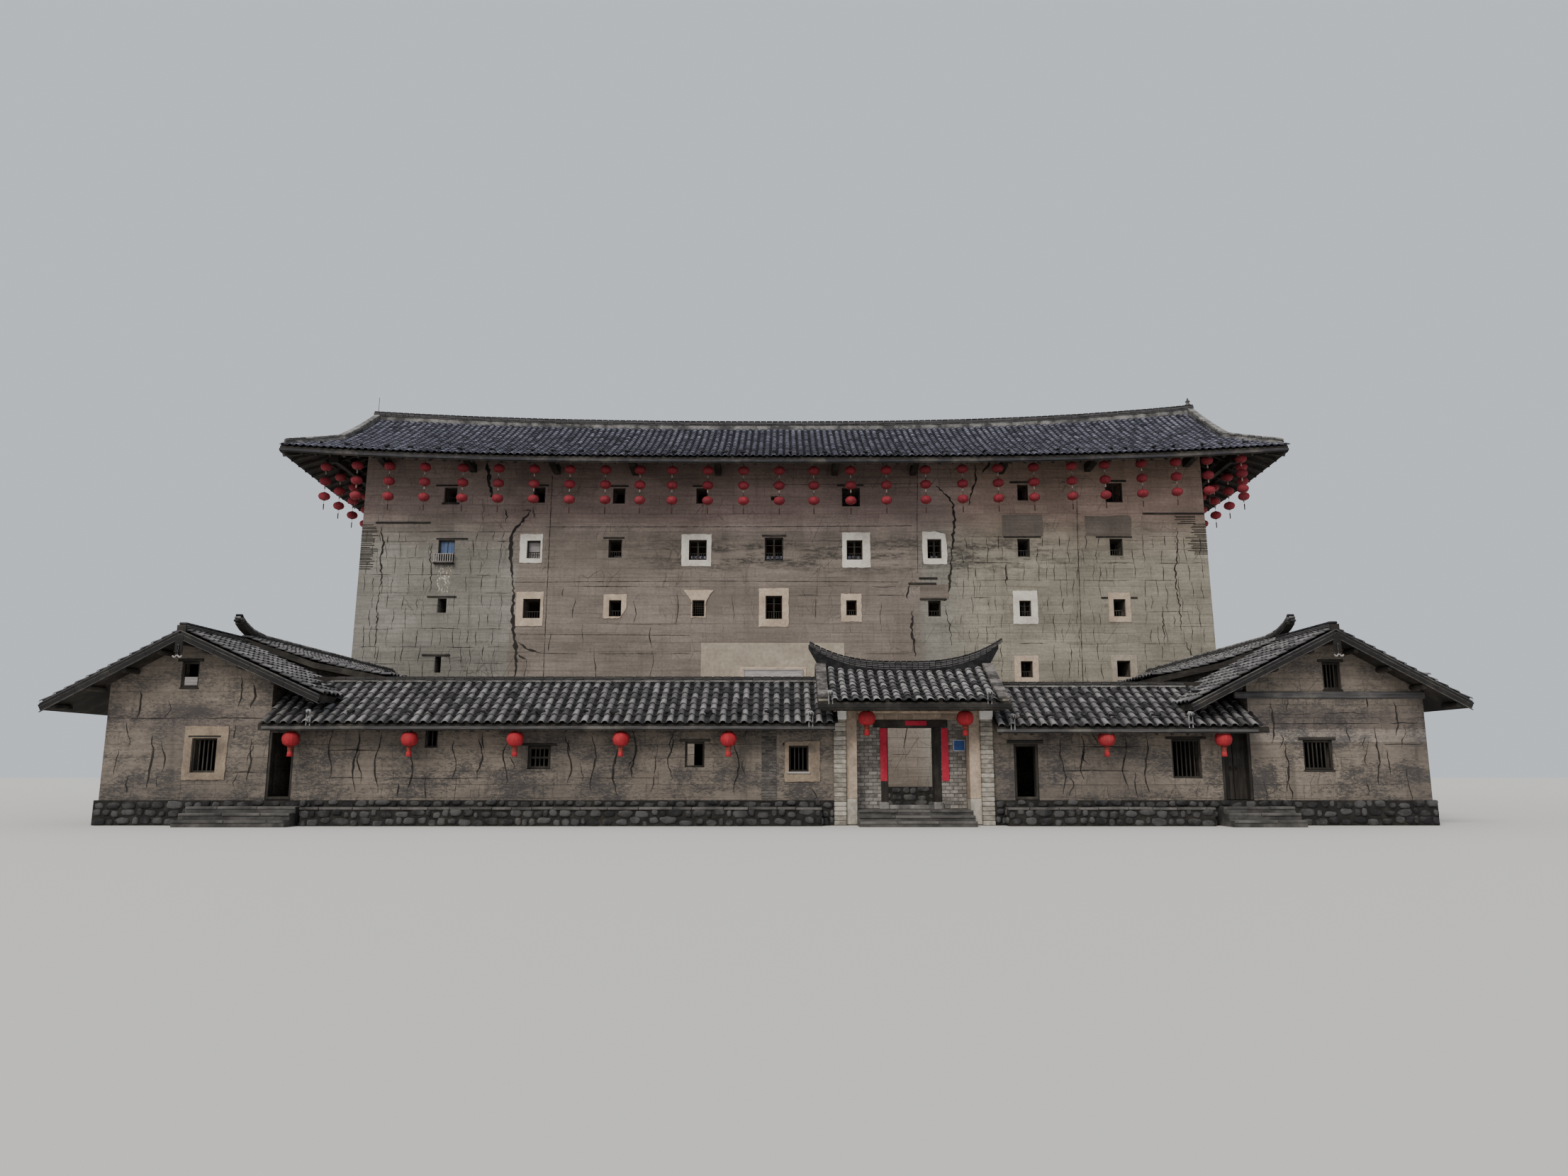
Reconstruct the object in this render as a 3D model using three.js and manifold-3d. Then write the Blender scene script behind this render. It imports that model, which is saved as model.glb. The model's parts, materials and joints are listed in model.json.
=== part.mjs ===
// A five-storey square tulou with its forecourt range, roofed gate and two wings, as a 1:2 model.
// Every size below is the real one in metres; metre turns it into model millimetres.
import * as THREE from "three";
import { mergeVertices } from "three/addons/utils/BufferGeometryUtils.js";
import Module from "manifold-3d";

const wasm = await Module();
wasm.setup();

const metre = 500; // model millimetres for one real metre
const gap = 0.0007; // clearance between pieces that touch
const far = 60; // longer than anything here, for cutting solids

// The earth-walled block. Its front wall's centreline is y = 0 and its axis is x = 0.
const tulou = { halfWidth: 18.3, depth: 28.6, wall: 1.34, batter: 0.18, plinthTop: 0.8, wallTop: 16.5 };
const facadeY = -tulou.wall / 2;
const centreY = facadeY + tulou.depth / 2;
const floorTops = [4.56, 7.15, 9.73, 12.14];
const floorThickness = 0.18;
const ringDepth = 6.45; // facade to courtyard edge
const gallery = { post: 0.22, beam: 0.28, longBays: 5, shortBays: 4, head: 0.25 };

// The main roof: run is the plan distance from eave to ridge.
const roof = {
  overhang: 2.45, run: 5.45, innerRun: 4.77, eave: 14.15, slope: 0.44, hollow: 0.0186,
  eaveLift: 0.5, leftRidgeLift: 0.6, rightRidgeLift: 1.0, gablet: 19.1, sideDrop: 0.5, slab: 0.25,
};
const eaveX = tulou.halfWidth + roof.overhang;
const eaveY = facadeY - roof.overhang;
const ridge = {
  width: 0.34, height: 0.32, endWidth: 0.3, sink: 0.3, vergeHeight: 0.22, innerVerge: 3.2, hipSink: 0.45,
  hipHeight: 0.2, hipInset: 0.12, sideHeight: 0.22, sideSink: 0.15, sideStop: 0.4,
};
// Every fifth column of cover tiles stands raised on the slopes, clear of ridges, hips, valleys and verges.
const tileRib = {
  step: 5,
  pitch: 0.285, width: 0.11, height: 0.085, sink: 0.1, shortest: 0.5,
  eaveStop: 0.02, ridgeStop: 0.22, crestStop: 0.2, hipStop: 0.45, gabletStop: 0.06, valleyLift: 0.15,
};
const purlin = { out: 0.93, width: 0.2, height: 0.22, proud: 0.1, bracketLap: 0.03 };
const bracket = { width: 0.26, depth: 0.34, reach: 1.13, tail: 0.5 };
const bracketsFront = [-17.2, -13.5, -9.85, -6.45, -2.85, 2.2, 5.6, 9.4, 13.2, 17.5];
const sideBracketPitch = 3.7;

// Windows of the front wall as [x, z, width, height], storey by storey from the top.
const frontWindows = [
  [-14.45, 13.24, 0.55, 0.68], [-10.6, 13.24, 0.5, 0.7], [-7.15, 13.2, 0.53, 0.7],
  [-3.55, 13.2, 0.5, 0.7],
  [-0.4, 13.1, 0.33, 0.2], [2.9, 13.15, 0.78, 0.85], [10.35, 13.35, 0.47, 0.72], [14.3, 13.35, 0.75, 0.88],
  [-14.5, 10.76, 0.7, 0.96], [-10.75, 10.82, 0.6, 0.8], [-7.25, 10.86, 0.58, 0.8],
  [-3.7, 10.8, 0.78, 0.9],
  [-0.43, 10.84, 0.79, 1.02], [3.03, 10.8, 0.7, 0.88], [6.46, 10.85, 0.62, 0.87], [10.3, 10.9, 0.53, 0.79],
  [14.28, 10.92, 0.56, 0.75],
  [-14.55, 8.38, 0.38, 0.62], [-10.73, 8.25, 0.75, 0.85], [-7.18, 8.26, 0.54, 0.72],
  [-3.64, 8.26, 0.53, 0.72],
  [-0.43, 8.3, 0.72, 1.02], [2.87, 8.28, 0.46, 0.67], [6.4, 8.25, 0.54, 0.68], [10.26, 8.25, 0.52, 0.7],
  [14.27, 8.28, 0.53, 0.76],
  [-14.58, 5.86, 0.26, 0.68], [10.22, 5.66, 0.52, 0.7], [14.3, 5.68, 0.58, 0.7],
];
const plainWindow = { width: 0.55, height: 0.75 };
const plainRows = [8.25, 10.83, 13.24];
const backColumns = [-14.5, -10.7, -7.2, -3.65, 0, 3.65, 7.2, 10.7, 14.5];
const sideColumns = [4.6, 9.1, 13.63, 18.2, 22.7];
const mainDoor = { x: -0.45, width: 1.9, height: 2.8 };

// Lanterns hanging below the eave, three to a string.
const strings = {
  out: 1.33, radius: 0.235, height: 0.38, heights: [13.9, 13.26, 12.6], tassel: 0.45, cord: 0.02,
  batten: 0.07, over: 0.3, sides: 5,
};
const frontStrings = [
  -16.6, -15.1, -13.5, -12.0, -10.5, -9.0, -7.5, -6.05, -4.7, -3.2, -1.7, -0.2,
  1.25, 2.8, 4.3, 5.95, 7.5, 9.0, 10.5, 12.1, 13.5, 15.05, 16.5, 17.8,
];
const sideStrings = [-1.2, 0.3, 1.8, 3.3, 4.8, 6.3, 7.8];

// The forecourt range along the front, with the gate near its middle.
const range = {
  face: -15.87, wall: 0.4, back: -12.5, podium: 0.665, podiumProud: 0.08, ridgeY: -14.3, eaveOut: 0.7,
  slab: 0.16, leftEave: 2.68, leftRidge: 4.0, rightEave: 2.6, rightRidge: 3.85, ridgeRoll: 0.14,
};
const rangeLeft = { from: -13.4, to: 1.37 };
const rangeRight = { from: 5.69, to: 11.95 };
const rangeWindowsLeft = [
  [-9.66, 2.33, 0.35, 0.51], [-6.69, 1.81, 0.63, 0.63], [-2.44, 1.89, 0.53, 0.69], [0.4, 1.78, 0.55, 0.71],
];
const rangeWindowsRight = [[11.0, 1.78, 0.8, 1.05]];
const shopDoor = { from: 6.28, to: 6.94, top: 2.18 };
const backDoors = { left: -3.2, right: 9.2, width: 1.0, top: 2.5 };
const cornerDoor = {
  top: 2.48, leftTop: 2.55, leaf: 0.05, setback: 0.29, edge: 0.03, meeting: 0.012, end: 0.012, pin: 0.02,
};
// The lower step of the rubble base along the range, and the steps up to the corner doorways.
const bench = { out: 0.37, top: 0.48, left: [-12.9, 1.0], right: [6.0, 11.5] };
const cornerStep = { count: 3, tread: 0.32, left: [-16.0, -13.05], right: [11.75, 13.66] };

// The gate: piers at both sides, a recessed wall with the doorway, and a roof of its own.
const gate = {
  left: 1.37, pier: 0.31, pilaster: 0.3, right: 5.69, doorFrom: 2.88, doorTo: 4.37, floor: 0.4,
  doorTop: 2.66, recess: 0.57, wall: 0.4, proud: 0.1, roofFrom: 0.9, roofTo: 6.01, eaveY: -16.97, eave: 3.24,
  ridgeY: -14.6, ridge: 4.25, backEaveY: -12.1, hollow: 0.05, verge: 0.22, slab: 0.18, tread: 0.3, steps: 3,
  brickVerge: 0.3,
};
const horn = { from: 0.71, to: 6.2, middle: 4.5, rise: 0.55, thick: 0.24, deep: 0.3, sink: 0.1, curve: 2.6 };

// The wings: a gabled house to the front and a longer house behind it. Left and right differ slightly.
const wings = {
  left: { side: -1, wallOut: -18.6, wallIn: -14.1, apexX: -16.4, apex: 5.22, outX: -20.0, outZ: 3.24,
    inX: -12.5, inZ: 3.47, rearRidgeX: -16.45, rearInX: -11.95, rearOutX: -20.55,
    upper: [-16.43, 4.08, 0.49, 0.71], lower: [-15.85, 1.87, 0.7, 0.94], rangeEnd: -13.4 },
  right: { side: 1, wallOut: 17.6, wallIn: 12.76, apexX: 15.0, apex: 5.25, outX: 18.5, outZ: 3.3,
    inX: 10.97, inZ: 3.24, rearRidgeX: 15.3, rearInX: 11.2, rearOutX: 19.5,
    upper: [15.15, 4.04, 0.5, 0.75], lower: [14.6, 1.88, 0.8, 0.8], rangeEnd: 11.95 },
};
const wing = {
  verge: 0.7, slab: 0.18, wall: 0.4, frontBack: -12.85, rearFront: -12.77, rearVerge: 0.43, rearEave: 4.24,
  rearRidge: 5.45, rearOverhang: 0.75, rearHollow: 0.16, ridgeRoll: 0.15, ridgeHalf: 0.12, lintelTop: 3.4,
};
// How the rear ridge rises to its tip, as [distance behind the verge, rise] pairs.
const rearHorn = [[-0.25, 0.42], [0, 0.28], [0.5, 0.1], [1.3, 0]];
const rearDoor = { from: -9.0, to: -7.9, top: 2.7 };
const frontLanterns = { radius: 0.24, height: 0.42, sleeve: 0.26, centre: 2.3, batten: 0.05, out: 0.45 };
const lanternsLeft = [-13.3, -10.1, -7.25, -4.4, -1.5];
const lanternsRight = [8.7, 11.85];
const gateLanterns = { xs: [2.24, 4.9], centre: 2.86 };

// Turns a closed geometry into a solid that can be joined and cut.
function toSolid(geometry) {
  const bare = geometry.index ? geometry : geometry.clone();
  bare.deleteAttribute("normal");
  bare.deleteAttribute("uv");
  const merged = mergeVertices(bare);
  const vertProperties = new Float32Array(merged.attributes.position.array);
  const triVerts = new Uint32Array(merged.index.array);
  return new wasm.Manifold(new wasm.Mesh({ numProp: 3, vertProperties, triVerts }));
}

function joined(solids) {
  return solids.reduce((sum, solid) => sum.add(solid));
}

function cut(solid, tools) {
  return tools.reduce((rest, tool) => rest.subtract(tool), solid);
}

// The largest body of a solid, without the scraps that a cut left loose.
function largest(solid) {
  return solid.decompose().reduce((best, body) => (body.volume() > best.volume() ? body : best));
}

// A block between two corners, in real metres.
function block(x0, x1, y0, y1, z0, z1) {
  const geometry = new THREE.BoxGeometry((x1 - x0) * metre, (y1 - y0) * metre, (z1 - z0) * metre);
  geometry.translate(((x0 + x1) / 2) * metre, ((y0 + y1) / 2) * metre, ((z0 + z1) / 2) * metre);
  return toSolid(geometry);
}

// An outline extruded along one axis. Along x it holds [y, z] points, along y [x, z] and along z [x, y].
function prism(axis, outline, from, to) {
  const shape = new THREE.Shape(outline.map(([u, v]) => new THREE.Vector2(u * metre, v * metre)));
  const geometry = new THREE.ExtrudeGeometry(shape, { depth: (to - from) * metre, bevelEnabled: false });
  if (axis === "x") {
    geometry.applyMatrix4(new THREE.Matrix4().makeBasis(
      new THREE.Vector3(0, 1, 0), new THREE.Vector3(0, 0, 1), new THREE.Vector3(1, 0, 0)));
    geometry.translate(from * metre, 0, 0);
  } else if (axis === "y") {
    geometry.rotateX(Math.PI / 2);
    geometry.translate(0, to * metre, 0);
  } else {
    geometry.translate(0, 0, from * metre);
  }
  return toSolid(geometry);
}

// A solid that runs through closed rings of [across, z] points, one at each station along x or y.
function loft(axis, stations, ringAt) {
  const rings = stations.map((s) => ringAt(s).map(([a, z]) => (
    axis === "x" ? new THREE.Vector3(s, a, z) : new THREE.Vector3(a, s, z)).multiplyScalar(metre)));
  const count = rings[0].length;
  const index = [];
  for (let i = 0; i + 1 < rings.length; i += 1) {
    for (let k = 0; k < count; k += 1) {
      const a = i * count + k;
      const b = i * count + ((k + 1) % count);
      const rising = axis === "x" ? rings[i][k].y < rings[i][(k + 1) % count].y
        : rings[i][k].x < rings[i][(k + 1) % count].x;
      index.push(...(rising ? [a, b, a + count, b, b + count, a + count]
        : [a, b, b + count, a, b + count, a + count]));
    }
  }
  const caps = [0, rings.length - 1].map((i) => THREE.ShapeUtils.triangulateShape(
    rings[i].map((p) => new THREE.Vector2(axis === "x" ? p.y : p.x, p.z)), [])
    .map((face) => face.map((k) => i * count + k)));
  const clockwise = THREE.ShapeUtils.isClockWise(
    rings[0].map((p) => new THREE.Vector2(axis === "x" ? p.y : p.x, p.z)));
  caps[0].forEach(([a, b, c]) => index.push(...(clockwise ? [a, b, c] : [c, b, a])));
  caps[1].forEach(([a, b, c]) => index.push(...(clockwise ? [c, b, a] : [a, b, c])));
  return closedSolid(rings.flat(), index);
}

// Caps from triangulateShape turn with their outline, so the side faces decide which way is out.
function closedSolid(points, index) {
  const volume = (list) => {
    let sum = 0;
    for (let i = 0; i < list.length; i += 3) {
      const [a, b, c] = [points[list[i]], points[list[i + 1]], points[list[i + 2]]];
      sum += a.dot(new THREE.Vector3().crossVectors(b, c));
    }
    return sum;
  };
  const turned = volume(index) > 0 ? index : index.map((v, i) => index[i - (i % 3) + (2 - (i % 3))]);
  const geometry = new THREE.BufferGeometry().setFromPoints(points);
  geometry.setIndex(turned);
  return toSolid(geometry);
}

const band = (top, thickness) => [...top, ...top.map(([a, z]) => [a, z - thickness]).reverse()];
const below = (top, up = gap) => [
  ...top.map(([a, z]) => [a, z + up]), [top.at(-1)[0], -1], [top[0][0], -1]];
const above = (top, thickness) => [
  ...top.map(([a, z]) => [a, z - thickness - gap]), [top.at(-1)[0], far], [top[0][0], far]];

function spaced(from, to, steps) {
  return Array.from({ length: steps + 1 }, (_, i) => from + ((to - from) * i) / steps);
}

// Height of a polyline of [a, z] points at a, for seating pieces on a roof.
function heightOn(top, a) {
  for (let i = 0; i + 1 < top.length; i += 1) {
    const [[a0, z0], [a1, z1]] = [top[i], top[i + 1]];
    if ((a - a0) * (a - a1) <= 0 && a0 !== a1) {
      return z0 + ((z1 - z0) * (a - a0)) / (a1 - a0);
    }
  }
  return top[0][1];
}

// Main roof: the top of the front or back slope pair at x, and of a side slope pair at y.
const flipY = (y, back) => (back ? 2 * centreY - y : y);
const rise = (t) => roof.slope * t + roof.hollow * t * t;

function mainTop(x, back) {
  const out = Math.abs(x) / eaveX;
  const ridgeLift = (x < 0 ? roof.leftRidgeLift : roof.rightRidgeLift) * out ** 2.5;
  const at = (t, y) => {
    const f = t / roof.run;
    return [flipY(y, back), roof.eave + rise(t) + roof.eaveLift * out ** 3 * (1 - f) + ridgeLift * f];
  };
  const outer = spaced(0, roof.run, 3).map((t) => at(t, eaveY + t));
  const inner = spaced(0, roof.innerRun, 2).slice(1).map((d) => at(roof.run - d, eaveY + roof.run + d));
  return [...outer, ...inner];
}

function sideTop(y, side) {
  const out = Math.abs(y - centreY) / (centreY - eaveY);
  const at = (t, x) => [side * x, roof.eave + rise(t) - roof.sideDrop * (t / roof.run)
    + roof.eaveLift * out ** 3 * (1 - t / roof.run)];
  const outer = spaced(0, roof.run, 3).map((t) => at(t, eaveX - t));
  const inner = spaced(0, roof.innerRun, 2).slice(1).map((d) => at(roof.run - d, eaveX - roof.run - d));
  return [...outer, ...inner];
}

const mainStations = spaced(-eaveX, eaveX, 12);
const sideStations = spaced(eaveY, 2 * centreY - eaveY, 6);
const ridgeLineY = eaveY + roof.run;
const innerEaveY = ridgeLineY + roof.innerRun;
const skirt = eaveX - roof.gablet;
const mainFill = (back, up) => loft("x", mainStations, (x) => below(mainTop(x, back), up));
const sideFill = (side, up) => loft("y", sideStations, (y) => below(sideTop(y, side), up));

// What lies above the underside of a front or back roof, and of a side roof, where that roof is.
function mainSky(back) {
  const sky = loft("x", mainStations, (x) => above(mainTop(x, back), roof.slab));
  const [y0, y1] = [flipY(ridgeLineY, back), flipY(far, back)].sort((a, b) => a - b);
  const inner = roof.gablet + gap;
  return cut(sky, [block(-far, -inner, y0, y1, -2, 2 * far), block(inner, far, y0, y1, -2, 2 * far)]);
}

function sideSky(side) {
  const sky = loft("y", sideStations, (y) => above(sideTop(y, side), roof.slab));
  const inner = roof.gablet - gap;
  const backLine = flipY(ridgeLineY, true);
  return cut(sky, [
    block(-inner, inner, -far, ridgeLineY, -2, 2 * far), block(-inner, inner, backLine, far, -2, 2 * far)]);
}

// Where the raised columns of tiles lie between two ends, evenly about their middle.
function ribPlaces(from, to) {
  const { step } = tileRib;
  const count = Math.round((to - from) / tileRib.pitch);
  const first = spaced(0, step - 1, step - 1).find((k) => (count - 1 - 2 * k) % step === 0);
  return spaced(from, to, 2 * count).filter((place, i) => i % (2 * step) === 2 * first + 1);
}

// A raised column of tiles at one place along x or y, on a roof top of [across, z] points.
function rib(axis, at, top, from, to) {
  const [low, high] = [from, to].sort((a, b) => a - b);
  const bends = top.map(([a]) => a).filter((a) => a > low + 0.05 && a < high - 0.05).sort((a, b) => a - b);
  const path = [low, ...bends, high].map((a) => {
    const z = heightOn(top, a);
    return axis === "x" ? [at, a, z] : [a, at, z];
  });
  return bar(path, tileRib.width, tileRib.sink, tileRib.height);
}

// The columns of a roof with a plain ridge, on both slopes of its top.
function plainRibs(axis, places, topAt) {
  return places.flatMap((at) => {
    const top = topAt(at);
    const [first, last] = [top[0], top.at(-1)].map(([a]) => a);
    const crest = top.reduce((best, point) => (point[1] > best[1] ? point : best))[0];
    return [rib(axis, at, top, first + tileRib.eaveStop, crest - tileRib.crestStop),
      rib(axis, at, top, crest + tileRib.crestStop, last - tileRib.eaveStop)];
  });
}

// What a side roof covers of the front or back roof, on the courtyard side of its ridge.
function sideCover(side, back, up) {
  const behindRidge = back ? [-far, flipY(ridgeLineY, true)] : [ridgeLineY, far];
  return sideFill(side, up).intersect(block(
    side < 0 ? -roof.gablet - 1 : 0, side < 0 ? 0 : roof.gablet + 1, ...behindRidge, -1, far));
}

function mainRibs(back) {
  const clear = roof.gablet - ridge.endWidth - 0.1;
  const outer = ribPlaces(-eaveX, eaveX).map((x) => {
    const reach = Math.abs(x) < clear ? roof.run - tileRib.ridgeStop : eaveX - Math.abs(x) - tileRib.hipStop;
    return [x, eaveY + tileRib.eaveStop, eaveY + reach];
  });
  const inner = ribPlaces(-roof.gablet, roof.gablet).filter((x) => Math.abs(x) < clear)
    .map((x) => [x, ridgeLineY + tileRib.ridgeStop, innerEaveY - tileRib.eaveStop]);
  const ribs = [...outer, ...inner].filter(([, from, to]) => to - from > tileRib.shortest)
    .map(([x, from, to]) => rib("x", x, mainTop(x, back), flipY(from, back), flipY(to, back)));
  return cut(joined(ribs), [-1, 1].map((side) => sideCover(side, back, tileRib.valleyLift)));
}

// What the front or back roof covers of the side roofs.
const mainCover = (back, up) => mainFill(back, up)
  .intersect(block(-roof.gablet - gap / 2, roof.gablet + gap / 2, -far, far, -1, far));

function sideRibs(side) {
  const places = ribPlaces(eaveY, flipY(eaveY, true)).map((y) => [y, Math.min(y, flipY(y, true)) - eaveY]);
  const vergeEnd = roof.run + ridge.innerVerge + 0.2;
  const outer = places.map(([y, fromEnd]) => {
    const reach = fromEnd > vergeEnd ? roof.run - tileRib.ridgeStop
      : Math.min(fromEnd - tileRib.hipStop, skirt - tileRib.gabletStop);
    return [y, eaveX - tileRib.eaveStop, eaveX - reach];
  });
  const crest = eaveX - roof.run;
  const inner = places.filter(([, fromEnd]) => fromEnd > roof.run + tileRib.shortest)
    .map(([y]) => [y, crest - tileRib.ridgeStop, crest - roof.innerRun + tileRib.eaveStop]);
  const ribs = [...outer, ...inner].filter(([, from, to]) => from - to > tileRib.shortest)
    .map(([y, from, to]) => rib("y", y, sideTop(y, side), side * from, side * to));
  return cut(joined(ribs), [false, true].map((back) => mainCover(back, tileRib.valleyLift)));
}

// The front or back roof: eave to eave in plan, cut back at 45 degrees where the side skirts begin.
function mainRoof(back) {
  const slab = loft("x", mainStations, (x) => band(mainTop(x, back), roof.slab));
  const plan = [[-eaveX, eaveY - 0.1], [eaveX, eaveY - 0.1], [eaveX, eaveY], [roof.gablet, eaveY + skirt],
    [roof.gablet, innerEaveY + 0.1], [-roof.gablet, innerEaveY + 0.1], [-roof.gablet, eaveY + skirt],
    [-eaveX, eaveY]].map(([x, y]) => [x, flipY(y, back)]);
  const keep = prism("z", plan, 5, far);
  const sides = [-1, 1].map((side) => sideCover(side, back));
  const [y0, y1] = [flipY(eaveY + skirt + 0.1, back), flipY(innerEaveY, back)].sort((a, b) => a - b);
  const gablets = [-1, 1].map((side) => {
    const [x0, x1] = [side * (roof.gablet - 0.35), side * (roof.gablet - 0.15)].sort((a, b) => a - b);
    return block(x0, x1, y0, y1, roof.eave, far).intersect(mainFill(back, -roof.slab / 4))
      .subtract(sideFill(side));
  });
  return largest(joined([cut(slab.intersect(keep), sides), mainRibs(back), ...gablets]));
}

function mainRoofSide(side) {
  const slab = loft("y", sideStations, (y) => band(sideTop(y, side), roof.slab));
  const inner = eaveX - roof.run - roof.innerRun - 0.1;
  const edge = roof.gablet + gap;
  const plan = [
    [eaveX, eaveY + 2 * gap], [edge, eaveY + skirt + gap], [edge, ridgeLineY + gap],
    [inner, ridgeLineY + gap]];
  const mirrored = plan.map(([x, y]) => [x, flipY(y, true)]).reverse();
  const outline = [...plan, ...mirrored].map(([x, y]) => [side * x, y]);
  const kept = slab.intersect(prism("z", side > 0 ? outline.slice().reverse() : outline, 5, far));
  const slopes = cut(kept, [mainCover(false), mainCover(true)]);
  return largest(joined([slopes, sideRibs(side), sideRidge(side)]));
}

// The side roof's ridge bar, stopped where it meets the front and back slopes.
function sideRidge(side) {
  const x = side * (eaveX - roof.run);
  const half = ridge.width / 2;
  const whole = loft("y", sideStations, (y) => {
    const z = heightOn(sideTop(y, side), x);
    return [[x - half, z - ridge.sideSink], [x + half, z - ridge.sideSink], [x + half, z + ridge.sideHeight],
      [x - half, z + ridge.sideHeight]];
  });
  const stop = ridgeLineY + ridge.sideStop;
  const inside = block(-far, far, stop, flipY(stop, true), 0, far);
  return cut(whole.intersect(inside), [mainFill(false, gap), mainFill(true, gap)]);
}

// A bar that follows a path of points and stands on what is below it.
function bar(path, width, down, up) {
  const along = path.map((p) => new THREE.Vector3(...p));
  const points = [];
  along.forEach((p, i) => {
    const [behind, before] = [along[Math.max(i - 1, 0)], along[Math.min(i + 1, along.length - 1)]];
    const ahead = before.clone().sub(behind).setZ(0).normalize();
    const across = new THREE.Vector3(-ahead.y, ahead.x, 0).multiplyScalar(width / 2);
    [[1, -down], [-1, -down], [-1, up], [1, up]].forEach(([hand, lift]) => {
      points.push(p.clone().addScaledVector(across, hand).add(new THREE.Vector3(0, 0, lift)));
    });
  });
  const index = [];
  for (let i = 0; i + 1 < along.length; i += 1) {
    for (let k = 0; k < 4; k += 1) {
      const a = i * 4 + k;
      const b = i * 4 + ((k + 1) % 4);
      index.push(a, b, a + 4, b, b + 4, a + 4);
    }
  }
  const last = (along.length - 1) * 4;
  index.push(0, 2, 1, 0, 3, 2, last, last + 1, last + 2, last, last + 2, last + 3);
  return closedSolid(points.map((p) => p.multiplyScalar(metre)), index);
}

// Ridge, verges and hips of the front or back roof as one piece, seated on the slopes.
function mainRidge(back) {
  const topAt = (x, y) => heightOn(mainTop(x, back), flipY(y, back));
  const pathAlong = (x, ys) => ys.map((y) => [x, flipY(y, back), topAt(x, y)]);
  const along = spaced(-roof.gablet, roof.gablet, 14).flatMap((x) => pathAlong(x, [ridgeLineY]));
  const bars = [bar(along, ridge.width, ridge.sink, ridge.height)];
  [-1, 1].forEach((side) => {
    const x = side * (roof.gablet - ridge.endWidth / 2);
    const foot = eaveY + skirt;
    const outer = pathAlong(x, spaced(foot, ridgeLineY, 5));
    const inner = pathAlong(x, spaced(ridgeLineY, ridgeLineY + ridge.innerVerge, 4));
    bars.push(bar(outer, ridge.endWidth, ridge.sink, ridge.vergeHeight));
    bars.push(bar(inner, ridge.endWidth, ridge.sink, ridge.vergeHeight));
    const hip = spaced(0, skirt, 3).map((t) => {
      const [hipX, hipY] = [side * (eaveX - t), eaveY + t];
      const z = Math.max(topAt(hipX, hipY), heightOn(sideTop(flipY(hipY, back), side), hipX));
      return [hipX - side * ridge.hipInset, flipY(hipY + ridge.hipInset, back), z];
    });
    bars.push(bar(hip, ridge.endWidth, ridge.hipSink, ridge.hipHeight));
  });
  const floorCut = block(-far, far, -far, far, 0, roof.eave - 0.3);
  const whole = joined(bars);
  const edge = roof.gablet + gap;
  const hipEnd = eaveY + skirt + gap;
  const plan = [[-eaveX - 1, eaveY - 1], [eaveX + 1, eaveY - 1], [eaveX + gap, eaveY + gap], [edge, hipEnd],
    [edge, far], [-edge, far], [-edge, hipEnd], [-eaveX - gap, eaveY + gap]];
  const front = mainFill(back).intersect(prism("z", plan.map(([x, y]) => [x, flipY(y, back)]), -1, far));
  return cut(whole, [front, sideFill(-1), sideFill(1), floorCut]);
}

// Walls of the earth block, leaning in by the batter, with their openings and the eave beams' sockets cut.
function battered(x0, x1, y0, y1, lean) {
  const corners = [[x0, y0], [x1, y0], [x1, y1], [x0, y1]];
  const points = [
    ...corners.map(([x, y]) => new THREE.Vector3(x, y, tulou.plinthTop + gap)),
    ...corners.map(([x, y], i) => new THREE.Vector3(x + lean[i][0], y + lean[i][1], tulou.wallTop)),
  ].map((p) => p.multiplyScalar(metre));
  const index = [0, 2, 1, 0, 3, 2, 4, 5, 6, 4, 6, 7];
  for (let k = 0; k < 4; k += 1) {
    const n = (k + 1) % 4;
    index.push(k, n, k + 4, n, n + 4, k + 4);
  }
  return closedSolid(points, index);
}

function skyCuts() {
  return [mainSky(false), mainSky(true), sideSky(-1), sideSky(1)];
}

function longWall(back) {
  const b = tulou.batter;
  const [y0, y1] = [flipY(facadeY, back), flipY(-facadeY, back)].sort((a, c) => a - c);
  const lean = back ? [[b, 0], [-b, 0], [-b, -b], [b, -b]] : [[b, b], [-b, b], [-b, 0], [b, 0]];
  const solid = battered(-tulou.halfWidth, tulou.halfWidth, y0, y1, lean);
  const { width, height } = plainWindow;
  const plain = plainRows.flatMap((z) => backColumns.map((x) => [x, z, width, height]));
  const holes = (back ? plain : frontWindows).map(([x, z, w, h]) => (
    block(x - w / 2, x + w / 2, y0 - 1, y1 + 1, z - h / 2, z + h / 2)));
  if (!back) {
    holes.push(block(mainDoor.x - mainDoor.width / 2, mainDoor.x + mainDoor.width / 2, y0 - 1, y1 + 1, 0,
      tulou.plinthTop + mainDoor.height));
  }
  return cut(solid, [...holes, ...skyCuts(), eaveBeamSolid(gap)]);
}

function sideWall(side) {
  const b = tulou.batter;
  const [x0, x1] = [side * tulou.halfWidth, side * (tulou.halfWidth - tulou.wall)].sort((a, c) => a - c);
  const lean = side < 0 ? [[b, 0], [0, 0], [0, 0], [b, 0]] : [[0, 0], [-b, 0], [-b, 0], [0, 0]];
  const solid = battered(x0, x1, -facadeY + gap, flipY(-facadeY + gap, true), lean);
  const { width, height } = plainWindow;
  const holes = plainRows.flatMap((z) => sideColumns.map((y) => block(
    x0 - 1, x1 + 1, y - width / 2, y + width / 2, z - height / 2, z + height / 2)));
  return cut(solid, [...holes, ...skyCuts(), eaveBeamSolid(gap)]);
}

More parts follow.
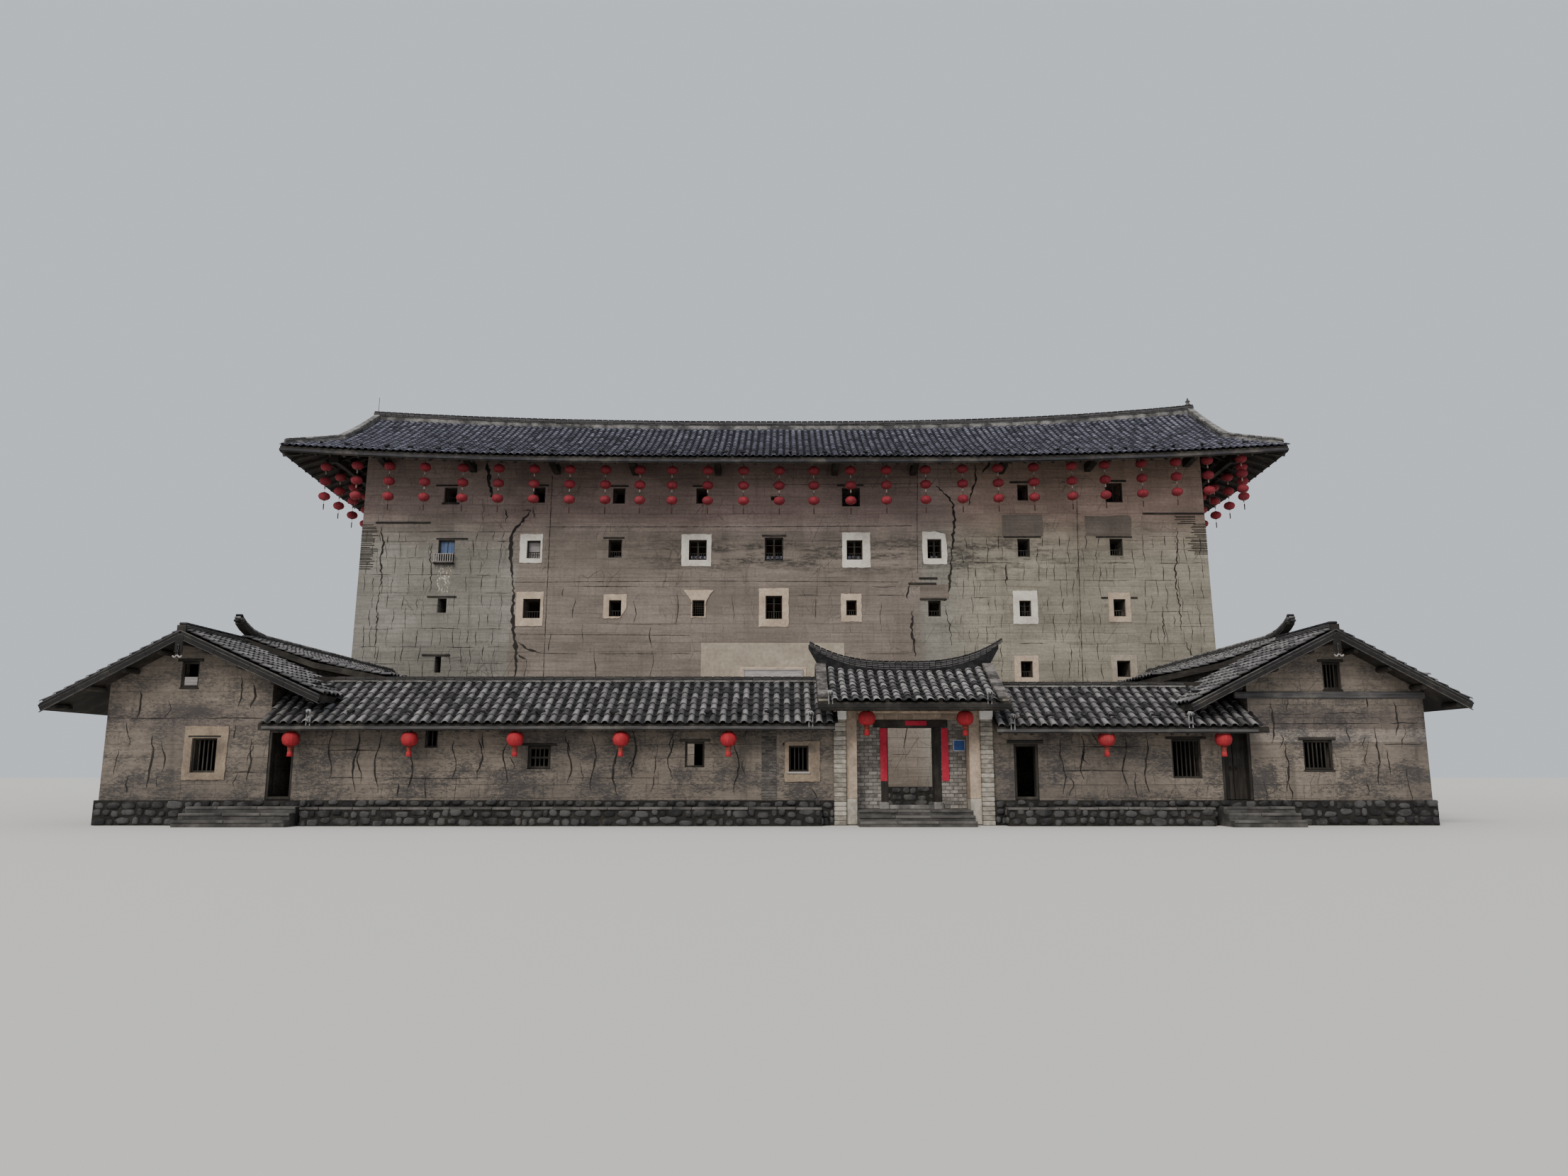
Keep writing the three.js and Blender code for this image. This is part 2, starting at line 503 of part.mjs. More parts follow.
// Purlins right round under the eaves on brackets that pass through the walls. Grown is extra on each face.
function eaveBeamSolid(grown) {
  const parts = [];
  const seat = (top, a) => heightOn(top, a) - roof.slab;
  const w = purlin.width / 2;
  const beam = (top, a, c, bottom) => [
    [a, bottom - grown], [c, bottom - grown], [c, seat(top, c) + purlin.proud],
    [a, seat(top, a) + purlin.proud]];
  [false, true].forEach((back) => {
    const y = facadeY - purlin.out;
    const bottomAt = (x) => seat(mainTop(x, back), flipY(y, back)) - purlin.height;
    parts.push(loft("x", mainStations.map((x) => x * ((tulou.halfWidth + purlin.out) / eaveX)), (x) => {
      const [a, c] = [flipY(y - w - grown, back), flipY(y + w + grown, back)];
      return beam(mainTop(x, back), a, c, bottomAt(x));
    }));
    bracketsFront.forEach((x) => {
      const top = bottomAt(x) + purlin.bracketLap;
      parts.push(bracketSolid("x", x, top, (d) => flipY(facadeY - d, back), grown));
    });
  });
  [-1, 1].forEach((side) => {
    const x = side * (tulou.halfWidth + purlin.out);
    const bottomAt = (y) => seat(sideTop(y, side), x) - purlin.height;
    const ends = spaced(facadeY - purlin.out, flipY(facadeY - purlin.out, true), 8);
    parts.push(loft("y", ends, (y) => beam(sideTop(y, side), x - w - grown, x + w + grown, bottomAt(y))));
    spaced(-3, 3, 6).forEach((n) => {
      const y = centreY + n * sideBracketPitch;
      const top = bottomAt(y) + purlin.bracketLap;
      parts.push(bracketSolid("y", y, top, (d) => side * (tulou.halfWidth + d), grown));
    });
  });
  const [cx, cy] = [tulou.halfWidth + purlin.out, facadeY - purlin.out];
  [-1, 1].forEach((side) => [false, true].forEach((back) => {
    const [y0, y1] = [flipY(cy - w - grown, back), flipY(cy + w + grown, back)].sort((a, b) => a - b);
    const [x0, x1] = [side * (cx - 3 * w), side * (cx + w)].sort((a, b) => a - b);
    parts.push(block(x0 - grown, x1 + grown, y0, y1, roof.eave + 0.2, roof.eave + 1.5));
  }));
  return cut(joined(parts), grown > 0 ? [] : skyCuts());
}

// One bracket: a beam that tapers upwards to its tip outside the wall.
function bracketSolid(axis, at, top, place, grown) {
  const { width, depth, reach, tail } = bracket;
  const inside = -(tulou.wall + tail);
  const under = [[inside, top - depth], [0.1, top - depth], [reach * 0.7, top - depth * 0.8],
    [reach + grown, top - depth * 0.45]];
  const over = [[reach + grown, top], [inside, top]];
  const outline = [
    ...under.map(([d, z]) => [place(d), z - grown]), ...over.map(([d, z]) => [place(d), z + grown])];
  return prism(axis, outline, at - width / 2 - grown, at + width / 2 + grown);
}

// Ring-shaped floors between the walls and the courtyard.
function ringFloor(top, thickness) {
  const x = tulou.halfWidth - tulou.wall - gap;
  const innerX = tulou.halfWidth - ringDepth;
  const y = -facadeY + gap;
  const innerY = facadeY + ringDepth;
  return block(-x, x, y, flipY(y, true), top - thickness, top)
    .subtract(block(-innerX, innerX, innerY, flipY(innerY, true), top - thickness - 1, top + 1));
}

// One side of the courtyard: posts through all storeys with a beam at each floor and at the top.
function galleryFrame(along, from, to, lineFrom, lineTo) {
  const bays = along === "x" ? gallery.longBays : gallery.shortBays;
  const put = (a0, a1, z0, z1) => (along === "x"
    ? block(a0, a1, lineFrom, lineTo, z0, z1) : block(lineFrom, lineTo, a0, a1, z0, z1));
  const parts = spaced(from, to - gallery.post, bays).map((a) => (
    put(a, a + gallery.post, tulou.plinthTop, tulou.wallTop)));
  floorTops.forEach((top) => parts.push(put(from, to, top - gallery.beam, top)));
  parts.push(put(from, to, roof.eave, roof.eave + gallery.head));
  return cut(joined(parts), skyCuts());
}

function plinth() {
  const { halfWidth: x, wall, plinthTop } = tulou;
  const proud = 0.12;
  const back = flipY(facadeY - proud, true);
  return block(-x - proud, x + proud, facadeY - proud, back, 0, plinthTop)
    .subtract(block(-x + wall, x - wall, -facadeY, flipY(-facadeY, true), -1, plinthTop + 1));
}

// A string of three lanterns as one turned piece, narrow as a cord between them.
function lanternString(x, y, topZ) {
  const { radius, height, heights, cord, sides } = strings;
  const profile = [[0, topZ], [cord, topZ]];
  heights.forEach((z) => profile.push([cord, z + height / 2], [radius, z], [cord, z - height / 2]));
  profile.push([0, heights.at(-1) - strings.tassel]);
  return turned(profile, sides, x, y);
}

function turned(profile, sides, x, y) {
  const geometry = new THREE.LatheGeometry(
    profile.slice().reverse().map(([r, z]) => new THREE.Vector2(r * metre, z * metre)), sides);
  geometry.rotateX(Math.PI / 2);
  geometry.translate(x * metre, y * metre, 0);
  return toSolid(geometry);
}

// A batten under the roof top given at each station, carrying the strings at the places given.
function hungStrings(axis, across, places, steps, topAt, sky) {
  const w = strings.batten / 2;
  const seat = (at) => heightOn(topAt(at), across) - roof.slab - strings.batten;
  const stations = spaced(places[0] - strings.over, places.at(-1) + strings.over, steps);
  const batten = loft(axis, stations, (at) => {
    const under = (a) => heightOn(topAt(at), a) - roof.slab + strings.batten;
    const [a, c] = [across - w, across + w];
    return [[a, seat(at)], [c, seat(at)], [c, under(c)], [a, under(a)]];
  });
  const hung = places.map((at) => {
    const [x, y] = axis === "x" ? [at, across] : [across, at];
    return lanternString(x, y, seat(at) + w);
  });
  return cut(joined([batten, ...hung]), [sky]);
}

const stringsFront = () => hungStrings(
  "x", facadeY - strings.out, frontStrings, 14, (x) => mainTop(x, false), mainSky(false));
const stringsSide = (side) => hungStrings(
  "y", side * (tulou.halfWidth + strings.out), sideStrings, 6, (y) => sideTop(y, side), sideSky(side));

// Range roof across y at any x: two plain slopes.
const rangeTop = (side) => {
  const [eave, top] = side < 0 ? [range.leftEave, range.leftRidge] : [range.rightEave, range.rightRidge];
  const front = range.face - range.eaveOut;
  return [[front, eave], [range.ridgeY, top], [2 * range.ridgeY - front, eave]];
};
// Front house roof of a wing across x at any y, and the longer roof behind it at y.
const houseTop = (w) => (w.side < 0 ? [[w.outX, w.outZ], [w.apexX, w.apex], [w.inX, w.inZ]]
  : [[w.inX, w.inZ], [w.apexX, w.apex], [w.outX, w.outZ]]);

function rearTop(w) {
  const mid = (wing.rearEave + wing.rearRidge) / 2 - wing.rearHollow;
  const outline = [
    [w.rearOutX, wing.rearEave], [(w.rearOutX + w.rearRidgeX) / 2, mid], [w.rearRidgeX, wing.rearRidge],
    [(w.rearInX + w.rearRidgeX) / 2, mid], [w.rearInX, wing.rearEave]];
  return outline.sort((a, b) => a[0] - b[0]);
}

const rangeEnds = {
  left: [wings.left.wallIn + gap, gate.left - gap], right: [gate.right + gap, wings.right.wallIn - gap],
};
const rangeRoll = (side) => [-wing.ridgeHalf, wing.ridgeHalf]
  .map((d) => [range.ridgeY + d, rangeTop(side)[1][1] + range.ridgeRoll]);

function rangeRoof(side) {
  const [from, to] = side < 0 ? rangeEnds.left : rangeEnds.right;
  const w = side < 0 ? wings.left : wings.right;
  const slab = loft("x", [from, to], () => band(rangeTop(side), range.slab));
  const roll = loft("x", [from, to], () => band(rangeRoll(side), range.ridgeRoll + 0.1));
  const nearY = wing.rearFront - 0.1;
  const rearHouse = side < 0 ? block(-far, w.rangeEnd + wing.rearOverhang, nearY, far, -1, far)
    : block(w.rangeEnd - wing.rearOverhang, far, nearY, far, -1, far);
  const [least, most] = side < 0 ? [w.inX, gate.roofFrom] : [gate.roofTo, w.inX];
  const places = (side < 0 ? ribPlaces(w.wallIn, gate.left) : ribPlaces(gate.right, w.wallIn))
    .filter((x) => x > least + 0.15 && x < most - 0.15);
  const ribs = plainRibs("x", places, () => rangeTop(side));
  return cut(joined([slab, roll, ...ribs]), [rearHouse, gateSky()]);
}

// The range's whole section below its roof's top, to seat the front houses' roofs on.
function rangeFill(side) {
  const [from, to] = side < 0 ? rangeEnds.left : rangeEnds.right;
  const top = rangeTop(side);
  return loft("x", [from - 5 * gap, to + 5 * gap], () => below([top[0], ...rangeRoll(side), top[2]]));
}

// Walls round the range's room: front with windows, one end wall and the back.
function rangeWalls(side) {
  const run = side < 0 ? rangeLeft : rangeRight;
  const { face, wall, back, podium } = range;
  const z0 = podium + gap;
  const inner = side < 0 ? run.to - gap : run.from + gap;
  const outer = side < 0 ? run.from : run.to;
  const [x0, x1] = [inner, outer].sort((a, b) => a - b);
  const endFrom = side < 0 ? outer : outer - wall;
  const parts = [block(x0, x1, face, face + wall, z0, 6), block(x0, x1, back - wall, back, z0, 6),
    block(endFrom, endFrom + wall, face, back, z0, 6)];
  const windows = side < 0 ? rangeWindowsLeft : rangeWindowsRight;
  const holes = windows.map(([x, z, w, h]) => (
    block(x - w / 2, x + w / 2, face - 1, face + 1, z - h / 2, z + h / 2)));
  if (side > 0) {
    holes.push(block(shopDoor.from, shopDoor.to, face - 1, face + 1, 0, shopDoor.top));
  }
  const sky = loft("x", [x0 - 1, x1 + 1], () => above(rangeTop(side), range.slab));
  holes.push(rearFootprint(side < 0 ? wings.left : wings.right, -1, far));
  const doorX = side < 0 ? backDoors.left : backDoors.right;
  const half = backDoors.width / 2;
  holes.push(block(doorX - half, doorX + half, back - 1, back + 1, 0, backDoors.top));
  return cut(joined(parts), [...holes, sky]);
}

// The raised rubble base of one half of the range, stepped along its front.
function podium(side) {
  const w = side < 0 ? wings.left : wings.right;
  const proud = range.podiumProud;
  const [x0, x1] = side < 0 ? [w.wallOut - proud, gate.left - gap] : [gate.right + gap, w.wallOut + proud];
  const [from, to] = side < 0 ? bench.left : bench.right;
  return block(x0, x1, range.face - proud, range.back + proud, 0, range.podium)
    .subtract(rearFootprint(w, -1, 2))
    .add(block(from, to, range.face - proud - bench.out, range.face, 0, bench.top));
}

// The space a rear house's walls stand in, cleared out of the podium.
function rearFootprint(w, z0, z1) {
  const [x0, x1] = rearWallSpan(w);
  return block(x0 - 2 * gap, x1 + 2 * gap, wing.rearFront - gap, far, z0, z1);
}

const rearWallSpan = (w) => [w.rearOutX, w.rearInX].sort((a, b) => a - b)
  .map((x, i) => x + (i === 0 ? wing.rearOverhang : -wing.rearOverhang));

function frontHouseWalls(w) {
  const { wall } = wing;
  const [x0, x1] = [w.wallOut, w.wallIn].sort((a, b) => a - b);
  const z0 = range.podium + gap;
  const back = wing.frontBack;
  const { face } = range;
  const parts = [block(x0, x1, face, face + wall, z0, 6), block(x0, x0 + wall, face, back, z0, 6),
    block(x1 - wall, x1, face, back, z0, 6)];
  const [from, to] = w.side < 0 ? [x1 - 0.1, w.rangeEnd - gap] : [w.rangeEnd + gap, x0 + 0.1];
  const lintelFoot = w.side < 0 ? cornerDoor.leftTop : cornerDoor.top;
  parts.push(block(from, to, face, face + wall, lintelFoot, wing.lintelTop));
  const holes = [w.upper, w.lower].map(([x, z, across, high]) => block(
    x - across / 2, x + across / 2, face - 1, face + 1, z - high / 2, z + high / 2));
  const sky = loft("y", [-20, -10], () => above(houseTop(w), wing.slab));
  const passage = [w.wallIn, w.rangeEnd].sort((a, b) => a - b);
  const rangeSky = loft("x", w.side < 0 ? [passage[0], passage[1] + 0.1] : [passage[0] - 0.1, passage[1]],
    () => above(rangeTop(w.side), range.slab));
  return cut(joined(parts), [...holes, sky, rangeSky]);
}

function frontHouseRoof(w) {
  const from = range.face - wing.verge;
  const top = houseTop(w);
  const slab = loft("y", [from, wing.frontBack], () => band(top, wing.slab));
  const stop = wing.rearFront - wing.rearVerge;
  const roll = block(w.apexX - wing.ridgeHalf, w.apexX + wing.ridgeHalf, from, stop - 0.06,
    w.apex - wing.ridgeRoll, w.apex + wing.ridgeRoll);
  const rearSky = loft("y", [stop - gap, 0], () => above(rearTop(w), wing.slab));
  const ribs = plainRibs("y", ribPlaces(from, wing.frontBack).filter((y) => y < stop - 0.15), () => top);
  return cut(joined([slab, roll, ...ribs]), [rangeFill(w.side), rearSky]);
}

function rearWalls(w) {
  const { wall } = wing;
  const [x0, x1] = rearWallSpan(w);
  const [y0, y1] = [wing.rearFront, facadeY - 0.12 - gap];
  const parts = [block(x0, x1, y0, y0 + wall, 0, 7), block(x0, x0 + wall, y0, y1, 0, 7),
    block(x1 - wall, x1, y0, y1, 0, 7)];
  const inner = w.side < 0 ? x1 : x0;
  const passage = [w.wallIn, w.rangeEnd].sort((a, b) => a - b);
  const holes = [block(inner - 1, inner + 1, rearDoor.from, rearDoor.to, -1, rearDoor.top),
    block(passage[0], passage[1], y0 - 1, y0 + 1, range.podium, backDoors.top)];
  const sky = loft("y", [-20, 0], () => above(rearTop(w), wing.slab));
  return cut(joined(parts), [...holes, sky]);
}

function rearRoof(w) {
  const from = wing.rearFront - wing.rearVerge;
  const to = facadeY - gap;
  const slab = loft("y", [from, to], () => band(rearTop(w), wing.slab));
  const horned = [...rearHorn.map(([d]) => from + d), to];
  const roll = loft("y", horned, (y) => {
    const lift = y === to ? 0 : rearHorn[horned.indexOf(y)][1];
    const [x0, x1] = [w.rearRidgeX - wing.ridgeHalf, w.rearRidgeX + wing.ridgeHalf];
    const top = wing.rearRidge + wing.ridgeRoll + lift;
    return [[x0, top - 0.2], [x1, top - 0.2], [x1, top], [x0, top]];
  });
  return joined([slab, roll, ...plainRibs("y", ribPlaces(from, to - 0.02), () => rearTop(w))]);
}

function gateRoof() {
  const slab = loft("x", gateStations, (x) => band(gateTopAt(x), gate.slab));
  const places = ribPlaces(gate.roofFrom + gate.brickVerge, gate.roofTo - gate.brickVerge);
  return joined([slab, ...plainRibs("x", places, gateTopAt)]);
}

// Gate side: rusticated pier, rendered pilaster, recessed wall and the flank wall behind.
function gateSide(side) {
  const g = gate;
  const mirror = (x) => (side < 0 ? x : g.left + g.right - x);
  const put = (a, b, y0, y1, z1) => {
    const [x0, x1] = [mirror(a), mirror(b)].sort((p, q) => p - q);
    return block(x0, x1, y0, y1, 0, z1);
  };
  const jamb = side < 0 ? g.doorFrom : g.left + g.right - g.doorTo;
  const face = range.face;
  const parts = [put(g.left, g.left + g.pier, face - g.proud, face + g.recess + g.wall, 5),
    put(g.left, g.left + g.pier + g.pilaster, face, face + g.recess + g.wall, 5),
    put(g.left, jamb, face + g.recess, face + g.recess + g.wall, g.doorTop),
    put(g.left, g.left + g.wall, face + g.recess, range.back, 5)];
  return cut(joined(parts), [gateSky()]);
}

const gateMid = (gate.eave + gate.ridge) / 2 - gate.hollow;
const gateTop = [[gate.eaveY, gate.eave], [(gate.eaveY + gate.ridgeY) / 2, gateMid],
  [gate.ridgeY, gate.ridge], [(gate.backEaveY + gate.ridgeY) / 2, gateMid], [gate.backEaveY, gate.eave]];
const gateStations = spaced(gate.roofFrom, gate.roofTo, 8);
const gateLift = (x) => {
  const out = Math.abs(x - (gate.roofFrom + gate.roofTo) / 2) / ((gate.roofTo - gate.roofFrom) / 2);
  return gate.verge * out ** 3;
};
const gateTopAt = (x) => gateTop.map(([y, z]) => (
  [y, z + gateLift(x) * ((z - gate.eave) / (gate.ridge - gate.eave))]));
const gateSky = () => loft(
  "x", [gate.roofFrom - gap, ...gateStations.slice(1, -1), gate.roofTo + gap],
  (x) => above(gateTopAt(x), gate.slab));

function gateLintel() {
  const inset = gate.pier + gate.pilaster + gap;
  const face = range.face + gate.recess;
  return block(gate.left + inset, gate.right - inset, face, face + gate.wall, gate.doorTop + gap, 5)
    .subtract(gateSky());
}

function gateRidge() {
  const middle = (horn.from + horn.to) / 2;
  const half = (horn.to - horn.from) / 2;
  const stations = spaced(horn.from, horn.to, 16);
  const solid = loft("x", stations, (x) => {
    const out = Math.abs(x - middle) / half;
    const lift = horn.rise * out ** horn.curve;
    const top = horn.middle + lift;
    const thick = horn.thick * (1 - 0.55 * out ** 4);
    const deep = (horn.deep / 2) * (1 - 0.4 * out ** 4);
    const foot = out < 0.9 ? top - lift - horn.thick - horn.sink + gateLift(x) : top - thick;
    const [y0, y1] = [gate.ridgeY - deep, gate.ridgeY + deep];
    return [[y0, foot], [y1, foot], [y1, top], [y0, top]];
  });
  const fill = loft("x", gateStations, (x) => below(gateTopAt(x)));
  return solid.subtract(fill);
}

// Steps up to the gate, the landing between the pilasters and the passage floor behind it.
function gateSteps() {
  const { floor, tread, recess, steps } = gate;
  const inset = gate.pier + gate.pilaster + gap;
  const landing = range.face + recess - gap;
  const outline = [[range.face - steps * tread, 0], [landing, 0], [landing, floor]];
  for (let i = 1; i <= steps; i += 1) {
    outline.push([range.face - i * tread, (floor * (steps + 1 - i)) / steps]);
    outline.push([range.face - i * tread, (floor * (steps - i)) / steps]);
  }
  const passage = block(gate.doorFrom + gap, gate.doorTo - gap, landing - gap, range.back, 0, floor);
  return prism("x", outline.slice(0, -1), gate.left + inset, gate.right - inset).add(passage);
}

// Steps up to a corner doorway in the range.
function cornerSteps(side) {
  const { count, tread } = cornerStep;
  const face = range.face - range.podiumProud - gap;
  const outline = [[face, 0]];
  for (let i = 0; i < count; i += 1) {
    const z = (range.podium * (count - i)) / (count + 1);
    outline.push([face - i * tread, z], [face - (i + 1) * tread, z]);
  }
  outline.push([face - count * tread, 0]);
  return prism("x", outline, ...(side < 0 ? cornerStep.left : cornerStep.right));
}

// A plank leaf of the right corner doorway with its round pivot pins.
function doorLeaf(hand) {
  const d = cornerDoor;
  const [from, to] = [wings.right.rangeEnd, wings.right.wallIn];
  const middle = (from + to) / 2;
  const y = range.face + d.setback;
  const half = d.meeting / 2;
  const [x0, x1] = hand < 0 ? [from + d.edge, middle - half] : [middle + half, to - d.edge];
  const leaf = block(x0, x1, y - d.leaf / 2, y + d.leaf / 2, range.podium + d.end, d.top - d.end);
  const pivotX = hand < 0 ? x0 + d.leaf / 2 : x1 - d.leaf / 2;
  const [pinFoot, pinTop] = [range.podium + gap, d.top - gap];
  const pin = turned([[0, pinTop], [d.pin, pinTop], [d.pin, pinFoot], [0, pinFoot]], 12, pivotX, y);
  return leaf.add(pin);
}

// Round lanterns with a sleeve below, joined by the batten they hang from.
function lowLanterns(xs, centre, y, battenZ) {
  const { radius: r, height: h, sleeve, batten } = frontLanterns;
  const [top, foot] = [centre + h / 2, centre - h / 2];
  const parts = xs.map((x) => turned([
    [0, battenZ + 0.01], [0.02, battenZ + 0.01], [0.02, top], [r * 0.5, top], [r, centre + h * 0.15],
    [r, centre - h * 0.15], [r * 0.5, foot], [0.1, foot], [0.07, foot - sleeve], [0, foot - sleeve],
  ], 8, x, y));
  const [x0, x1] = [Math.min(...xs) - 0.1, Math.max(...xs) + 0.1];
  parts.push(block(x0, x1, y - batten / 2, y + batten / 2, battenZ, battenZ + batten));
  return joined(parts);
}

const materials = {
  earth: [0x8f8469, 0.95], earthWarm: [0x8a7452, 0.95], timber: [0x3b2c20, 0.85], boards: [0x54402c, 0.85],
  tile: [0x3a3a3c, 0.9], ridgeLime: [0x77736a, 0.9], rubble: [0x56524a, 0.95], brick: [0x7c776c, 0.9],
  lantern: [0xb5161b, 0.6], stone: [0x6e685c, 0.9],
};

const tulouGroup = new THREE.Group();

// Adds a solid as a named mesh.
function add(name, solid, slot) {
  const mesh = solid.getMesh();
  const geometry = new THREE.BufferGeometry();
  geometry.setAttribute("position", new THREE.BufferAttribute(new Float32Array(mesh.vertProperties), 3));
  geometry.setIndex(new THREE.BufferAttribute(new Uint32Array(mesh.triVerts), 1));
  const [color, roughness] = materials[slot];
  const material = new THREE.MeshStandardMaterial({ color, roughness, metalness: 0 });
  const object = new THREE.Mesh(geometry, material);
  object.name = name;
  tulouGroup.add(object);
}

add("main_plinth", plinth(), "rubble");
add("front_wall", longWall(false), "earth");
add("back_wall", longWall(true), "earth");
add("left_wall", sideWall(-1), "earth");
add("right_wall", sideWall(1), "earth");
add("floor_1", ringFloor(tulou.plinthTop, tulou.plinthTop), "stone");
floorTops.forEach((top, i) => add(`floor_${i + 2}`, ringFloor(top, floorThickness), "boards"));

const courtX = tulou.halfWidth - ringDepth;
const courtY = facadeY + ringDepth;
const postLine = courtY + gap;
const postInner = postLine + gallery.post;
const [backFrom, backTo] = [flipY(postInner, true), flipY(postLine, true)];
add("gallery_front", galleryFrame("x", -courtX, courtX, postLine, postInner), "timber");
add("gallery_back", galleryFrame("x", -courtX, courtX, backFrom, backTo), "timber");
const [sideFrom, sideTo] = [postInner + gap, flipY(postInner + gap, true)];
const [lineIn, lineOut] = [courtX - gap - gallery.post, courtX - gap];
add("gallery_left", galleryFrame("y", sideFrom, sideTo, -lineOut, -lineIn), "timber");
add("gallery_right", galleryFrame("y", sideFrom, sideTo, lineIn, lineOut), "timber");

add("main_roof_front", mainRoof(false), "tile");
add("main_roof_back", mainRoof(true), "tile");
add("main_roof_left", mainRoofSide(-1), "tile");
add("main_roof_right", mainRoofSide(1), "tile");
add("main_ridge_front", mainRidge(false), "ridgeLime");
add("main_ridge_back", mainRidge(true), "ridgeLime");
add("eave_beams", eaveBeamSolid(0), "timber");
add("lantern_strings_front", stringsFront(), "lantern");
add("lantern_strings_left", stringsSide(-1), "lantern");
add("lantern_strings_right", stringsSide(1), "lantern");

[["left", -1], ["right", 1]].forEach(([name, side]) => {
  const w = wings[name];
  add(`podium_${name}`, podium(side), "rubble");
  add(`range_walls_${name}`, rangeWalls(side), "earthWarm");
  add(`range_roof_${name}`, rangeRoof(side), "tile");
  add(`front_house_walls_${name}`, frontHouseWalls(w), "earthWarm");
  add(`front_house_roof_${name}`, frontHouseRoof(w), "tile");
  add(`rear_house_walls_${name}`, rearWalls(w), "earthWarm");
  add(`rear_house_roof_${name}`, rearRoof(w), "tile");
  add(`corner_steps_${name}`, cornerSteps(side), "stone");
  add(`gate_side_${name}`, gateSide(side), "brick");
});

add("gate_lintel", gateLintel(), "brick");
add("gate_roof", gateRoof(), "tile");
add("gate_ridge", gateRidge(), "tile");
add("gate_steps", gateSteps(), "stone");
add("corner_door_leaf_left", doorLeaf(-1), "timber");
add("corner_door_leaf_right", doorLeaf(1), "timber");

const lanternY = range.face - frontLanterns.out;
const { batten, centre } = frontLanterns;
const battenUnder = (top, slab) => heightOn(top, lanternY - batten / 2) - slab - batten - gap;
const rangeBatten = (side) => battenUnder(rangeTop(side), range.slab);
add("range_lanterns_left", lowLanterns(lanternsLeft, centre, lanternY, rangeBatten(-1)), "lantern");
add("range_lanterns_right", lowLanterns(lanternsRight, centre, lanternY, rangeBatten(1)), "lantern");
const gateBatten = battenUnder(gateTop, gate.slab);
add("gate_lanterns", lowLanterns(gateLanterns.xs, gateLanterns.centre, lanternY, gateBatten), "lantern");

export default tulouGroup;
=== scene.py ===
# A square tulou and its forecourt range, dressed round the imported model.
# Lengths are those of the real house in metres. The model is half as large.
import json
import math
import random

import bpy
import numpy as np
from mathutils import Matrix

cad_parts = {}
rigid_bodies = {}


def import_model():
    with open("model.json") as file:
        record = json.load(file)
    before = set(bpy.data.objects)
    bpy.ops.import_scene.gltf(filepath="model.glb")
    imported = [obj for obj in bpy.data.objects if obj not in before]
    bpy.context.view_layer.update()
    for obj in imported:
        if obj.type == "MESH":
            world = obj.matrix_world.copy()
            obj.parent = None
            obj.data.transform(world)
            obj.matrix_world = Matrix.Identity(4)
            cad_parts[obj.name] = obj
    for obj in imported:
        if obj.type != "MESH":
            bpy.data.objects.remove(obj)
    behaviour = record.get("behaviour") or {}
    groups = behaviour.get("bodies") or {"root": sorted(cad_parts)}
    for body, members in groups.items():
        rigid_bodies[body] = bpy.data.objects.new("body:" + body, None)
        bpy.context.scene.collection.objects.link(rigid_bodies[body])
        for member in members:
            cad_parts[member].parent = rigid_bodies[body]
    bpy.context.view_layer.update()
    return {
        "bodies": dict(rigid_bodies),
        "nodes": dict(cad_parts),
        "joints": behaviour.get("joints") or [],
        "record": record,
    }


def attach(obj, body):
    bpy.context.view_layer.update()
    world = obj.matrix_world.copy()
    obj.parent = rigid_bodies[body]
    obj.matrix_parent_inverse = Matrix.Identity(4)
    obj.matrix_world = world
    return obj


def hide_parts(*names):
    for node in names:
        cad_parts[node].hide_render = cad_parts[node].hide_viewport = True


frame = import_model()
modelScale = 0.5
nodes = frame["nodes"]
print("stage: frame loaded,", len(nodes), "nodes")


# Quads between rings of points that follow one another, with the same count in each ring.
def ringFaces(rings, sides, flipped=False):
    here = np.arange(sides)
    ahead = (here + 1) % sides
    faces = []
    for first in range(0, (rings - 1) * sides, sides):
        second = first + sides
        corners = [first + here, second + here, second + ahead, first + ahead]
        if flipped:
            corners = [corners[i] for i in (0, 3, 2, 1)]
        faces.append(np.column_stack(corners))
    return np.concatenate(faces)


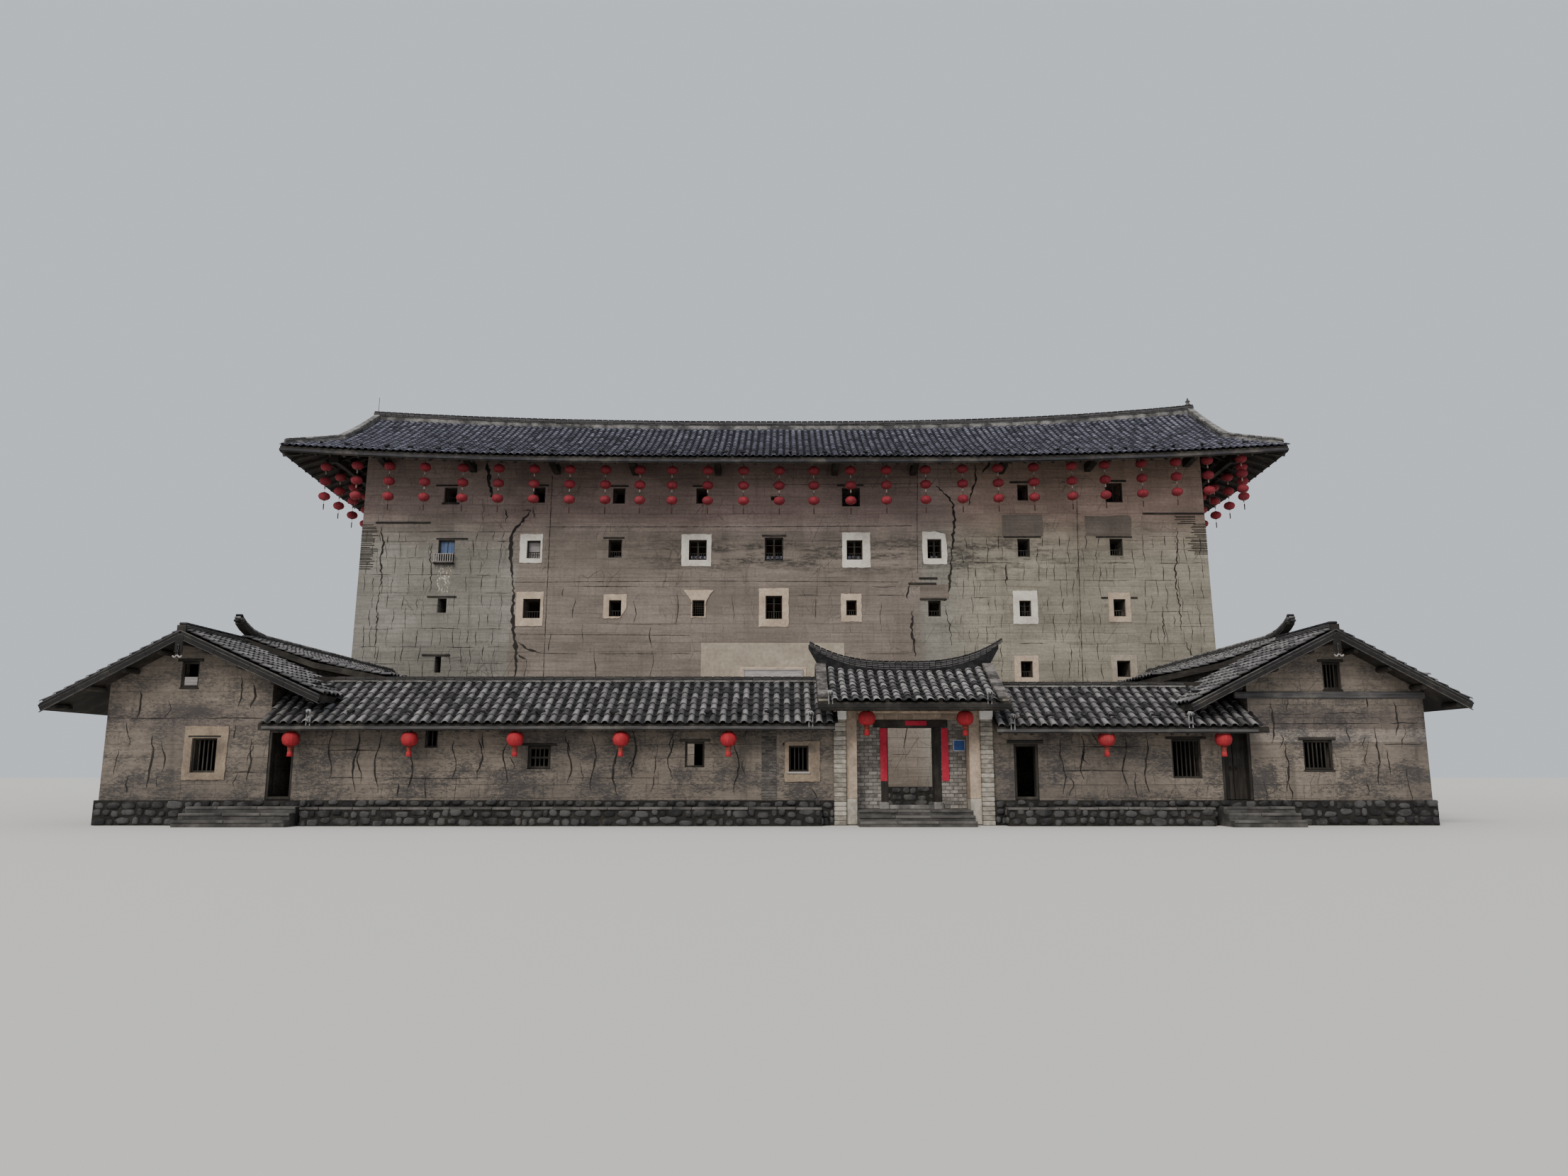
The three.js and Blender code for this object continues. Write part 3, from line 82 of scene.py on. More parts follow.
class Shape:
    # Collects points and faces in real metres, with a tone colour for each point:
    # red is a random shade, green a mark for pale rims and for painted highlights on tile crowns.
    def __init__(self, seed=1, place=None):
        self.place = place
        self.points = []
        self.tones = []
        self.loops = []
        self.sizes = []
        self.slots = []
        self.smooths = []
        self.count = 0
        self.random = random.Random(seed)

    def add(self, points, faces, tone=None, mark=0.0, slot=0, smooth=False):
        points = np.asarray(points, float).reshape(-1, 3)
        if self.place:
            points = self.place(*points.T)
        total = len(points)
        shade = self.random.random() if tone is None else tone
        self.points.append(points)
        self.tones.append(np.tile([shade, mark, 0.5, 1.0], (total, 1)))
        if isinstance(faces, np.ndarray):
            self.loops.append(faces.ravel() + self.count)
            sizes = np.full(len(faces), faces.shape[1])
        else:
            self.loops.append(np.array([i for face in faces for i in face]) + self.count)
            sizes = np.array([len(face) for face in faces])
        self.sizes.append(sizes)
        self.slots.append(np.full(len(sizes), slot))
        self.smooths.append(np.full(len(sizes), smooth))
        self.count += total

    def box(self, x0, x1, y0, y1, z0, z1, **look):
        x0, x1 = min(x0, x1), max(x0, x1)
        y0, y1 = min(y0, y1), max(y0, y1)
        corners = [(x, y, z) for z in (z0, z1) for y in (y0, y1) for x in (x0, x1)]
        self.add(corners, boxFaces, **look)

    # A box with its edges cut off by the amount given.
    def chamfered(self, x0, x1, y0, y1, z0, z1, cut=0.01, **look):
        x0, x1 = min(x0, x1), max(x0, x1)
        y0, y1 = min(y0, y1), max(y0, y1)
        middle = np.array([(x0 + x1) / 2, (y0 + y1) / 2, (z0 + z1) / 2])
        half = np.array([(x1 - x0) / 2, (y1 - y0) / 2, (z1 - z0) / 2])
        self.add(middle + chamferPoints(half, min(cut, half.min() * 0.8)), chamferFaces, **look)

    # A chamfered bar from one point to another, with its width level and its height upwards.
    def bar(self, start, end, width, height, cut=0.008, **look):
        start, end = np.array(start, float), np.array(end, float)
        ahead = end - start
        length = np.linalg.norm(ahead)
        ahead = ahead / length
        across = np.cross(ahead, [0, 0, 1.0])
        if np.linalg.norm(across) < 1e-6:
            across = np.array([1.0, 0, 0])
        across = across / np.linalg.norm(across)
        up = np.cross(across, ahead)
        local = chamferPoints(np.array([length / 2, width / 2, height / 2]), cut)
        turned = (start + end) / 2 + local @ np.array([ahead, across, up])
        self.add(turned, chamferFaces, **look)

    # A turned piece: the profile is a list of (radius, height) pairs from top to bottom.
    def turned(self, profile, centre, sides=16, **look):
        angles = np.arange(sides) * 2 * math.pi / sides
        rings = [np.column_stack([r * np.cos(angles), r * np.sin(angles), np.full(sides, z)])
                 for r, z in profile]
        points = np.concatenate(rings) + np.array(centre, float)
        self.add(points, ringFaces(len(profile), sides), smooth=True, **look)

    # Adds many copies of one face pattern at once: points is (items, points, 3).
    def addMany(self, points, faces, shades, marks, smoothCount):
        items, each = points.shape[:2]
        if items == 0:
            return
        tones = np.ones((items, each, 4))
        tones[..., 0] = np.asarray(shades)[:, None]
        tones[..., 1] = marks
        tones[..., 2] = 0.5
        index = (np.arange(items) * each)[:, None, None] + faces[None] + self.count
        self.points.append(points.reshape(-1, 3))
        self.tones.append(tones.reshape(-1, 4))
        self.loops.append(index.ravel())
        self.sizes.append(np.full(items * len(faces), faces.shape[1]))
        self.slots.append(np.zeros(items * len(faces), int))
        self.smooths.append(np.tile(np.arange(len(faces)) < smoothCount, items))
        self.count += items * each

    def build(self, name, materials, body="house", replaced=()):
        mesh = bpy.data.meshes.new(name)
        points = np.concatenate(self.points) * modelScale
        loops = np.concatenate(self.loops)
        sizes = np.concatenate(self.sizes)
        mesh.vertices.add(len(points))
        mesh.vertices.foreach_set("co", points.astype(np.float32).ravel())
        mesh.loops.add(len(loops))
        mesh.loops.foreach_set("vertex_index", loops.astype(np.int32))
        mesh.polygons.add(len(sizes))
        starts = np.concatenate([[0], np.cumsum(sizes)[:-1]])
        mesh.polygons.foreach_set("loop_start", starts.astype(np.int32))
        mesh.update(calc_edges=True)
        mesh.validate()
        mesh.polygons.foreach_set("material_index", np.concatenate(self.slots).astype(np.int32))
        mesh.polygons.foreach_set("use_smooth", np.concatenate(self.smooths))
        tones = mesh.color_attributes.new("tone", "FLOAT_COLOR", "POINT")
        tones.data.foreach_set("color", np.concatenate(self.tones).astype(np.float32).ravel())
        for material in materials:
            mesh.materials.append(material)
        piece = bpy.data.objects.new(name, mesh)
        bpy.context.scene.collection.objects.link(piece)
        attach(piece, body)
        if replaced:
            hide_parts(*replaced)
        print("stage:", name, int((sizes - 2).sum()), "triangles")


boxFaces = [(0, 2, 3, 1), (4, 5, 7, 6), (0, 1, 5, 4), (2, 6, 7, 3), (0, 4, 6, 2), (1, 3, 7, 5)]


def chamferPoints(half, cut):
    corners = []
    for sz in (-1, 1):
        for sy in (-1, 1):
            for sx in (-1, 1):
                sign = np.array([sx, sy, sz])
                for axis in range(3):
                    inset = np.full(3, cut)
                    inset[axis] = 0
                    corners.append(sign * (half - inset))
    return np.array(corners)


# The faces of the chamfered box come from the corner order in chamferPoints, found once.
def findChamferFaces():
    cut = 0.2
    edgeSum = 2 - cut
    points = chamferPoints(np.ones(3), cut)
    faces = []
    for axis in range(3):
        for sign in (-1, 1):
            faces.append([i for i, p in enumerate(points) if abs(p[axis] - sign) < 1e-6])
    for a in range(3):
        for b in range(a + 1, 3):
            for sa in (-1, 1):
                for sb in (-1, 1):
                    faces.append([i for i, p in enumerate(points)
                                  if abs(sa * p[a] + sb * p[b] - edgeSum) < 1e-6])
    for corner in range(8):
        faces.append([corner * 3 + k for k in range(3)])
    ordered = []
    for face in faces:
        ring = points[face]
        middle = ring.mean(0)
        outward = middle / np.linalg.norm(middle)
        side = ring[0] - middle
        side = side / np.linalg.norm(side)
        other = np.cross(outward, side)
        angles = [math.atan2((p - middle) @ other, (p - middle) @ side) for p in ring]
        ordered.append([face[i] for i in np.argsort(angles)])
    return ordered


chamferFaces = findChamferFaces()


class Graph:
    def __init__(self, tree):
        self.tree = tree

    def make(self, kind, inputs=None, **settings):
        made = self.tree.nodes.new(kind)
        for name, value in settings.items():
            setattr(made, name, value)
        for name, value in (inputs or {}).items():
            self.feed(made.inputs[name], value)
        return made

    def feed(self, socket, value):
        if isinstance(value, bpy.types.NodeSocket):
            self.tree.links.new(value, socket)
        elif hasattr(socket.default_value, "__len__") and not hasattr(value, "__len__"):
            socket.default_value = [value] * len(socket.default_value)
        elif hasattr(value, "__len__") and len(socket.default_value) == 4 and len(value) == 3:
            socket.default_value = (*value, 1.0)
        else:
            socket.default_value = value

    def math(self, operation, a, b=0.0, clamp=False):
        return self.make("ShaderNodeMath", {0: a, 1: b}, operation=operation, use_clamp=clamp).outputs[0]

    def plus(self, a, b):
        return self.math("ADD", a, b)

    def times(self, first, *others):
        for other in others:
            first = self.math("MULTIPLY", first, other)
        return first

    # A noise value turned into a swing of the given reach about nought.
    def swing(self, value, reach):
        return self.times(self.math("SUBTRACT", value, 0.5), reach)

    def vector(self, operation, a, b):
        return self.make("ShaderNodeVectorMath", {0: a, 1: b}, operation=operation).outputs[0]

    def split(self, vector):
        return self.make("ShaderNodeSeparateXYZ", {0: vector}).outputs

    def join(self, x, y, z=0.0):
        return self.make("ShaderNodeCombineXYZ", {0: x, 1: y, 2: z}).outputs[0]

    def mix(self, factor, a, b, blend="MIX"):
        made = self.make("ShaderNodeMix", data_type="RGBA", blend_type=blend, clamp_factor=True)
        for socket, value in ((0, factor), (6, a), (7, b)):
            self.feed(made.inputs[socket], value)
        return made.outputs[2]

    # Multiplies a colour by a shade where the mask says so.
    def tint(self, mask, colour, shade, amount=1.0):
        return self.mix(mask, colour, self.mix(amount, colour, shade, "MULTIPLY"))

    # Darkens and lightens a colour by a value, as far as the spread from middle grey.
    def speckle(self, amount, colour, value, spread):
        greys = [(0.5 + way * spread,) * 3 for way in (-1, 1)]
        return self.mix(amount, colour, self.mix(value, *greys), "OVERLAY")

    def span(self, value, fromLow, fromHigh, toLow=0.0, toHigh=1.0):
        return self.make("ShaderNodeMapRange", {0: value, 1: fromLow, 2: fromHigh, 3: toLow, 4: toHigh},
                         interpolation_type="SMOOTHSTEP").outputs[0]

    # One between the two inner places, fading to nought at the outer ones.
    def band(self, value, start, full, keeps, end, after=0.0):
        return self.times(self.span(value, start, full), self.span(value, keeps, end, 1.0, after))

    def noise(self, vector, scale=1.0, detail=4.0, roughness=0.55):
        inputs = {"Vector": vector, "Scale": scale, "Detail": detail, "Roughness": roughness}
        return self.make("ShaderNodeTexNoise", inputs).outputs["Fac"]

    # Places in real metres, so that textures keep their size on every piece.
    def place(self):
        local = self.make("ShaderNodeTexCoord").outputs["Object"]
        return self.vector("MULTIPLY", local, (1 / modelScale,) * 3)

    def tone(self):
        colour = self.make("ShaderNodeAttribute", attribute_name="tone").outputs["Color"]
        return self.make("ShaderNodeSeparateColor", {0: colour}).outputs


# A group with a colour, a height and a roughness as its outputs.
def newGroup(name, colours, values):
    tree = bpy.data.node_groups.new(name, "ShaderNodeTree")
    kinds = {"colour": "NodeSocketColor", "value": "NodeSocketFloat"}
    for label, default in colours.items():
        socket = tree.interface.new_socket(label, in_out="INPUT", socket_type=kinds["colour"])
        socket.default_value = (*default, 1.0)
    for label, default in values.items():
        socket = tree.interface.new_socket(label, in_out="INPUT", socket_type=kinds["value"])
        socket.default_value = default
    for label, kind in (("Color", "colour"), ("Height", "value"), ("Roughness", "value")):
        tree.interface.new_socket(label, in_out="OUTPUT", socket_type=kinds[kind])
    graph = Graph(tree)
    return graph, graph.make("NodeGroupInput").outputs, graph.make("NodeGroupOutput").inputs


# Rammed earth: lifts and blocks between shrinkage cracks, thin beds, blotches, streaks and pits.
def makeRammedGroup():
    colours = {"Light": (0.3, 0.27, 0.2), "Dark": (0.15, 0.13, 0.09), "Streak": (0.05, 0.045, 0.04)}
    values = {"Lift": 0.36, "Block": 1.5, "Lines": 0.5, "Cracks": 0.5, "Streaks": 0.4, "Seed": 0.0}
    graph, given, out = newGroup("rammedEarth", colours, values)
    lineColour, crackColour = (0.03, 0.026, 0.02), (0.02, 0.017, 0.014)
    x, y, z = graph.split(graph.place())
    u = graph.plus(graph.plus(x, y), given["Seed"])

    def stretched(across, rising, offset):
        return graph.join(graph.times(u, across), graph.times(z, rising), offset)

    wobble = graph.swing(graph.noise(graph.join(u, z), 0.7), 0.5)
    rowPlace = graph.join(graph.plus(u, wobble), graph.plus(z, graph.times(wobble, 0.22)))
    rows = graph.make("ShaderNodeTexBrick", {
        "Vector": rowPlace, "Color1": (0, 0, 0), "Color2": (1, 1, 1), "Mortar": (0.5, 0.5, 0.5), "Scale": 1.0,
        "Mortar Size": 0.012, "Mortar Smooth": 0.5, "Brick Width": given["Block"],
        "Row Height": given["Lift"]}, offset=0.37, squash_frequency=3)
    blockTint = graph.make("ShaderNodeSeparateColor", {0: rows.outputs["Color"]}).outputs[0]
    patchy = graph.span(graph.noise(stretched(0.35, 0.6, 7.0)), 0.4, 0.62)
    lines = graph.times(rows.outputs["Fac"], given["Lines"], graph.span(patchy, 0.0, 1.0, 0.35, 1.0))
    beds = graph.noise(stretched(0.55, 11.0, 3.0), 1.0, 5.0)
    blotch = graph.noise(stretched(0.3, 0.42, 11.0), 1.0, 6.0, 0.6)
    pits = graph.noise(graph.join(u, z, 5.0), 9.0, 5.0, 0.65)
    crackPlace = graph.join(graph.plus(graph.times(u, 0.75), graph.times(wobble, 1.4)),
                            graph.plus(graph.times(z, 0.3), wobble), 2.0)
    cells = graph.make("ShaderNodeTexVoronoi", {"Vector": crackPlace, "Scale": 1.7},
                       feature="DISTANCE_TO_EDGE")
    cracks = graph.times(graph.span(cells.outputs["Distance"], 0.0, 0.014, 1.0, 0.0),
                         graph.times(patchy, given["Cracks"]))
    runs = graph.noise(stretched(2.2, 0.16, 9.0), 1.0, 5.0, 0.6)
    runMask = graph.times(graph.span(runs, 0.5, 0.75), given["Streaks"])
    colour = graph.mix(graph.span(blotch, 0.3, 0.7), given["Light"], given["Dark"])
    colour = graph.speckle(0.3, colour, blockTint, 0.15)
    colour = graph.speckle(0.55, colour, graph.span(beds, 0.3, 0.7), 0.1)
    colour = graph.speckle(0.45, colour, graph.span(pits, 0.3, 0.7), 0.14)
    colour = graph.mix(runMask, colour, given["Streak"])
    colour = graph.mix(lines, colour, lineColour)
    colour = graph.mix(cracks, colour, crackColour)
    height = graph.plus(graph.times(beds, 0.5), graph.times(pits, 0.5))
    height = graph.math("SUBTRACT", height, graph.plus(graph.times(lines, 0.9), cracks))
    graph.feed(out["Color"], colour)
    graph.feed(out["Height"], height)
    graph.feed(out["Roughness"], graph.span(pits, 0.2, 0.8, 0.85, 1.0))
    return graph.tree


# Timber and cloth grain. It runs along the axis whose Along value is far below one.
def makeGrainGroup():
    colours = {"Light": (0.1, 0.07, 0.045), "Dark": (0.03, 0.02, 0.014)}
    values = {"Along X": 1.0, "Along Y": 1.0, "Along Z": 0.08, "Dust": 0.2}
    graph, given, out = newGroup("timberGrain", colours, values)
    pieceShades = (0.36, 0.35, 0.34), (0.64, 0.64, 0.63)
    dustColour = (0.3, 0.27, 0.22)
    place = graph.place()
    along = graph.join(given["Along X"], given["Along Y"], given["Along Z"])
    tone = graph.tone()
    shift = graph.join(graph.times(tone[0], 17.0), 0.0)
    shifted = graph.vector("ADD", graph.vector("MULTIPLY", place, along), shift)
    fibre = graph.noise(shifted, 22.0, 5.0, 0.6)
    wide = graph.noise(shifted, 5.0, 3.0)
    colour = graph.mix(graph.span(fibre, 0.3, 0.72), given["Dark"], given["Light"])
    colour = graph.mix(0.5, colour, graph.mix(tone[0], *pieceShades), "OVERLAY")
    dust = graph.times(graph.span(graph.noise(place, 1.4, 6.0, 0.65), 0.45, 0.75), given["Dust"])
    graph.feed(out["Color"], graph.mix(dust, colour, dustColour))
    graph.feed(out["Height"], graph.plus(graph.times(fibre, 0.6), graph.times(wide, 0.5)))
    graph.feed(out["Roughness"], graph.span(fibre, 0.2, 0.8, 0.7, 0.92))
    return graph.tree


# Mineral surface for stone, brick, tile and lime: shade by piece, blotches, flecks and lichen, and a rim
# colour by the green mark, a real pale edge on some pieces and a painted highlight on tile crowns.
def makeMineralGroup():
    colours = {"Light": (0.3, 0.3, 0.28), "Dark": (0.08, 0.08, 0.08), "Rim And Highlight": (0.4, 0.4, 0.38),
               "Growth Color": (0.3, 0.3, 0.26)}
    values = {"Rim And Highlight Amount": 0.7, "Piece Contrast": 0.6, "Scale": 3.0, "Growth": 0.2}
    graph, given, out = newGroup("mineral", colours, values)
    place = graph.place()
    tone = graph.tone()
    shifted = graph.vector("ADD", place, graph.join(graph.times(tone[0], 31.0), 0.0))
    scaled = graph.vector("MULTIPLY", shifted, graph.join(given["Scale"], given["Scale"], given["Scale"]))
    coarse = graph.noise(scaled, 1.0, 6.0, 0.6)
    fine = graph.noise(scaled, 7.0, 4.0, 0.7)
    pieceShade = graph.swing(tone[0], given["Piece Contrast"])
    blend = graph.math("ADD", graph.span(coarse, 0.28, 0.72), pieceShade, clamp=True)
    colour = graph.mix(blend, given["Dark"], given["Light"])
    colour = graph.speckle(0.5, colour, graph.span(fine, 0.3, 0.7), 0.16)
    growth = graph.times(graph.span(graph.noise(place, 2.3, 7.0, 0.7), 0.5, 0.68), given["Growth"])
    colour = graph.mix(growth, colour, given["Growth Color"])
    # Where the green mark is set the rim colour is blended in: a real pale edge on some pieces, a painted
    # highlight on tile crowns.
    rimAndHighlight = graph.times(tone[1], given["Rim And Highlight Amount"], graph.span(coarse, 0.2, 0.6, 0.35, 1.0))
    graph.feed(out["Color"], graph.mix(rimAndHighlight, colour, given["Rim And Highlight"]))
    graph.feed(out["Height"], graph.plus(graph.times(coarse, 0.6), graph.times(fine, 0.4)))
    graph.feed(out["Roughness"], graph.span(fine, 0.2, 0.8, 0.78, 0.98))
    return graph.tree


rammedGroup = makeRammedGroup()
grainGroup = makeGrainGroup()
mineralGroup = makeMineralGroup()


# A material from one of the groups: its values go to the group, bump is the relief in model metres.
def makeMaterial(name, group, values, bump=0.003, metallic=0.0, specular=0.3, change=None):
    material = bpy.data.materials.new(name)
    material.use_nodes = True
    graph = Graph(material.node_tree)
    shader = material.node_tree.nodes["Principled BSDF"]
    finish = graph.make("ShaderNodeGroup", values, node_tree=group)
    colour = finish.outputs["Color"]
    if change:
        colour = change(graph, colour)
    graph.feed(shader.inputs["Base Color"], colour)
    graph.feed(shader.inputs["Roughness"], finish.outputs["Roughness"])
    relief = graph.make("ShaderNodeBump", {"Height": finish.outputs["Height"], "Distance": bump,
                                           "Strength": 0.8})
    graph.feed(shader.inputs["Normal"], relief.outputs["Normal"])
    shader.inputs["Metallic"].default_value = metallic
    shader.inputs["Specular IOR Level"].default_value = specular
    return material


# The front wall by zones: a browner middle, a warmer right part and top, a darker redder band under the
# eaves that is painted shade, a pale strip over the fourth storey's windows that is painted light where
# the eave's shadow ends, a worn belt along them and a damp darker foot.
def facadeZones(graph, colour):
    brownShade, paintedEaveShade, wholeShade = (0.89, 0.79, 0.77), (0.98, 0.86, 0.88), (1.09, 1.08, 1.12)
    rightShade, tanShade, paintedLightStrip = (1.13, 1.08, 0.99), (1.12, 1.0, 0.98), (1.4, 1.38, 1.42)
    wornColour, footShade = (0.06, 0.053, 0.046), (0.6, 0.56, 0.5)
    x, y, z = graph.split(graph.place())
    ragged = graph.times(graph.noise(graph.join(x, y, z), 0.35, 5.0), 1.2)
    raggedZ = graph.plus(z, ragged)
    brown = graph.times(graph.band(graph.plus(x, ragged), -11.2, -10.7, 6.0, 6.9),
                        graph.span(y, -0.1, 0.4, 1.0, 0.0))
    colour = graph.tint(brown, colour, brownShade)
    # Painted shade: the band under the eaves is darkened and reddened as the wall looks in the eave's shadow.
    colour = graph.tint(graph.span(raggedZ, 12.1, 13.1, 0.0, 0.85), colour, paintedEaveShade, 0.9)
    colour = graph.mix(1.0, colour, wholeShade, "MULTIPLY")
    colour = graph.tint(graph.span(x, 6.0, 9.0), colour, rightShade)
    tan = graph.times(graph.span(raggedZ, 11.0, 12.8), graph.span(brown, 0.0, 1.0, 1.0, 0.2))
    colour = graph.tint(tan, colour, tanShade)
    # Painted light: a paler strip below the eave's shadow, fainter towards the left and lower in the browner
    # middle.
    stripFoot = graph.plus(z, graph.times(brown, 0.7))
    upper = graph.times(graph.span(stripFoot, 11.8, 12.6), graph.span(z, 13.3, 14.1, 1.0, 0.0),
                        graph.span(x, -12.0, -2.0, 0.35, 1.0))
    colour = graph.tint(upper, colour, paintedLightStrip)
    rough = graph.noise(graph.join(graph.times(x, 0.45), graph.times(z, 2.4)), 1.0, 6.0, 0.68)
    grit = graph.noise(graph.join(graph.times(x, 4.0), y, graph.times(z, 13.0)), 1.0, 4.0, 0.7)
    belt = graph.times(graph.band(z, 9.4, 10.3, 10.9, 11.7), graph.band(x, -9.0, -3.0, 8.5, 14.0, 0.2))
    wearAndHighlight = graph.times(graph.span(rough, 0.42, 0.56), graph.span(grit, 0.38, 0.6, 0.25, 1.0),
                       graph.plus(graph.times(belt, 0.85), 0.12))
    colour = graph.mix(wearAndHighlight, colour, wornColour)
    return graph.tint(graph.span(raggedZ, 1.2, 3.6, 0.5, 0.0), colour, footShade, 0.8)


# Dark crusts where the low walls' skin has worn off, more of them near the ground. The wings have a dark
# band over their windows, and the right one a pale band under it.
def lowZones(graph, colour):
    crustColour, wholeShade = (0.044, 0.04, 0.039), (1.02, 1.05, 1.09)
    darkShade, paleShade = (0.8, 0.79, 0.83), (1.5, 1.53, 1.58)
    x, y, z = graph.split(graph.place())
    patchy = graph.noise(graph.join(x, y, graph.times(z, 1.6)), 0.75, 6.0, 0.62)
    broken = graph.noise(graph.join(x, y, graph.times(z, 2.6)), 11.0, 6.0, 0.8)
    wearAndHighlight = graph.plus(patchy, graph.swing(broken, 1.15))
    crust = graph.times(graph.span(wearAndHighlight, 0.42, 0.66), graph.span(z, 0.8, 4.5, 0.9, 0.72))
    colour = graph.mix(crust, colour, crustColour)
    colour = graph.mix(1.0, colour, wholeShade, "MULTIPLY")
    uneven = graph.plus(z, graph.swing(broken, 0.3))
    wings = graph.plus(graph.span(x, -14.3, -14.0, 1.0, 0.0), graph.span(x, 12.6, 12.9))
    colour = graph.tint(graph.times(wings, graph.band(uneven, 2.5, 2.62, 2.95, 3.3)), colour, darkShade)
    pale = graph.times(graph.span(x, 12.6, 13.0), graph.band(z, 2.22, 2.25, 2.55, 2.6))
    return graph.tint(pale, colour, paleShade)


def makeEarth(name, light, dark, streak, values, **surface):
    colours = {"Light": light, "Dark": dark, "Streak": streak}
    return makeMaterial(name, rammedGroup, {**colours, **values}, **surface)


# Timber, paint or cloth whose grain runs along one axis: fine is how far it is drawn out.
def makeGrained(name, light, dark, along, fine, dust, **surface):
    stretch = {"Along " + axis: fine if axis == along else 1.0 for axis in "XYZ"}
    return makeMaterial(name, grainGroup, {"Light": light, "Dark": dark, "Dust": dust, **stretch}, **surface)


# Contrast is between pieces, scale that of the blotches. Growth and rim are pairs of colour and amount;
# the rim colour is a real pale edge on some pieces and a painted highlight on tile crowns.
def makeMineral(name, light, dark, growth, contrast, scale, rimAndHighlight=(None, 0.0), **surface):
    values = {"Light": light, "Dark": dark, "Growth Color": growth[0], "Growth": growth[1],
              "Piece Contrast": contrast, "Scale": scale, "Rim And Highlight Amount": rimAndHighlight[1]}
    if rimAndHighlight[0]:
        values["Rim And Highlight"] = rimAndHighlight[0]
    return makeMaterial(name, mineralGroup, values, **surface)


earthWall = makeEarth("rammed earth, grey", (0.245, 0.232, 0.195), (0.165, 0.157, 0.13), (0.1, 0.088, 0.072),
                      {"Lift": 0.4, "Block": 1.35, "Lines": 0.4, "Cracks": 0.45, "Streaks": 0.35},
                      bump=0.012, change=facadeZones)
earthLow = makeEarth(
    "rammed earth, ochre", (0.215, 0.172, 0.132), (0.12, 0.098, 0.08), (0.05, 0.043, 0.037),
    {"Lift": 0.36, "Block": 0.9, "Lines": 0.45, "Cracks": 0.4, "Streaks": 0.5, "Seed": 40.0}, bump=0.012,
    change=lowZones)
earthPatch = makeEarth(
    "rammed earth, patched", (0.2, 0.165, 0.138), (0.135, 0.11, 0.092), (0.09, 0.075, 0.06),
    {"Lift": 0.5, "Block": 2.2, "Lines": 0.25, "Cracks": 0.2, "Streaks": 0.3, "Seed": 15.0}, bump=0.008)

timberShades = (0.038, 0.032, 0.027), (0.012, 0.0105, 0.009)
timberUp = makeGrained("dark timber, upright", *timberShades, "Z", 0.06, 0.15)
timberAcross = makeGrained("dark timber, along the front", *timberShades, "X", 0.06, 0.15)
timberDeep = makeGrained("dark timber, front to back", *timberShades, "Y", 0.06, 0.15)
floorBoards = makeGrained("floor boards", (0.24, 0.17, 0.11), (0.1, 0.065, 0.04), "X", 0.08, 0.35)
greyBoard = makeGrained("weathered grey board", (0.085, 0.081, 0.082), (0.032, 0.031, 0.032), "X", 0.06, 0.3)
eaveBoard = makeGrained("dark eave board", (0.05, 0.047, 0.052), (0.018, 0.017, 0.02), "X", 0.06, 0.25)
# A near-black board for the gate's eaves and the wings' verges.
vergeBoard = makeGrained("near-black board", (0.017, 0.0155, 0.015), (0.006, 0.0055, 0.0055), "X", 0.08, 0.08)
paleBoard = makeGrained("pale grey board", (0.4, 0.37, 0.36), (0.24, 0.22, 0.215), "X", 0.1, 0.2, bump=0.002)
bluePaint = makeGrained("faded blue paint", (0.12, 0.2, 0.38), (0.05, 0.09, 0.2), "Z", 0.1, 0.3, bump=0.002)

clothLook = {"along": "Z", "fine": 0.15, "dust": 0.08, "bump": 0.002, "specular": 0.4}
lanternRed = makeGrained("red lantern cloth", (0.44, 0.022, 0.032), (0.25, 0.011, 0.017), **clothLook)
# The cloth of the high strings is darker and purpler than that of the low lanterns.
lanternDarker = makeGrained("darker red lantern cloth", (0.33, 0.034, 0.05), (0.17, 0.014, 0.023), **clothLook)
lanternPale = makeGrained("pale lantern band", (0.42, 0.35, 0.31), (0.26, 0.2, 0.18), **clothLook)
tasselDark = makeGrained("dark tassel", (0.07, 0.02, 0.02), (0.02, 0.01, 0.01), **clothLook)
lanternCap = makeGrained("lantern cap", (0.3, 0.05, 0.03), (0.12, 0.02, 0.02), **clothLook)

# The rim colours of these two tiles are painted highlights, mostly on the covers' crowns.
roofTile = makeMineral("charcoal tile", (0.034, 0.032, 0.034), (0.006, 0.0057, 0.0065),
                       ((0.09, 0.084, 0.08), 0.25), 0.85, 3.0, ((0.32, 0.305, 0.3), 1.0))
coolTile = makeMineral("blue grey tile", (0.033, 0.032, 0.045), (0.0056, 0.0055, 0.0098),
                       ((0.082, 0.083, 0.1), 0.25), 0.85, 3.0, ((0.3, 0.3, 0.38), 1.0))
ridgeLime = makeMineral("weathered lime", (0.33, 0.315, 0.295), (0.06, 0.057, 0.055),
                        ((0.035, 0.034, 0.034), 0.5), 0.5, 2.0, ((0.45, 0.43, 0.4), 0.6), bump=0.005)
rubbleStone = makeMineral("river rubble", (0.07, 0.067, 0.066), (0.014, 0.0135, 0.014),
                          ((0.12, 0.113, 0.1), 0.25), 1.0, 3.5, bump=0.006)
mortarBed = makeMineral("earth between stones", (0.026, 0.024, 0.021), (0.009, 0.008, 0.007),
                        ((0.09, 0.08, 0.06), 0.2), 0.3, 4.0, bump=0.006)
dressedStone = makeMineral("dressed stone", (0.125, 0.118, 0.11), (0.04, 0.038, 0.036),
                           ((0.07, 0.068, 0.06), 0.3), 0.5, 1.6, ((0.2, 0.19, 0.18), 0.5), bump=0.004)
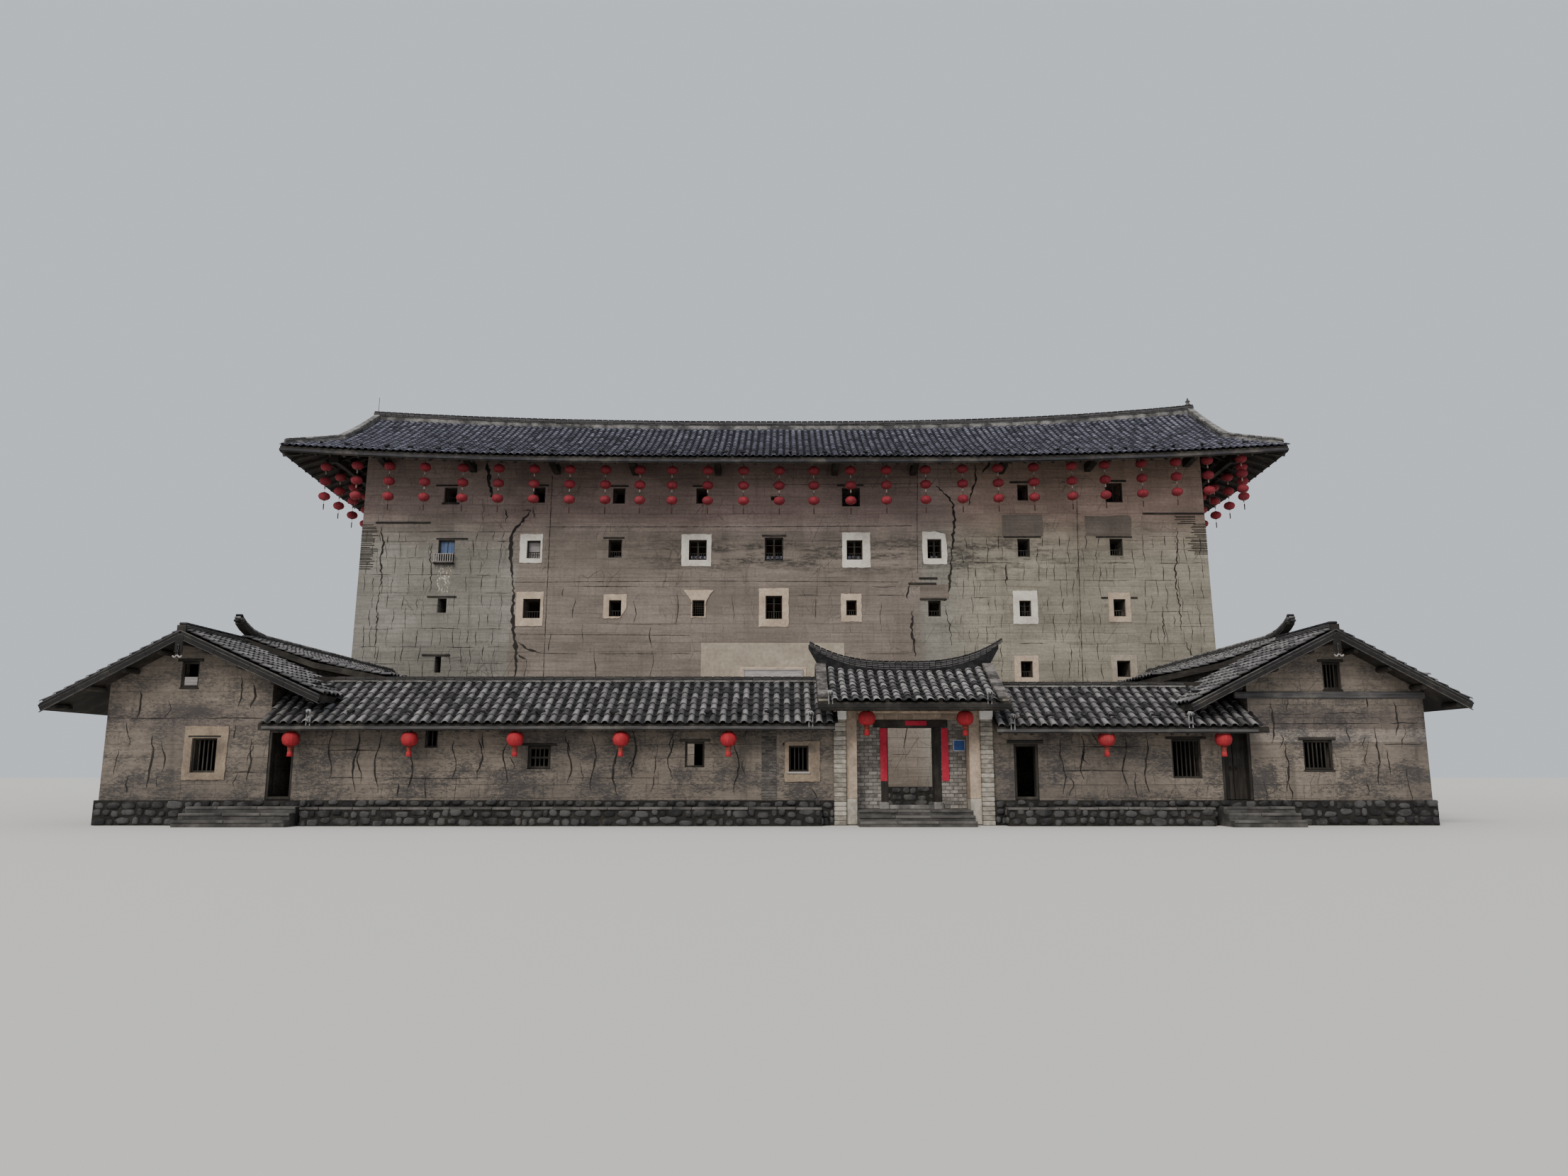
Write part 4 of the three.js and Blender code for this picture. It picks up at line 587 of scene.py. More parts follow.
pierStone = makeMineral("pier blocks", (0.41, 0.375, 0.32), (0.15, 0.135, 0.113),
                        ((0.12, 0.11, 0.095), 0.35), 0.9, 4.0, bump=0.004)
greyBrick = makeMineral("grey brick", (0.27, 0.245, 0.205), (0.13, 0.115, 0.095),
                        ((0.07, 0.066, 0.058), 0.25), 0.7, 4.0)
wallBrick = makeMineral("grey wall brick", (0.34, 0.31, 0.28), (0.14, 0.127, 0.115),
                        ((0.05, 0.045, 0.042), 0.3), 0.8, 4.0)
sootBrick = makeMineral("sooty brick", (0.115, 0.105, 0.097), (0.04, 0.037, 0.035),
                        ((0.03, 0.028, 0.026), 0.3), 0.8, 4.0)
paleBrick = makeMineral("limewashed brick", (0.19, 0.17, 0.158), (0.05, 0.046, 0.043),
                        ((0.025, 0.023, 0.022), 0.8), 1.0, 6.0, bump=0.006)
brickJoint = makeMineral("brick joints", (0.19, 0.175, 0.15), (0.08, 0.074, 0.064),
                         ((0.05, 0.047, 0.04), 0.2), 0.2, 6.0)
limeWhite = makeMineral("white lime render", (0.72, 0.68, 0.6), (0.55, 0.5, 0.43),
                        ((0.38, 0.33, 0.26), 0.25), 0.1, 1.3, bump=0.002)
limeCream = makeMineral("cream lime render", (0.55, 0.435, 0.335), (0.38, 0.295, 0.22),
                        ((0.3, 0.24, 0.17), 0.3), 0.1, 1.3, bump=0.002)
limePanel = makeMineral("dull lime render", (0.4, 0.34, 0.27), (0.285, 0.24, 0.19),
                        ((0.22, 0.19, 0.14), 0.35), 0.1, 0.9)
limeTan = makeMineral("tan render", (0.47, 0.365, 0.275), (0.27, 0.21, 0.16),
                      ((0.09, 0.078, 0.068), 0.4), 0.2, 1.8)
tanBand = makeMineral("dull tan render", (0.3, 0.232, 0.165), (0.17, 0.132, 0.1),
                      ((0.08, 0.07, 0.06), 0.5), 0.2, 2.2)
# Painted light: the piers' caps sit in the shade of the gate's eave, and this whiter colour paints them as if
# sunlit.
capWhite = makeMineral("white cap with painted sunlight", (0.92, 0.89, 0.85), (0.78, 0.75, 0.7),
                       ((0.55, 0.5, 0.44), 0.15), 0.1, 1.3, bump=0.002)
darkGap = makeMineral("dark crack", (0.03, 0.026, 0.022), (0.012, 0.01, 0.009),
                      ((0.05, 0.044, 0.036), 0.1), 0.1, 5.0, bump=0.002)
redPaper = makeMineral("red paper", (0.52, 0.032, 0.065), (0.38, 0.018, 0.04),
                       ((0.5, 0.16, 0.13), 0.2), 0.2, 2.0, bump=0.001)
bluePlate = makeMineral("blue enamel plate", (0.045, 0.105, 0.3), (0.03, 0.07, 0.22),
                        ((0.1, 0.08, 0.06), 0.15), 0.1, 2.0, ((0.6, 0.62, 0.65), 1.0), bump=0.0005,
                        specular=0.6)
darkIron = makeMineral("dark iron", (0.06, 0.055, 0.05), (0.02, 0.018, 0.017),
                       ((0.12, 0.06, 0.03), 0.3), 0.3, 8.0, bump=0.001, metallic=0.6, specular=0.4)
lampGrey = makeMineral("grey lamp housing", (0.3, 0.3, 0.3), (0.15, 0.15, 0.15),
                       ((0.25, 0.22, 0.18), 0.2), 0.2, 6.0, bump=0.0005, specular=0.5)
print("stage: materials")


earthBlock = {"halfWidth": 18.3, "depth": 28.6, "wall": 1.34, "batter": 0.18, "plinthTop": 0.8,
              "leanHeight": 15.7, "range": 6.45}
facadeY = -earthBlock["wall"] / 2
centreY = facadeY + earthBlock["depth"] / 2
backY = 2 * centreY - facadeY
lowFace = -15.87
mainRoof = {"overhang": 2.45, "run": 5.45, "innerRun": 4.77, "eave": 14.15, "slope": 0.44, "hollow": 0.0186,
            "eaveLift": 0.5, "leftRidgeLift": 0.6, "rightRidgeLift": 1.0, "gablet": 19.1, "sideDrop": 0.5,
            "slab": 0.25}
eaveX = earthBlock["halfWidth"] + mainRoof["overhang"]
eaveY = facadeY - mainRoof["overhang"]
ridgeLineY = eaveY + mainRoof["run"]
skirt = eaveX - mainRoof["gablet"]
courtX = earthBlock["halfWidth"] - earthBlock["range"]
courtY = facadeY + earthBlock["range"]


def rise(t):
    return mainRoof["slope"] * t + mainRoof["hollow"] * t * t


# Distance of places from the nearer of the front and back eaves.
def fromEnd(y):
    return np.minimum(y, 2 * centreY - y) - eaveY


# Leaves a place along y as it is, or mirrors it to the back of the house.
def flipFor(back):
    return (lambda y: 2 * centreY - y) if back else (lambda y: y)


def levelAt(height, x, y):
    return float(height(np.array(x), np.array(y)))


def mainHeight(x, y):
    t = mainRoof["run"] - np.abs(mainRoof["run"] - fromEnd(y))
    f = t / mainRoof["run"]
    out = np.minimum(np.abs(x) / eaveX, 1.0)
    lift = np.where(np.asarray(x) < 0, mainRoof["leftRidgeLift"], mainRoof["rightRidgeLift"]) * out ** 2.5
    return mainRoof["eave"] + rise(t) + mainRoof["eaveLift"] * out ** 3 * (1 - f) + lift * f


def sideHeight(x, y):
    fromEave = eaveX - np.abs(x)
    t = mainRoof["run"] - np.abs(mainRoof["run"] - fromEave)
    f = t / mainRoof["run"]
    out = np.minimum(np.abs(y - centreY) / (centreY - eaveY), 1.0)
    return mainRoof["eave"] + rise(t) - mainRoof["sideDrop"] * f + mainRoof["eaveLift"] * out ** 3 * (1 - f)


tileSize = {"pitch": 0.285, "course": 0.27, "halfWidth": 0.1, "upperHalf": 0.086, "arch": 0.068,
            "thick": 0.02, "step": 0.042, "bed": 0.05, "overlap": 0.05, "outreach": 0.07, "rimDepth": 0.012,
            "panDip": 0.03, "looseness": 0.006, "tipping": 0.004, "highlightSpread": (0.72, 0.3)}
# Marks for a cover's points, lower and upper shell and then the rim's two rings: painted highlights on crown
# and rim.
coverHighlights = [0.0, 0.55, 1.0, 0.55, 0.0] + [0.0, 0.35, 0.6, 0.35, 0.0] + [0.2, 0.5, 0.7, 0.5, 0.2] * 2


# Covers and pans in columns up a slope. Origin and across lie along the eave, up points to the ridge in
# plan, height gives the slab's top at x, y, and keep says where tiles lie. The crown highlight is how pale
# the tops are: a painted highlight on the covers' crowns and rims, varied at random from tile to tile. The
# pans are darkened as painted shade between the covers.
def tileSlope(shape, origin, across, up, width, run, height, keep=None, crownHighlight=0.9):
    size = tileSize
    seeded = np.random.default_rng(shape.random.randrange(1 << 30))
    origin, across, up = (np.array(v, float) for v in (origin, across, up))
    columns = max(2, round(width / size["pitch"]))
    pitch = width / columns
    courses = max(2, round(run / size["course"]))
    course = run / courses
    middles = (np.arange(columns) + 0.5) * pitch
    starts = np.arange(courses) * course
    a, t = np.meshgrid(middles, starts, indexing="ij")
    a, t = a.ravel(), t.ravel()
    shade = seeded.random(len(a))

    def put(offsetAcross, alongSlope, lifts):
        flat = origin + (a[:, None] + offsetAcross)[..., None] * across + alongSlope[..., None] * up
        z = height(flat[..., 0], flat[..., 1])
        return np.dstack([flat[..., 0], flat[..., 1], z + size["bed"] + lifts])

    centre = origin + a[:, None] * across + (t + course / 2)[:, None] * up
    kept = np.ones(len(a), bool) if keep is None else keep(centre[:, 0], centre[:, 1])
    turn = np.linspace(0, math.pi, 5)
    jitter = seeded.normal(0, size["looseness"], len(a))[:, None]
    tipped = seeded.normal(0, size["tipping"], len(a))[:, None]
    noseOut = np.where(t < 1e-6, size["outreach"], 0.0)
    front = (t - noseOut + seeded.normal(0, size["looseness"], len(a)))[:, None]
    back = (t + course + size["overlap"])[:, None]
    ones = np.ones((1, 5))
    arch = size["arch"] * np.sin(turn)
    lower = put(jitter - size["halfWidth"] * np.cos(turn), front * ones, size["step"] + tipped + arch)
    upper = put(jitter - size["upperHalf"] * np.cos(turn), back * ones, arch * 0.85 + 0 * tipped)
    inside = put(jitter - (size["halfWidth"] - size["rimDepth"]) * np.cos(turn), front * ones,
                 size["step"] + tipped - size["thick"] + arch)
    flipped = across[0] * up[1] - across[1] * up[0] < 0
    grid = np.arange(4)
    shell = np.column_stack([grid, grid + 1, grid + 6, grid + 5])
    rimFaces = np.column_stack([grid + 15, grid + 16, grid + 11, grid + 10])
    faces = np.concatenate([shell, rimFaces])
    if flipped:
        faces = faces[:, ::-1]
    block = np.concatenate([lower, upper, lower, inside], axis=1)[kept]
    # Painted highlight: each tile's crown gets a random share of the crown highlight.
    wearAndHighlight = crownHighlight * np.clip(seeded.normal(*size["highlightSpread"], (len(a), 1)), 0.12, 1.25)[kept]
    shape.addMany(block, faces, shade[kept], np.minimum(wearAndHighlight * np.array(coverHighlights), 1.0), smoothCount=4)

    panTurn = np.array([-0.5, 0.0, 0.5]) * (pitch - 2 * size["upperHalf"] + 0.05) + 0 * jitter
    dip = np.array([size["panDip"], 0.0, size["panDip"]]) - size["bed"] * 0.3
    a = a + pitch / 2
    ones = np.ones((1, 3))
    panLower = put(panTurn, front * ones, dip + size["step"])
    panUpper = put(panTurn, back * ones, dip + 0 * tipped)
    panUnder = put(panTurn, front * ones, dip + size["step"] - size["thick"])
    grid = np.arange(2)
    faces = np.concatenate([np.column_stack([grid, grid + 1, grid + 4, grid + 3]),
                            np.column_stack([grid + 9, grid + 10, grid + 7, grid + 6])])
    if flipped:
        faces = faces[:, ::-1]
    block = np.concatenate([panLower, panUpper, panLower, panUnder], axis=1)[kept]
    # Painted shade: the pans get a quarter of their random shade, so they lie dark between the covers.
    shape.addMany(block, faces, shade[kept] * 0.25, np.zeros(12), smoothCount=2)


# The four slopes outside and the four over the courtyard, each cut off along its hips and valleys.
def tileMainRoof():
    gablet, run, innerRun = mainRoof["gablet"], mainRoof["run"], mainRoof["innerRun"]
    valley, crownHighlight = 0.12, 0.8
    for back in (False, True):
        shape = Shape(11 + back)
        mirror = -1 if back else 1
        eave = flipFor(back)(eaveY)

        def outer(x, y):
            return np.abs(y - eave) < np.where(np.abs(x) > gablet, eaveX - np.abs(x), np.inf)

        def inner(x, y):
            return (np.abs(x) < gablet) & (mainHeight(x, y) > sideHeight(x, y) - valley)

        tileSlope(shape, (-eaveX, eave), (1, 0), (0, mirror), 2 * eaveX, run, mainHeight, outer, crownHighlight)
        innerEave = eave + mirror * (run + innerRun)
        tileSlope(shape, (-gablet, innerEave), (1, 0), (0, -mirror), 2 * gablet, innerRun, mainHeight, inner,
                  crownHighlight)
        shape.build("mainRoofTiles" + ("Back" if back else "Front"), [coolTile])
    for side in (-1, 1):
        shape = Shape(13 + side)
        depth = 2 * (centreY - eaveY)

        def outer(x, y):
            inGablet = (np.abs(x) < gablet) & (fromEnd(y) < run)
            above = (np.abs(x) > gablet) | (sideHeight(x, y) > mainHeight(x, y) - valley)
            return (fromEnd(y) > eaveX - np.abs(x)) & ~inGablet & above

        def inner(x, y):
            return (fromEnd(y) > run) & (sideHeight(x, y) > mainHeight(x, y) - valley)

        tileSlope(shape, (side * eaveX, eaveY), (0, 1), (-side, 0), depth, run, sideHeight, outer, crownHighlight)
        innerX = side * (eaveX - run - innerRun)
        tileSlope(shape, (innerX, eaveY), (0, 1), (side, 0), depth, innerRun, sideHeight, inner, crownHighlight)
        shape.build("mainRoofTiles" + ("Left" if side < 0 else "Right"), [coolTile])


tileMainRoof()

rangeRoof = {"front": -16.57, "ridgeY": -14.3}
gateRoof = {"from": 0.9, "to": 6.01, "frontY": -16.97, "backY": -12.1, "ridgeY": -14.6, "eave": 3.24,
            "ridge": 4.25, "hollow": 0.2, "verge": 0.22, "slab": 0.18}
houses = {
    "Left": {"side": -1, "outX": -20.0, "outZ": 3.24, "apexX": -16.4, "apex": 5.22, "inX": -12.5, "inZ": 3.47,
             "rearOutX": -20.55, "rearRidgeX": -16.45, "rearInX": -11.95, "rangeEnd": -13.4,
             "rangeRoof": (-14.1, 1.37), "rangeEave": 2.68, "rangeRidge": 4.0},
    "Right": {"side": 1, "outX": 18.5, "outZ": 3.3, "apexX": 15.0, "apex": 5.25, "inX": 10.97, "inZ": 3.24,
              "rearOutX": 19.5, "rearRidgeX": 15.3, "rearInX": 11.2, "rangeEnd": 11.95,
              "rangeRoof": (5.69, 12.76), "rangeEave": 2.6, "rangeRidge": 3.85},
}
houseRoof = {"frontY": -16.57, "backY": -12.85, "rearFrontY": -13.2, "rearBackY": -0.67, "rearEave": 4.24,
             "rearRidge": 5.45, "rearHollow": 0.64}


def rangeHeight(house):
    def height(x, y):
        f = 1 - np.abs(y - rangeRoof["ridgeY"]) / (rangeRoof["ridgeY"] - rangeRoof["front"])
        return house["rangeEave"] + (house["rangeRidge"] - house["rangeEave"]) * f
    return height


def gateHeight(x, y):
    ridge = gateRoof["ridgeY"]
    half = np.where(y < ridge, ridge - gateRoof["frontY"], gateRoof["backY"] - ridge)
    f = 1 - np.abs(y - ridge) / half
    middle, reach = (gateRoof["from"] + gateRoof["to"]) / 2, (gateRoof["to"] - gateRoof["from"]) / 2
    out = np.minimum(np.abs(x - middle) / reach, 1.0)
    return (gateRoof["eave"] + (gateRoof["ridge"] - gateRoof["eave"]) * f - gateRoof["hollow"] * f * (1 - f)
            + gateRoof["verge"] * out ** 3 * f)


def houseHeight(house):
    def height(x, y):
        outside = (x - house["apexX"]) * house["side"] > 0
        footX = np.where(outside, house["outX"], house["inX"])
        footZ = np.where(outside, house["outZ"], house["inZ"])
        f = (x - footX) / (house["apexX"] - footX)
        return footZ + (house["apex"] - footZ) * f
    return height


def rearHeight(house):
    def height(x, y):
        outside = (x - house["rearRidgeX"]) * house["side"] > 0
        footX = np.where(outside, house["rearOutX"], house["rearInX"])
        f = (x - footX) / (house["rearRidgeX"] - footX)
        return (houseRoof["rearEave"] + (houseRoof["rearRidge"] - houseRoof["rearEave"]) * f
                - houseRoof["rearHollow"] * f * (1 - f))
    return height


# Tiles both slopes of a roof whose ridge runs front to back.
def tileGable(shape, feet, ridgeX, y0, depth, height, keep=None):
    for footX in feet:
        towards = 1 if footX < ridgeX else -1
        tileSlope(shape, (footX, y0), (0, 1), (towards, 0), depth, abs(ridgeX - footX), height, keep)


def tileLowRoofs():
    below = 0.18
    for name, house in houses.items():
        side = house["side"]
        height = rangeHeight(house)
        houseTop = houseHeight(house)
        x0, x1 = house["rangeRoof"]
        run = rangeRoof["ridgeY"] - rangeRoof["front"]
        lowIn, highIn = sorted((house["inX"], house["outX"]))

        def seen(x, y):
            tileTop = height(x, y) + 0.16
            over = (houseTop(x, y) > height(x, y) + 0.1) & (houseTop(x, y) - below < tileTop)
            covered = (x > lowIn) & (x < highIn) & over & (y < houseRoof["backY"])
            gateCovered = ((x > gateRoof["from"] - 0.12) & (x < gateRoof["to"] + 0.12)
                           & (gateHeight(x, y) - below < tileTop))
            rearCovered = (y > -12.9) & ((x - house["rangeEnd"]) * side > -0.75)
            return ~covered & ~gateCovered & ~rearCovered

        def onHouse(x, y):
            overRange = houseTop(x, y) > height(x, y) - 0.1
            beyond = (x - (x0 if side < 0 else x1)) * side > 0
            return overRange | beyond

        shape = Shape(21 + side)
        rearEave = 2 * rangeRoof["ridgeY"] - rangeRoof["front"]
        for eave, towards in ((rangeRoof["front"], 1), (rearEave, -1)):
            tileSlope(shape, (x0, eave), (1, 0), (0, towards), x1 - x0, run, height, seen)
        shape.build("rangeRoofTiles" + name, [roofTile])
        shape = Shape(31 + side)
        tileGable(shape, (house["outX"], house["inX"]), house["apexX"], houseRoof["frontY"],
                  houseRoof["backY"] - houseRoof["frontY"], houseTop, onHouse)
        shape.build("frontHouseTiles" + name, [roofTile])
        shape = Shape(41 + side)
        tileGable(shape, (house["rearOutX"], house["rearInX"]), house["rearRidgeX"], houseRoof["rearFrontY"],
                  houseRoof["rearBackY"] - houseRoof["rearFrontY"] - 0.02, rearHeight(house))
        shape.build("rearHouseTiles" + name, [roofTile])
    shape = Shape(51)
    inset, crownHighlight = 0.3, 1.6
    width = gateRoof["to"] - gateRoof["from"] - 2 * inset
    for eave, towards in ((gateRoof["frontY"], 1), (gateRoof["backY"], -1)):
        tileSlope(shape, (gateRoof["from"] + inset, eave), (1, 0), (0, towards), width,
                  abs(gateRoof["ridgeY"] - eave), gateHeight, crownHighlight=crownHighlight)
    shape.build("gateRoofTiles", [roofTile])


tileLowRoofs()


# A wall's face as a frame of its own: u runs to the right as seen from outside, v goes in, z is up.
def lean(z):
    return earthBlock["batter"] / earthBlock["leanHeight"] * (z - earthBlock["plinthTop"])


def onFront(u, v, z):
    return np.column_stack([u, facadeY + lean(z) + v, z])


def onBack(u, v, z):
    return np.column_stack([-u, backY - lean(z) - v, z])


def onLeft(u, v, z):
    return np.column_stack([-earthBlock["halfWidth"] + lean(z) + v, -u, z])


def onRight(u, v, z):
    return np.column_stack([earthBlock["halfWidth"] - lean(z) - v, u, z])


def onLow(u, v, z):
    return np.column_stack([u, lowFace + v, z])


# Uprights of each kind of window as pitch and thickness. A plain window has none.
windowBars = {"rail": (0.1, 0.024), "bars": (0.11, 0.03), "heavy": (0.12, 0.035), "casement": (0.1, 0.022),
              "lattice": (0.09, 0.016)}
frameFit = {"clear": 0.004, "thick": 0.08, "setBack": 0.006, "railShare": 0.36, "casementRails": (0.34, 0.67),
            "latticePitch": 0.12}


# A timber frame just inside a hole, with its bars by kind.
def fitWindow(shape, u, z, width, height, kind, depth=0.1, stock=0.05):
    clear, setBack = frameFit["clear"], frameFit["setBack"]
    left, right = u - width / 2 + clear, u + width / 2 - clear
    foot, top = z - height / 2 + clear, z + height / 2 - clear
    back = depth + frameFit["thick"]
    middle = depth + frameFit["thick"] / 2
    inner = width - 2 * stock

    def piece(x0, x1, y0, y1, z0, z1):
        shape.chamfered(x0, x1, y0, y1, z0, z1, cut=0.006)

    def rail(at, half):
        piece(left + stock, right - stock, middle - half, middle + half, at - half, at + half)

    def uprights(low, high):
        pitch, thick = windowBars[kind]
        count = max(1, round(inner / pitch) - 1)
        half = thick / 2
        for i in range(count):
            at = left + stock + inner * (i + 1) / (count + 1)
            shape.box(at - half, at + half, middle - half, middle + half, low, high)

    piece(left, left + stock, depth, back, foot, top)
    piece(right - stock, right, depth, back, foot, top)
    piece(left, right, depth + setBack, back - setBack, top - stock, top)
    piece(left, right, depth + setBack, back - setBack, foot, foot + stock)
    if kind == "rail":
        railZ = foot + height * frameFit["railShare"]
        rail(railZ, 0.02)
        uprights(foot + stock, railZ)
    if kind in ("bars", "heavy", "lattice"):
        uprights(foot + stock, top - stock)
    if kind == "heavy":
        piece(left + stock, right - stock, middle - 0.025, middle + 0.025, z - 0.03, z + 0.03)
    if kind == "casement":
        piece(u - 0.035, u + 0.035, middle - 0.02, middle + 0.02, foot + stock, top - stock)
        for share in frameFit["casementRails"]:
            rail(foot + height * share, 0.015)
        uprights(foot + stock, foot + height * frameFit["casementRails"][0])
    if kind == "lattice":
        rows = max(1, round(height / frameFit["latticePitch"]) - 1)
        half = windowBars[kind][1] / 2
        for i in range(rows):
            at = foot + stock + (height - 2 * stock) * (i + 1) / (rows + 1)
            shape.box(left + stock, right - stock, middle - half, middle + half, at - half, at + half)


# A rendered band round a hole, with a hand-laid outer edge. Moves shifts any of its eight outer places,
# which go round from the lower left corner.
def renderBand(shape, hole, outer, slot, moves=None):
    u, z, width, height = hole
    left, right, foot, top = outer
    steps, lap, loose, thick = 5, 0.006, 0.014, 0.028
    around = [(-1, -1), (0, -1), (1, -1), (1, 0), (1, 1), (0, 1), (-1, 1), (-1, 0)]
    inner = np.array([(u + a * (width / 2 - lap), z + b * (height / 2 - lap)) for a, b in around])
    middle = np.array([(left + right) / 2, (foot + top) / 2])
    edge = np.array([((left, middle[0], right)[a + 1], (foot, middle[1], top)[b + 1]) for a, b in around])
    for place, (du, dz) in (moves or {}).items():
        edge[place] += (du, dz)
    rings = []
    for ring, sway in ((edge, loose), (inner, 0.0)):
        points = []
        for i in range(8):
            for k in range(steps):
                share = k / steps
                at = ring[i] * (1 - share) + ring[(i + 1) % 8] * share
                points.append(at + [shape.random.uniform(-sway, sway), shape.random.uniform(-sway, sway)])
        rings.append(np.array(points))
    count = 8 * steps
    outerRing, innerRing = rings
    layers = [(outerRing, 0.02), (outerRing, -thick * 0.7), (outerRing * 0.985 + middle * 0.015, -thick),
              (innerRing, -thick), (innerRing, 0.1)]
    points = np.concatenate([np.column_stack([ring[:, 0], np.full(count, v), ring[:, 1]])
                             for ring, v in layers])
    shape.add(points, ringFaces(len(layers), count, flipped=True), slot=slot)


# A crack as a jagged dark ribbon just proud of the wall, thin at its ends.
def crack(shape, path, width, slot=0, rough=0.03, tapered=True):
    draw = shape.random
    step, proud, unevenness = 0.11, 0.005, (0.45, 1.35)
    path = np.array(path, float)
    lengths = np.linalg.norm(np.diff(path, axis=0), axis=1)
    total = lengths.sum()
    count = max(3, int(total / step))
    marks = np.concatenate([[0], np.cumsum(lengths)])
    at = np.linspace(0, total, count + 1)
    line = np.column_stack([np.interp(at, marks, path[:, i]) for i in range(2)])
    line[1:-1] += [[draw.uniform(-rough, rough), draw.uniform(-rough, rough) * 0.5] for _ in range(count - 1)]
    ahead = np.gradient(line, axis=0)
    ahead /= np.linalg.norm(ahead, axis=1)[:, None] + 1e-9
    normal = np.column_stack([-ahead[:, 1], ahead[:, 0]])
    taper = np.sin(np.linspace(0.12, math.pi - 0.12, count + 1)) ** 0.6 if tapered else np.ones(count + 1)
    half = width / 2 * taper * np.array([draw.uniform(*unevenness) for _ in range(count + 1)])
    sides = line - normal * half[:, None], line + normal * half[:, None]
    points = np.concatenate([np.column_stack([side[:, 0], np.full(count + 1, -proud), side[:, 1]])
                             for side in sides])
    here = np.arange(count)
    shape.add(points, np.column_stack([here, here + 1, here + count + 2, here + count + 1]), slot=slot)


# Shrinkage cracks in lifts of a wall: meandering uprights and parts of the beds between them. They stay
# clear of the holes, which are middle u, middle z, width and height.
def shrinkageCracks(shape, u0, u1, z0, z1, lift=0.95, pitch=0.75, holes=(), slot=0, sway=0.09, loose=0.35,
                    widest=0.042):
    draw = shape.random

    def nearUpright(u, low, top):
        return any(abs(u - h[0]) < h[2] / 2 + 0.3 and low < h[1] + h[3] / 2 + 0.25
                   and top > h[1] - h[3] / 2 - 0.25 for h in holes)

    def nearBed(start, end, z):
        return any(start - 0.3 < h[0] + h[2] / 2 and end + 0.3 > h[0] - h[2] / 2
                   and abs(z - h[1]) < h[3] / 2 + 0.25 for h in holes)

    z = z0
    while z < z1 - 0.2:
        high = min(z + lift * draw.uniform(0.85, 1.15), z1)
        u = u0 + draw.uniform(0, pitch)
        while u < u1:
            low = z + draw.uniform(-0.1, loose)
            top = high + draw.uniform(-loose - 0.05, 0.15)
            if top - low > 0.3 and not nearUpright(u, low, top):
                bend, swing = draw.uniform(0, 6.3), draw.uniform(0.2, 1.0) * sway
                bends = [(u + swing * math.sin(bend + 0.9 * k) + draw.uniform(-0.02, 0.02),
                          low + (top - low) * k / 5) for k in range(6)]
                crack(shape, bends, draw.uniform(0.016, widest), slot, rough=0.014)
            u += pitch * draw.uniform(0.5, 1.5)
        u = u0 + draw.uniform(0, 0.8)
        while u < u1 - 0.5:
            end = min(u + draw.uniform(0.8, 3.0), u1)
            if not nearBed(u, end, high):
                bed = [(u, high), ((u + end) / 2, high + draw.uniform(-0.03, 0.03)), (end, high)]
                crack(shape, bed, draw.uniform(0.014, 0.028), slot, rough=0.012)
            u = end + draw.uniform(0.15, 1.0)
        z = high


# Front windows storey by storey from the top: u, z, width, height, kind.
frontWindows = [(-14.45, 13.24, 0.55, 0.68, "rail"), (-10.6, 13.24, 0.5, 0.7, "plain"),
                (-7.15, 13.2, 0.53, 0.7, "plain"), (-3.55, 13.2, 0.5, 0.7, "plain"),
                (2.9, 13.15, 0.78, 0.85, "lattice"), (10.35, 13.35, 0.47, 0.72, "plain"),
                (14.3, 13.35, 0.75, 0.88, "casement"), (-14.5, 10.76, 0.7, 0.96, "rail"),
                (-10.75, 10.82, 0.6, 0.8, "rail"), (-7.25, 10.86, 0.58, 0.8, "rail"),
                (-3.7, 10.8, 0.78, 0.9, "casement"), (-0.43, 10.84, 0.79, 1.02, "casement"),
                (3.03, 10.8, 0.7, 0.88, "casement"), (6.46, 10.85, 0.62, 0.87, "casement"),
                (10.3, 10.9, 0.53, 0.79, "rail"), (14.28, 10.92, 0.56, 0.75, "rail"),
                (-10.73, 8.25, 0.75, 0.85, "rail"), (-7.18, 8.26, 0.54, 0.72, "rail"),
                (-3.64, 8.26, 0.53, 0.72, "lattice"), (-0.43, 8.3, 0.72, 1.02, "casement"),
                (2.87, 8.28, 0.46, 0.67, "rail"), (6.4, 8.25, 0.54, 0.68, "rail"),
                (10.26, 8.25, 0.52, 0.7, "casement"), (14.27, 8.28, 0.53, 0.76, "rail"),
                (10.22, 5.66, 0.52, 0.7, "rail"), (14.3, 5.68, 0.58, 0.7, "plain")]
bareHoles = [(-0.4, 13.1, 0.33, 0.2), (-14.55, 8.38, 0.38, 0.62), (-14.58, 5.86, 0.26, 0.68)]
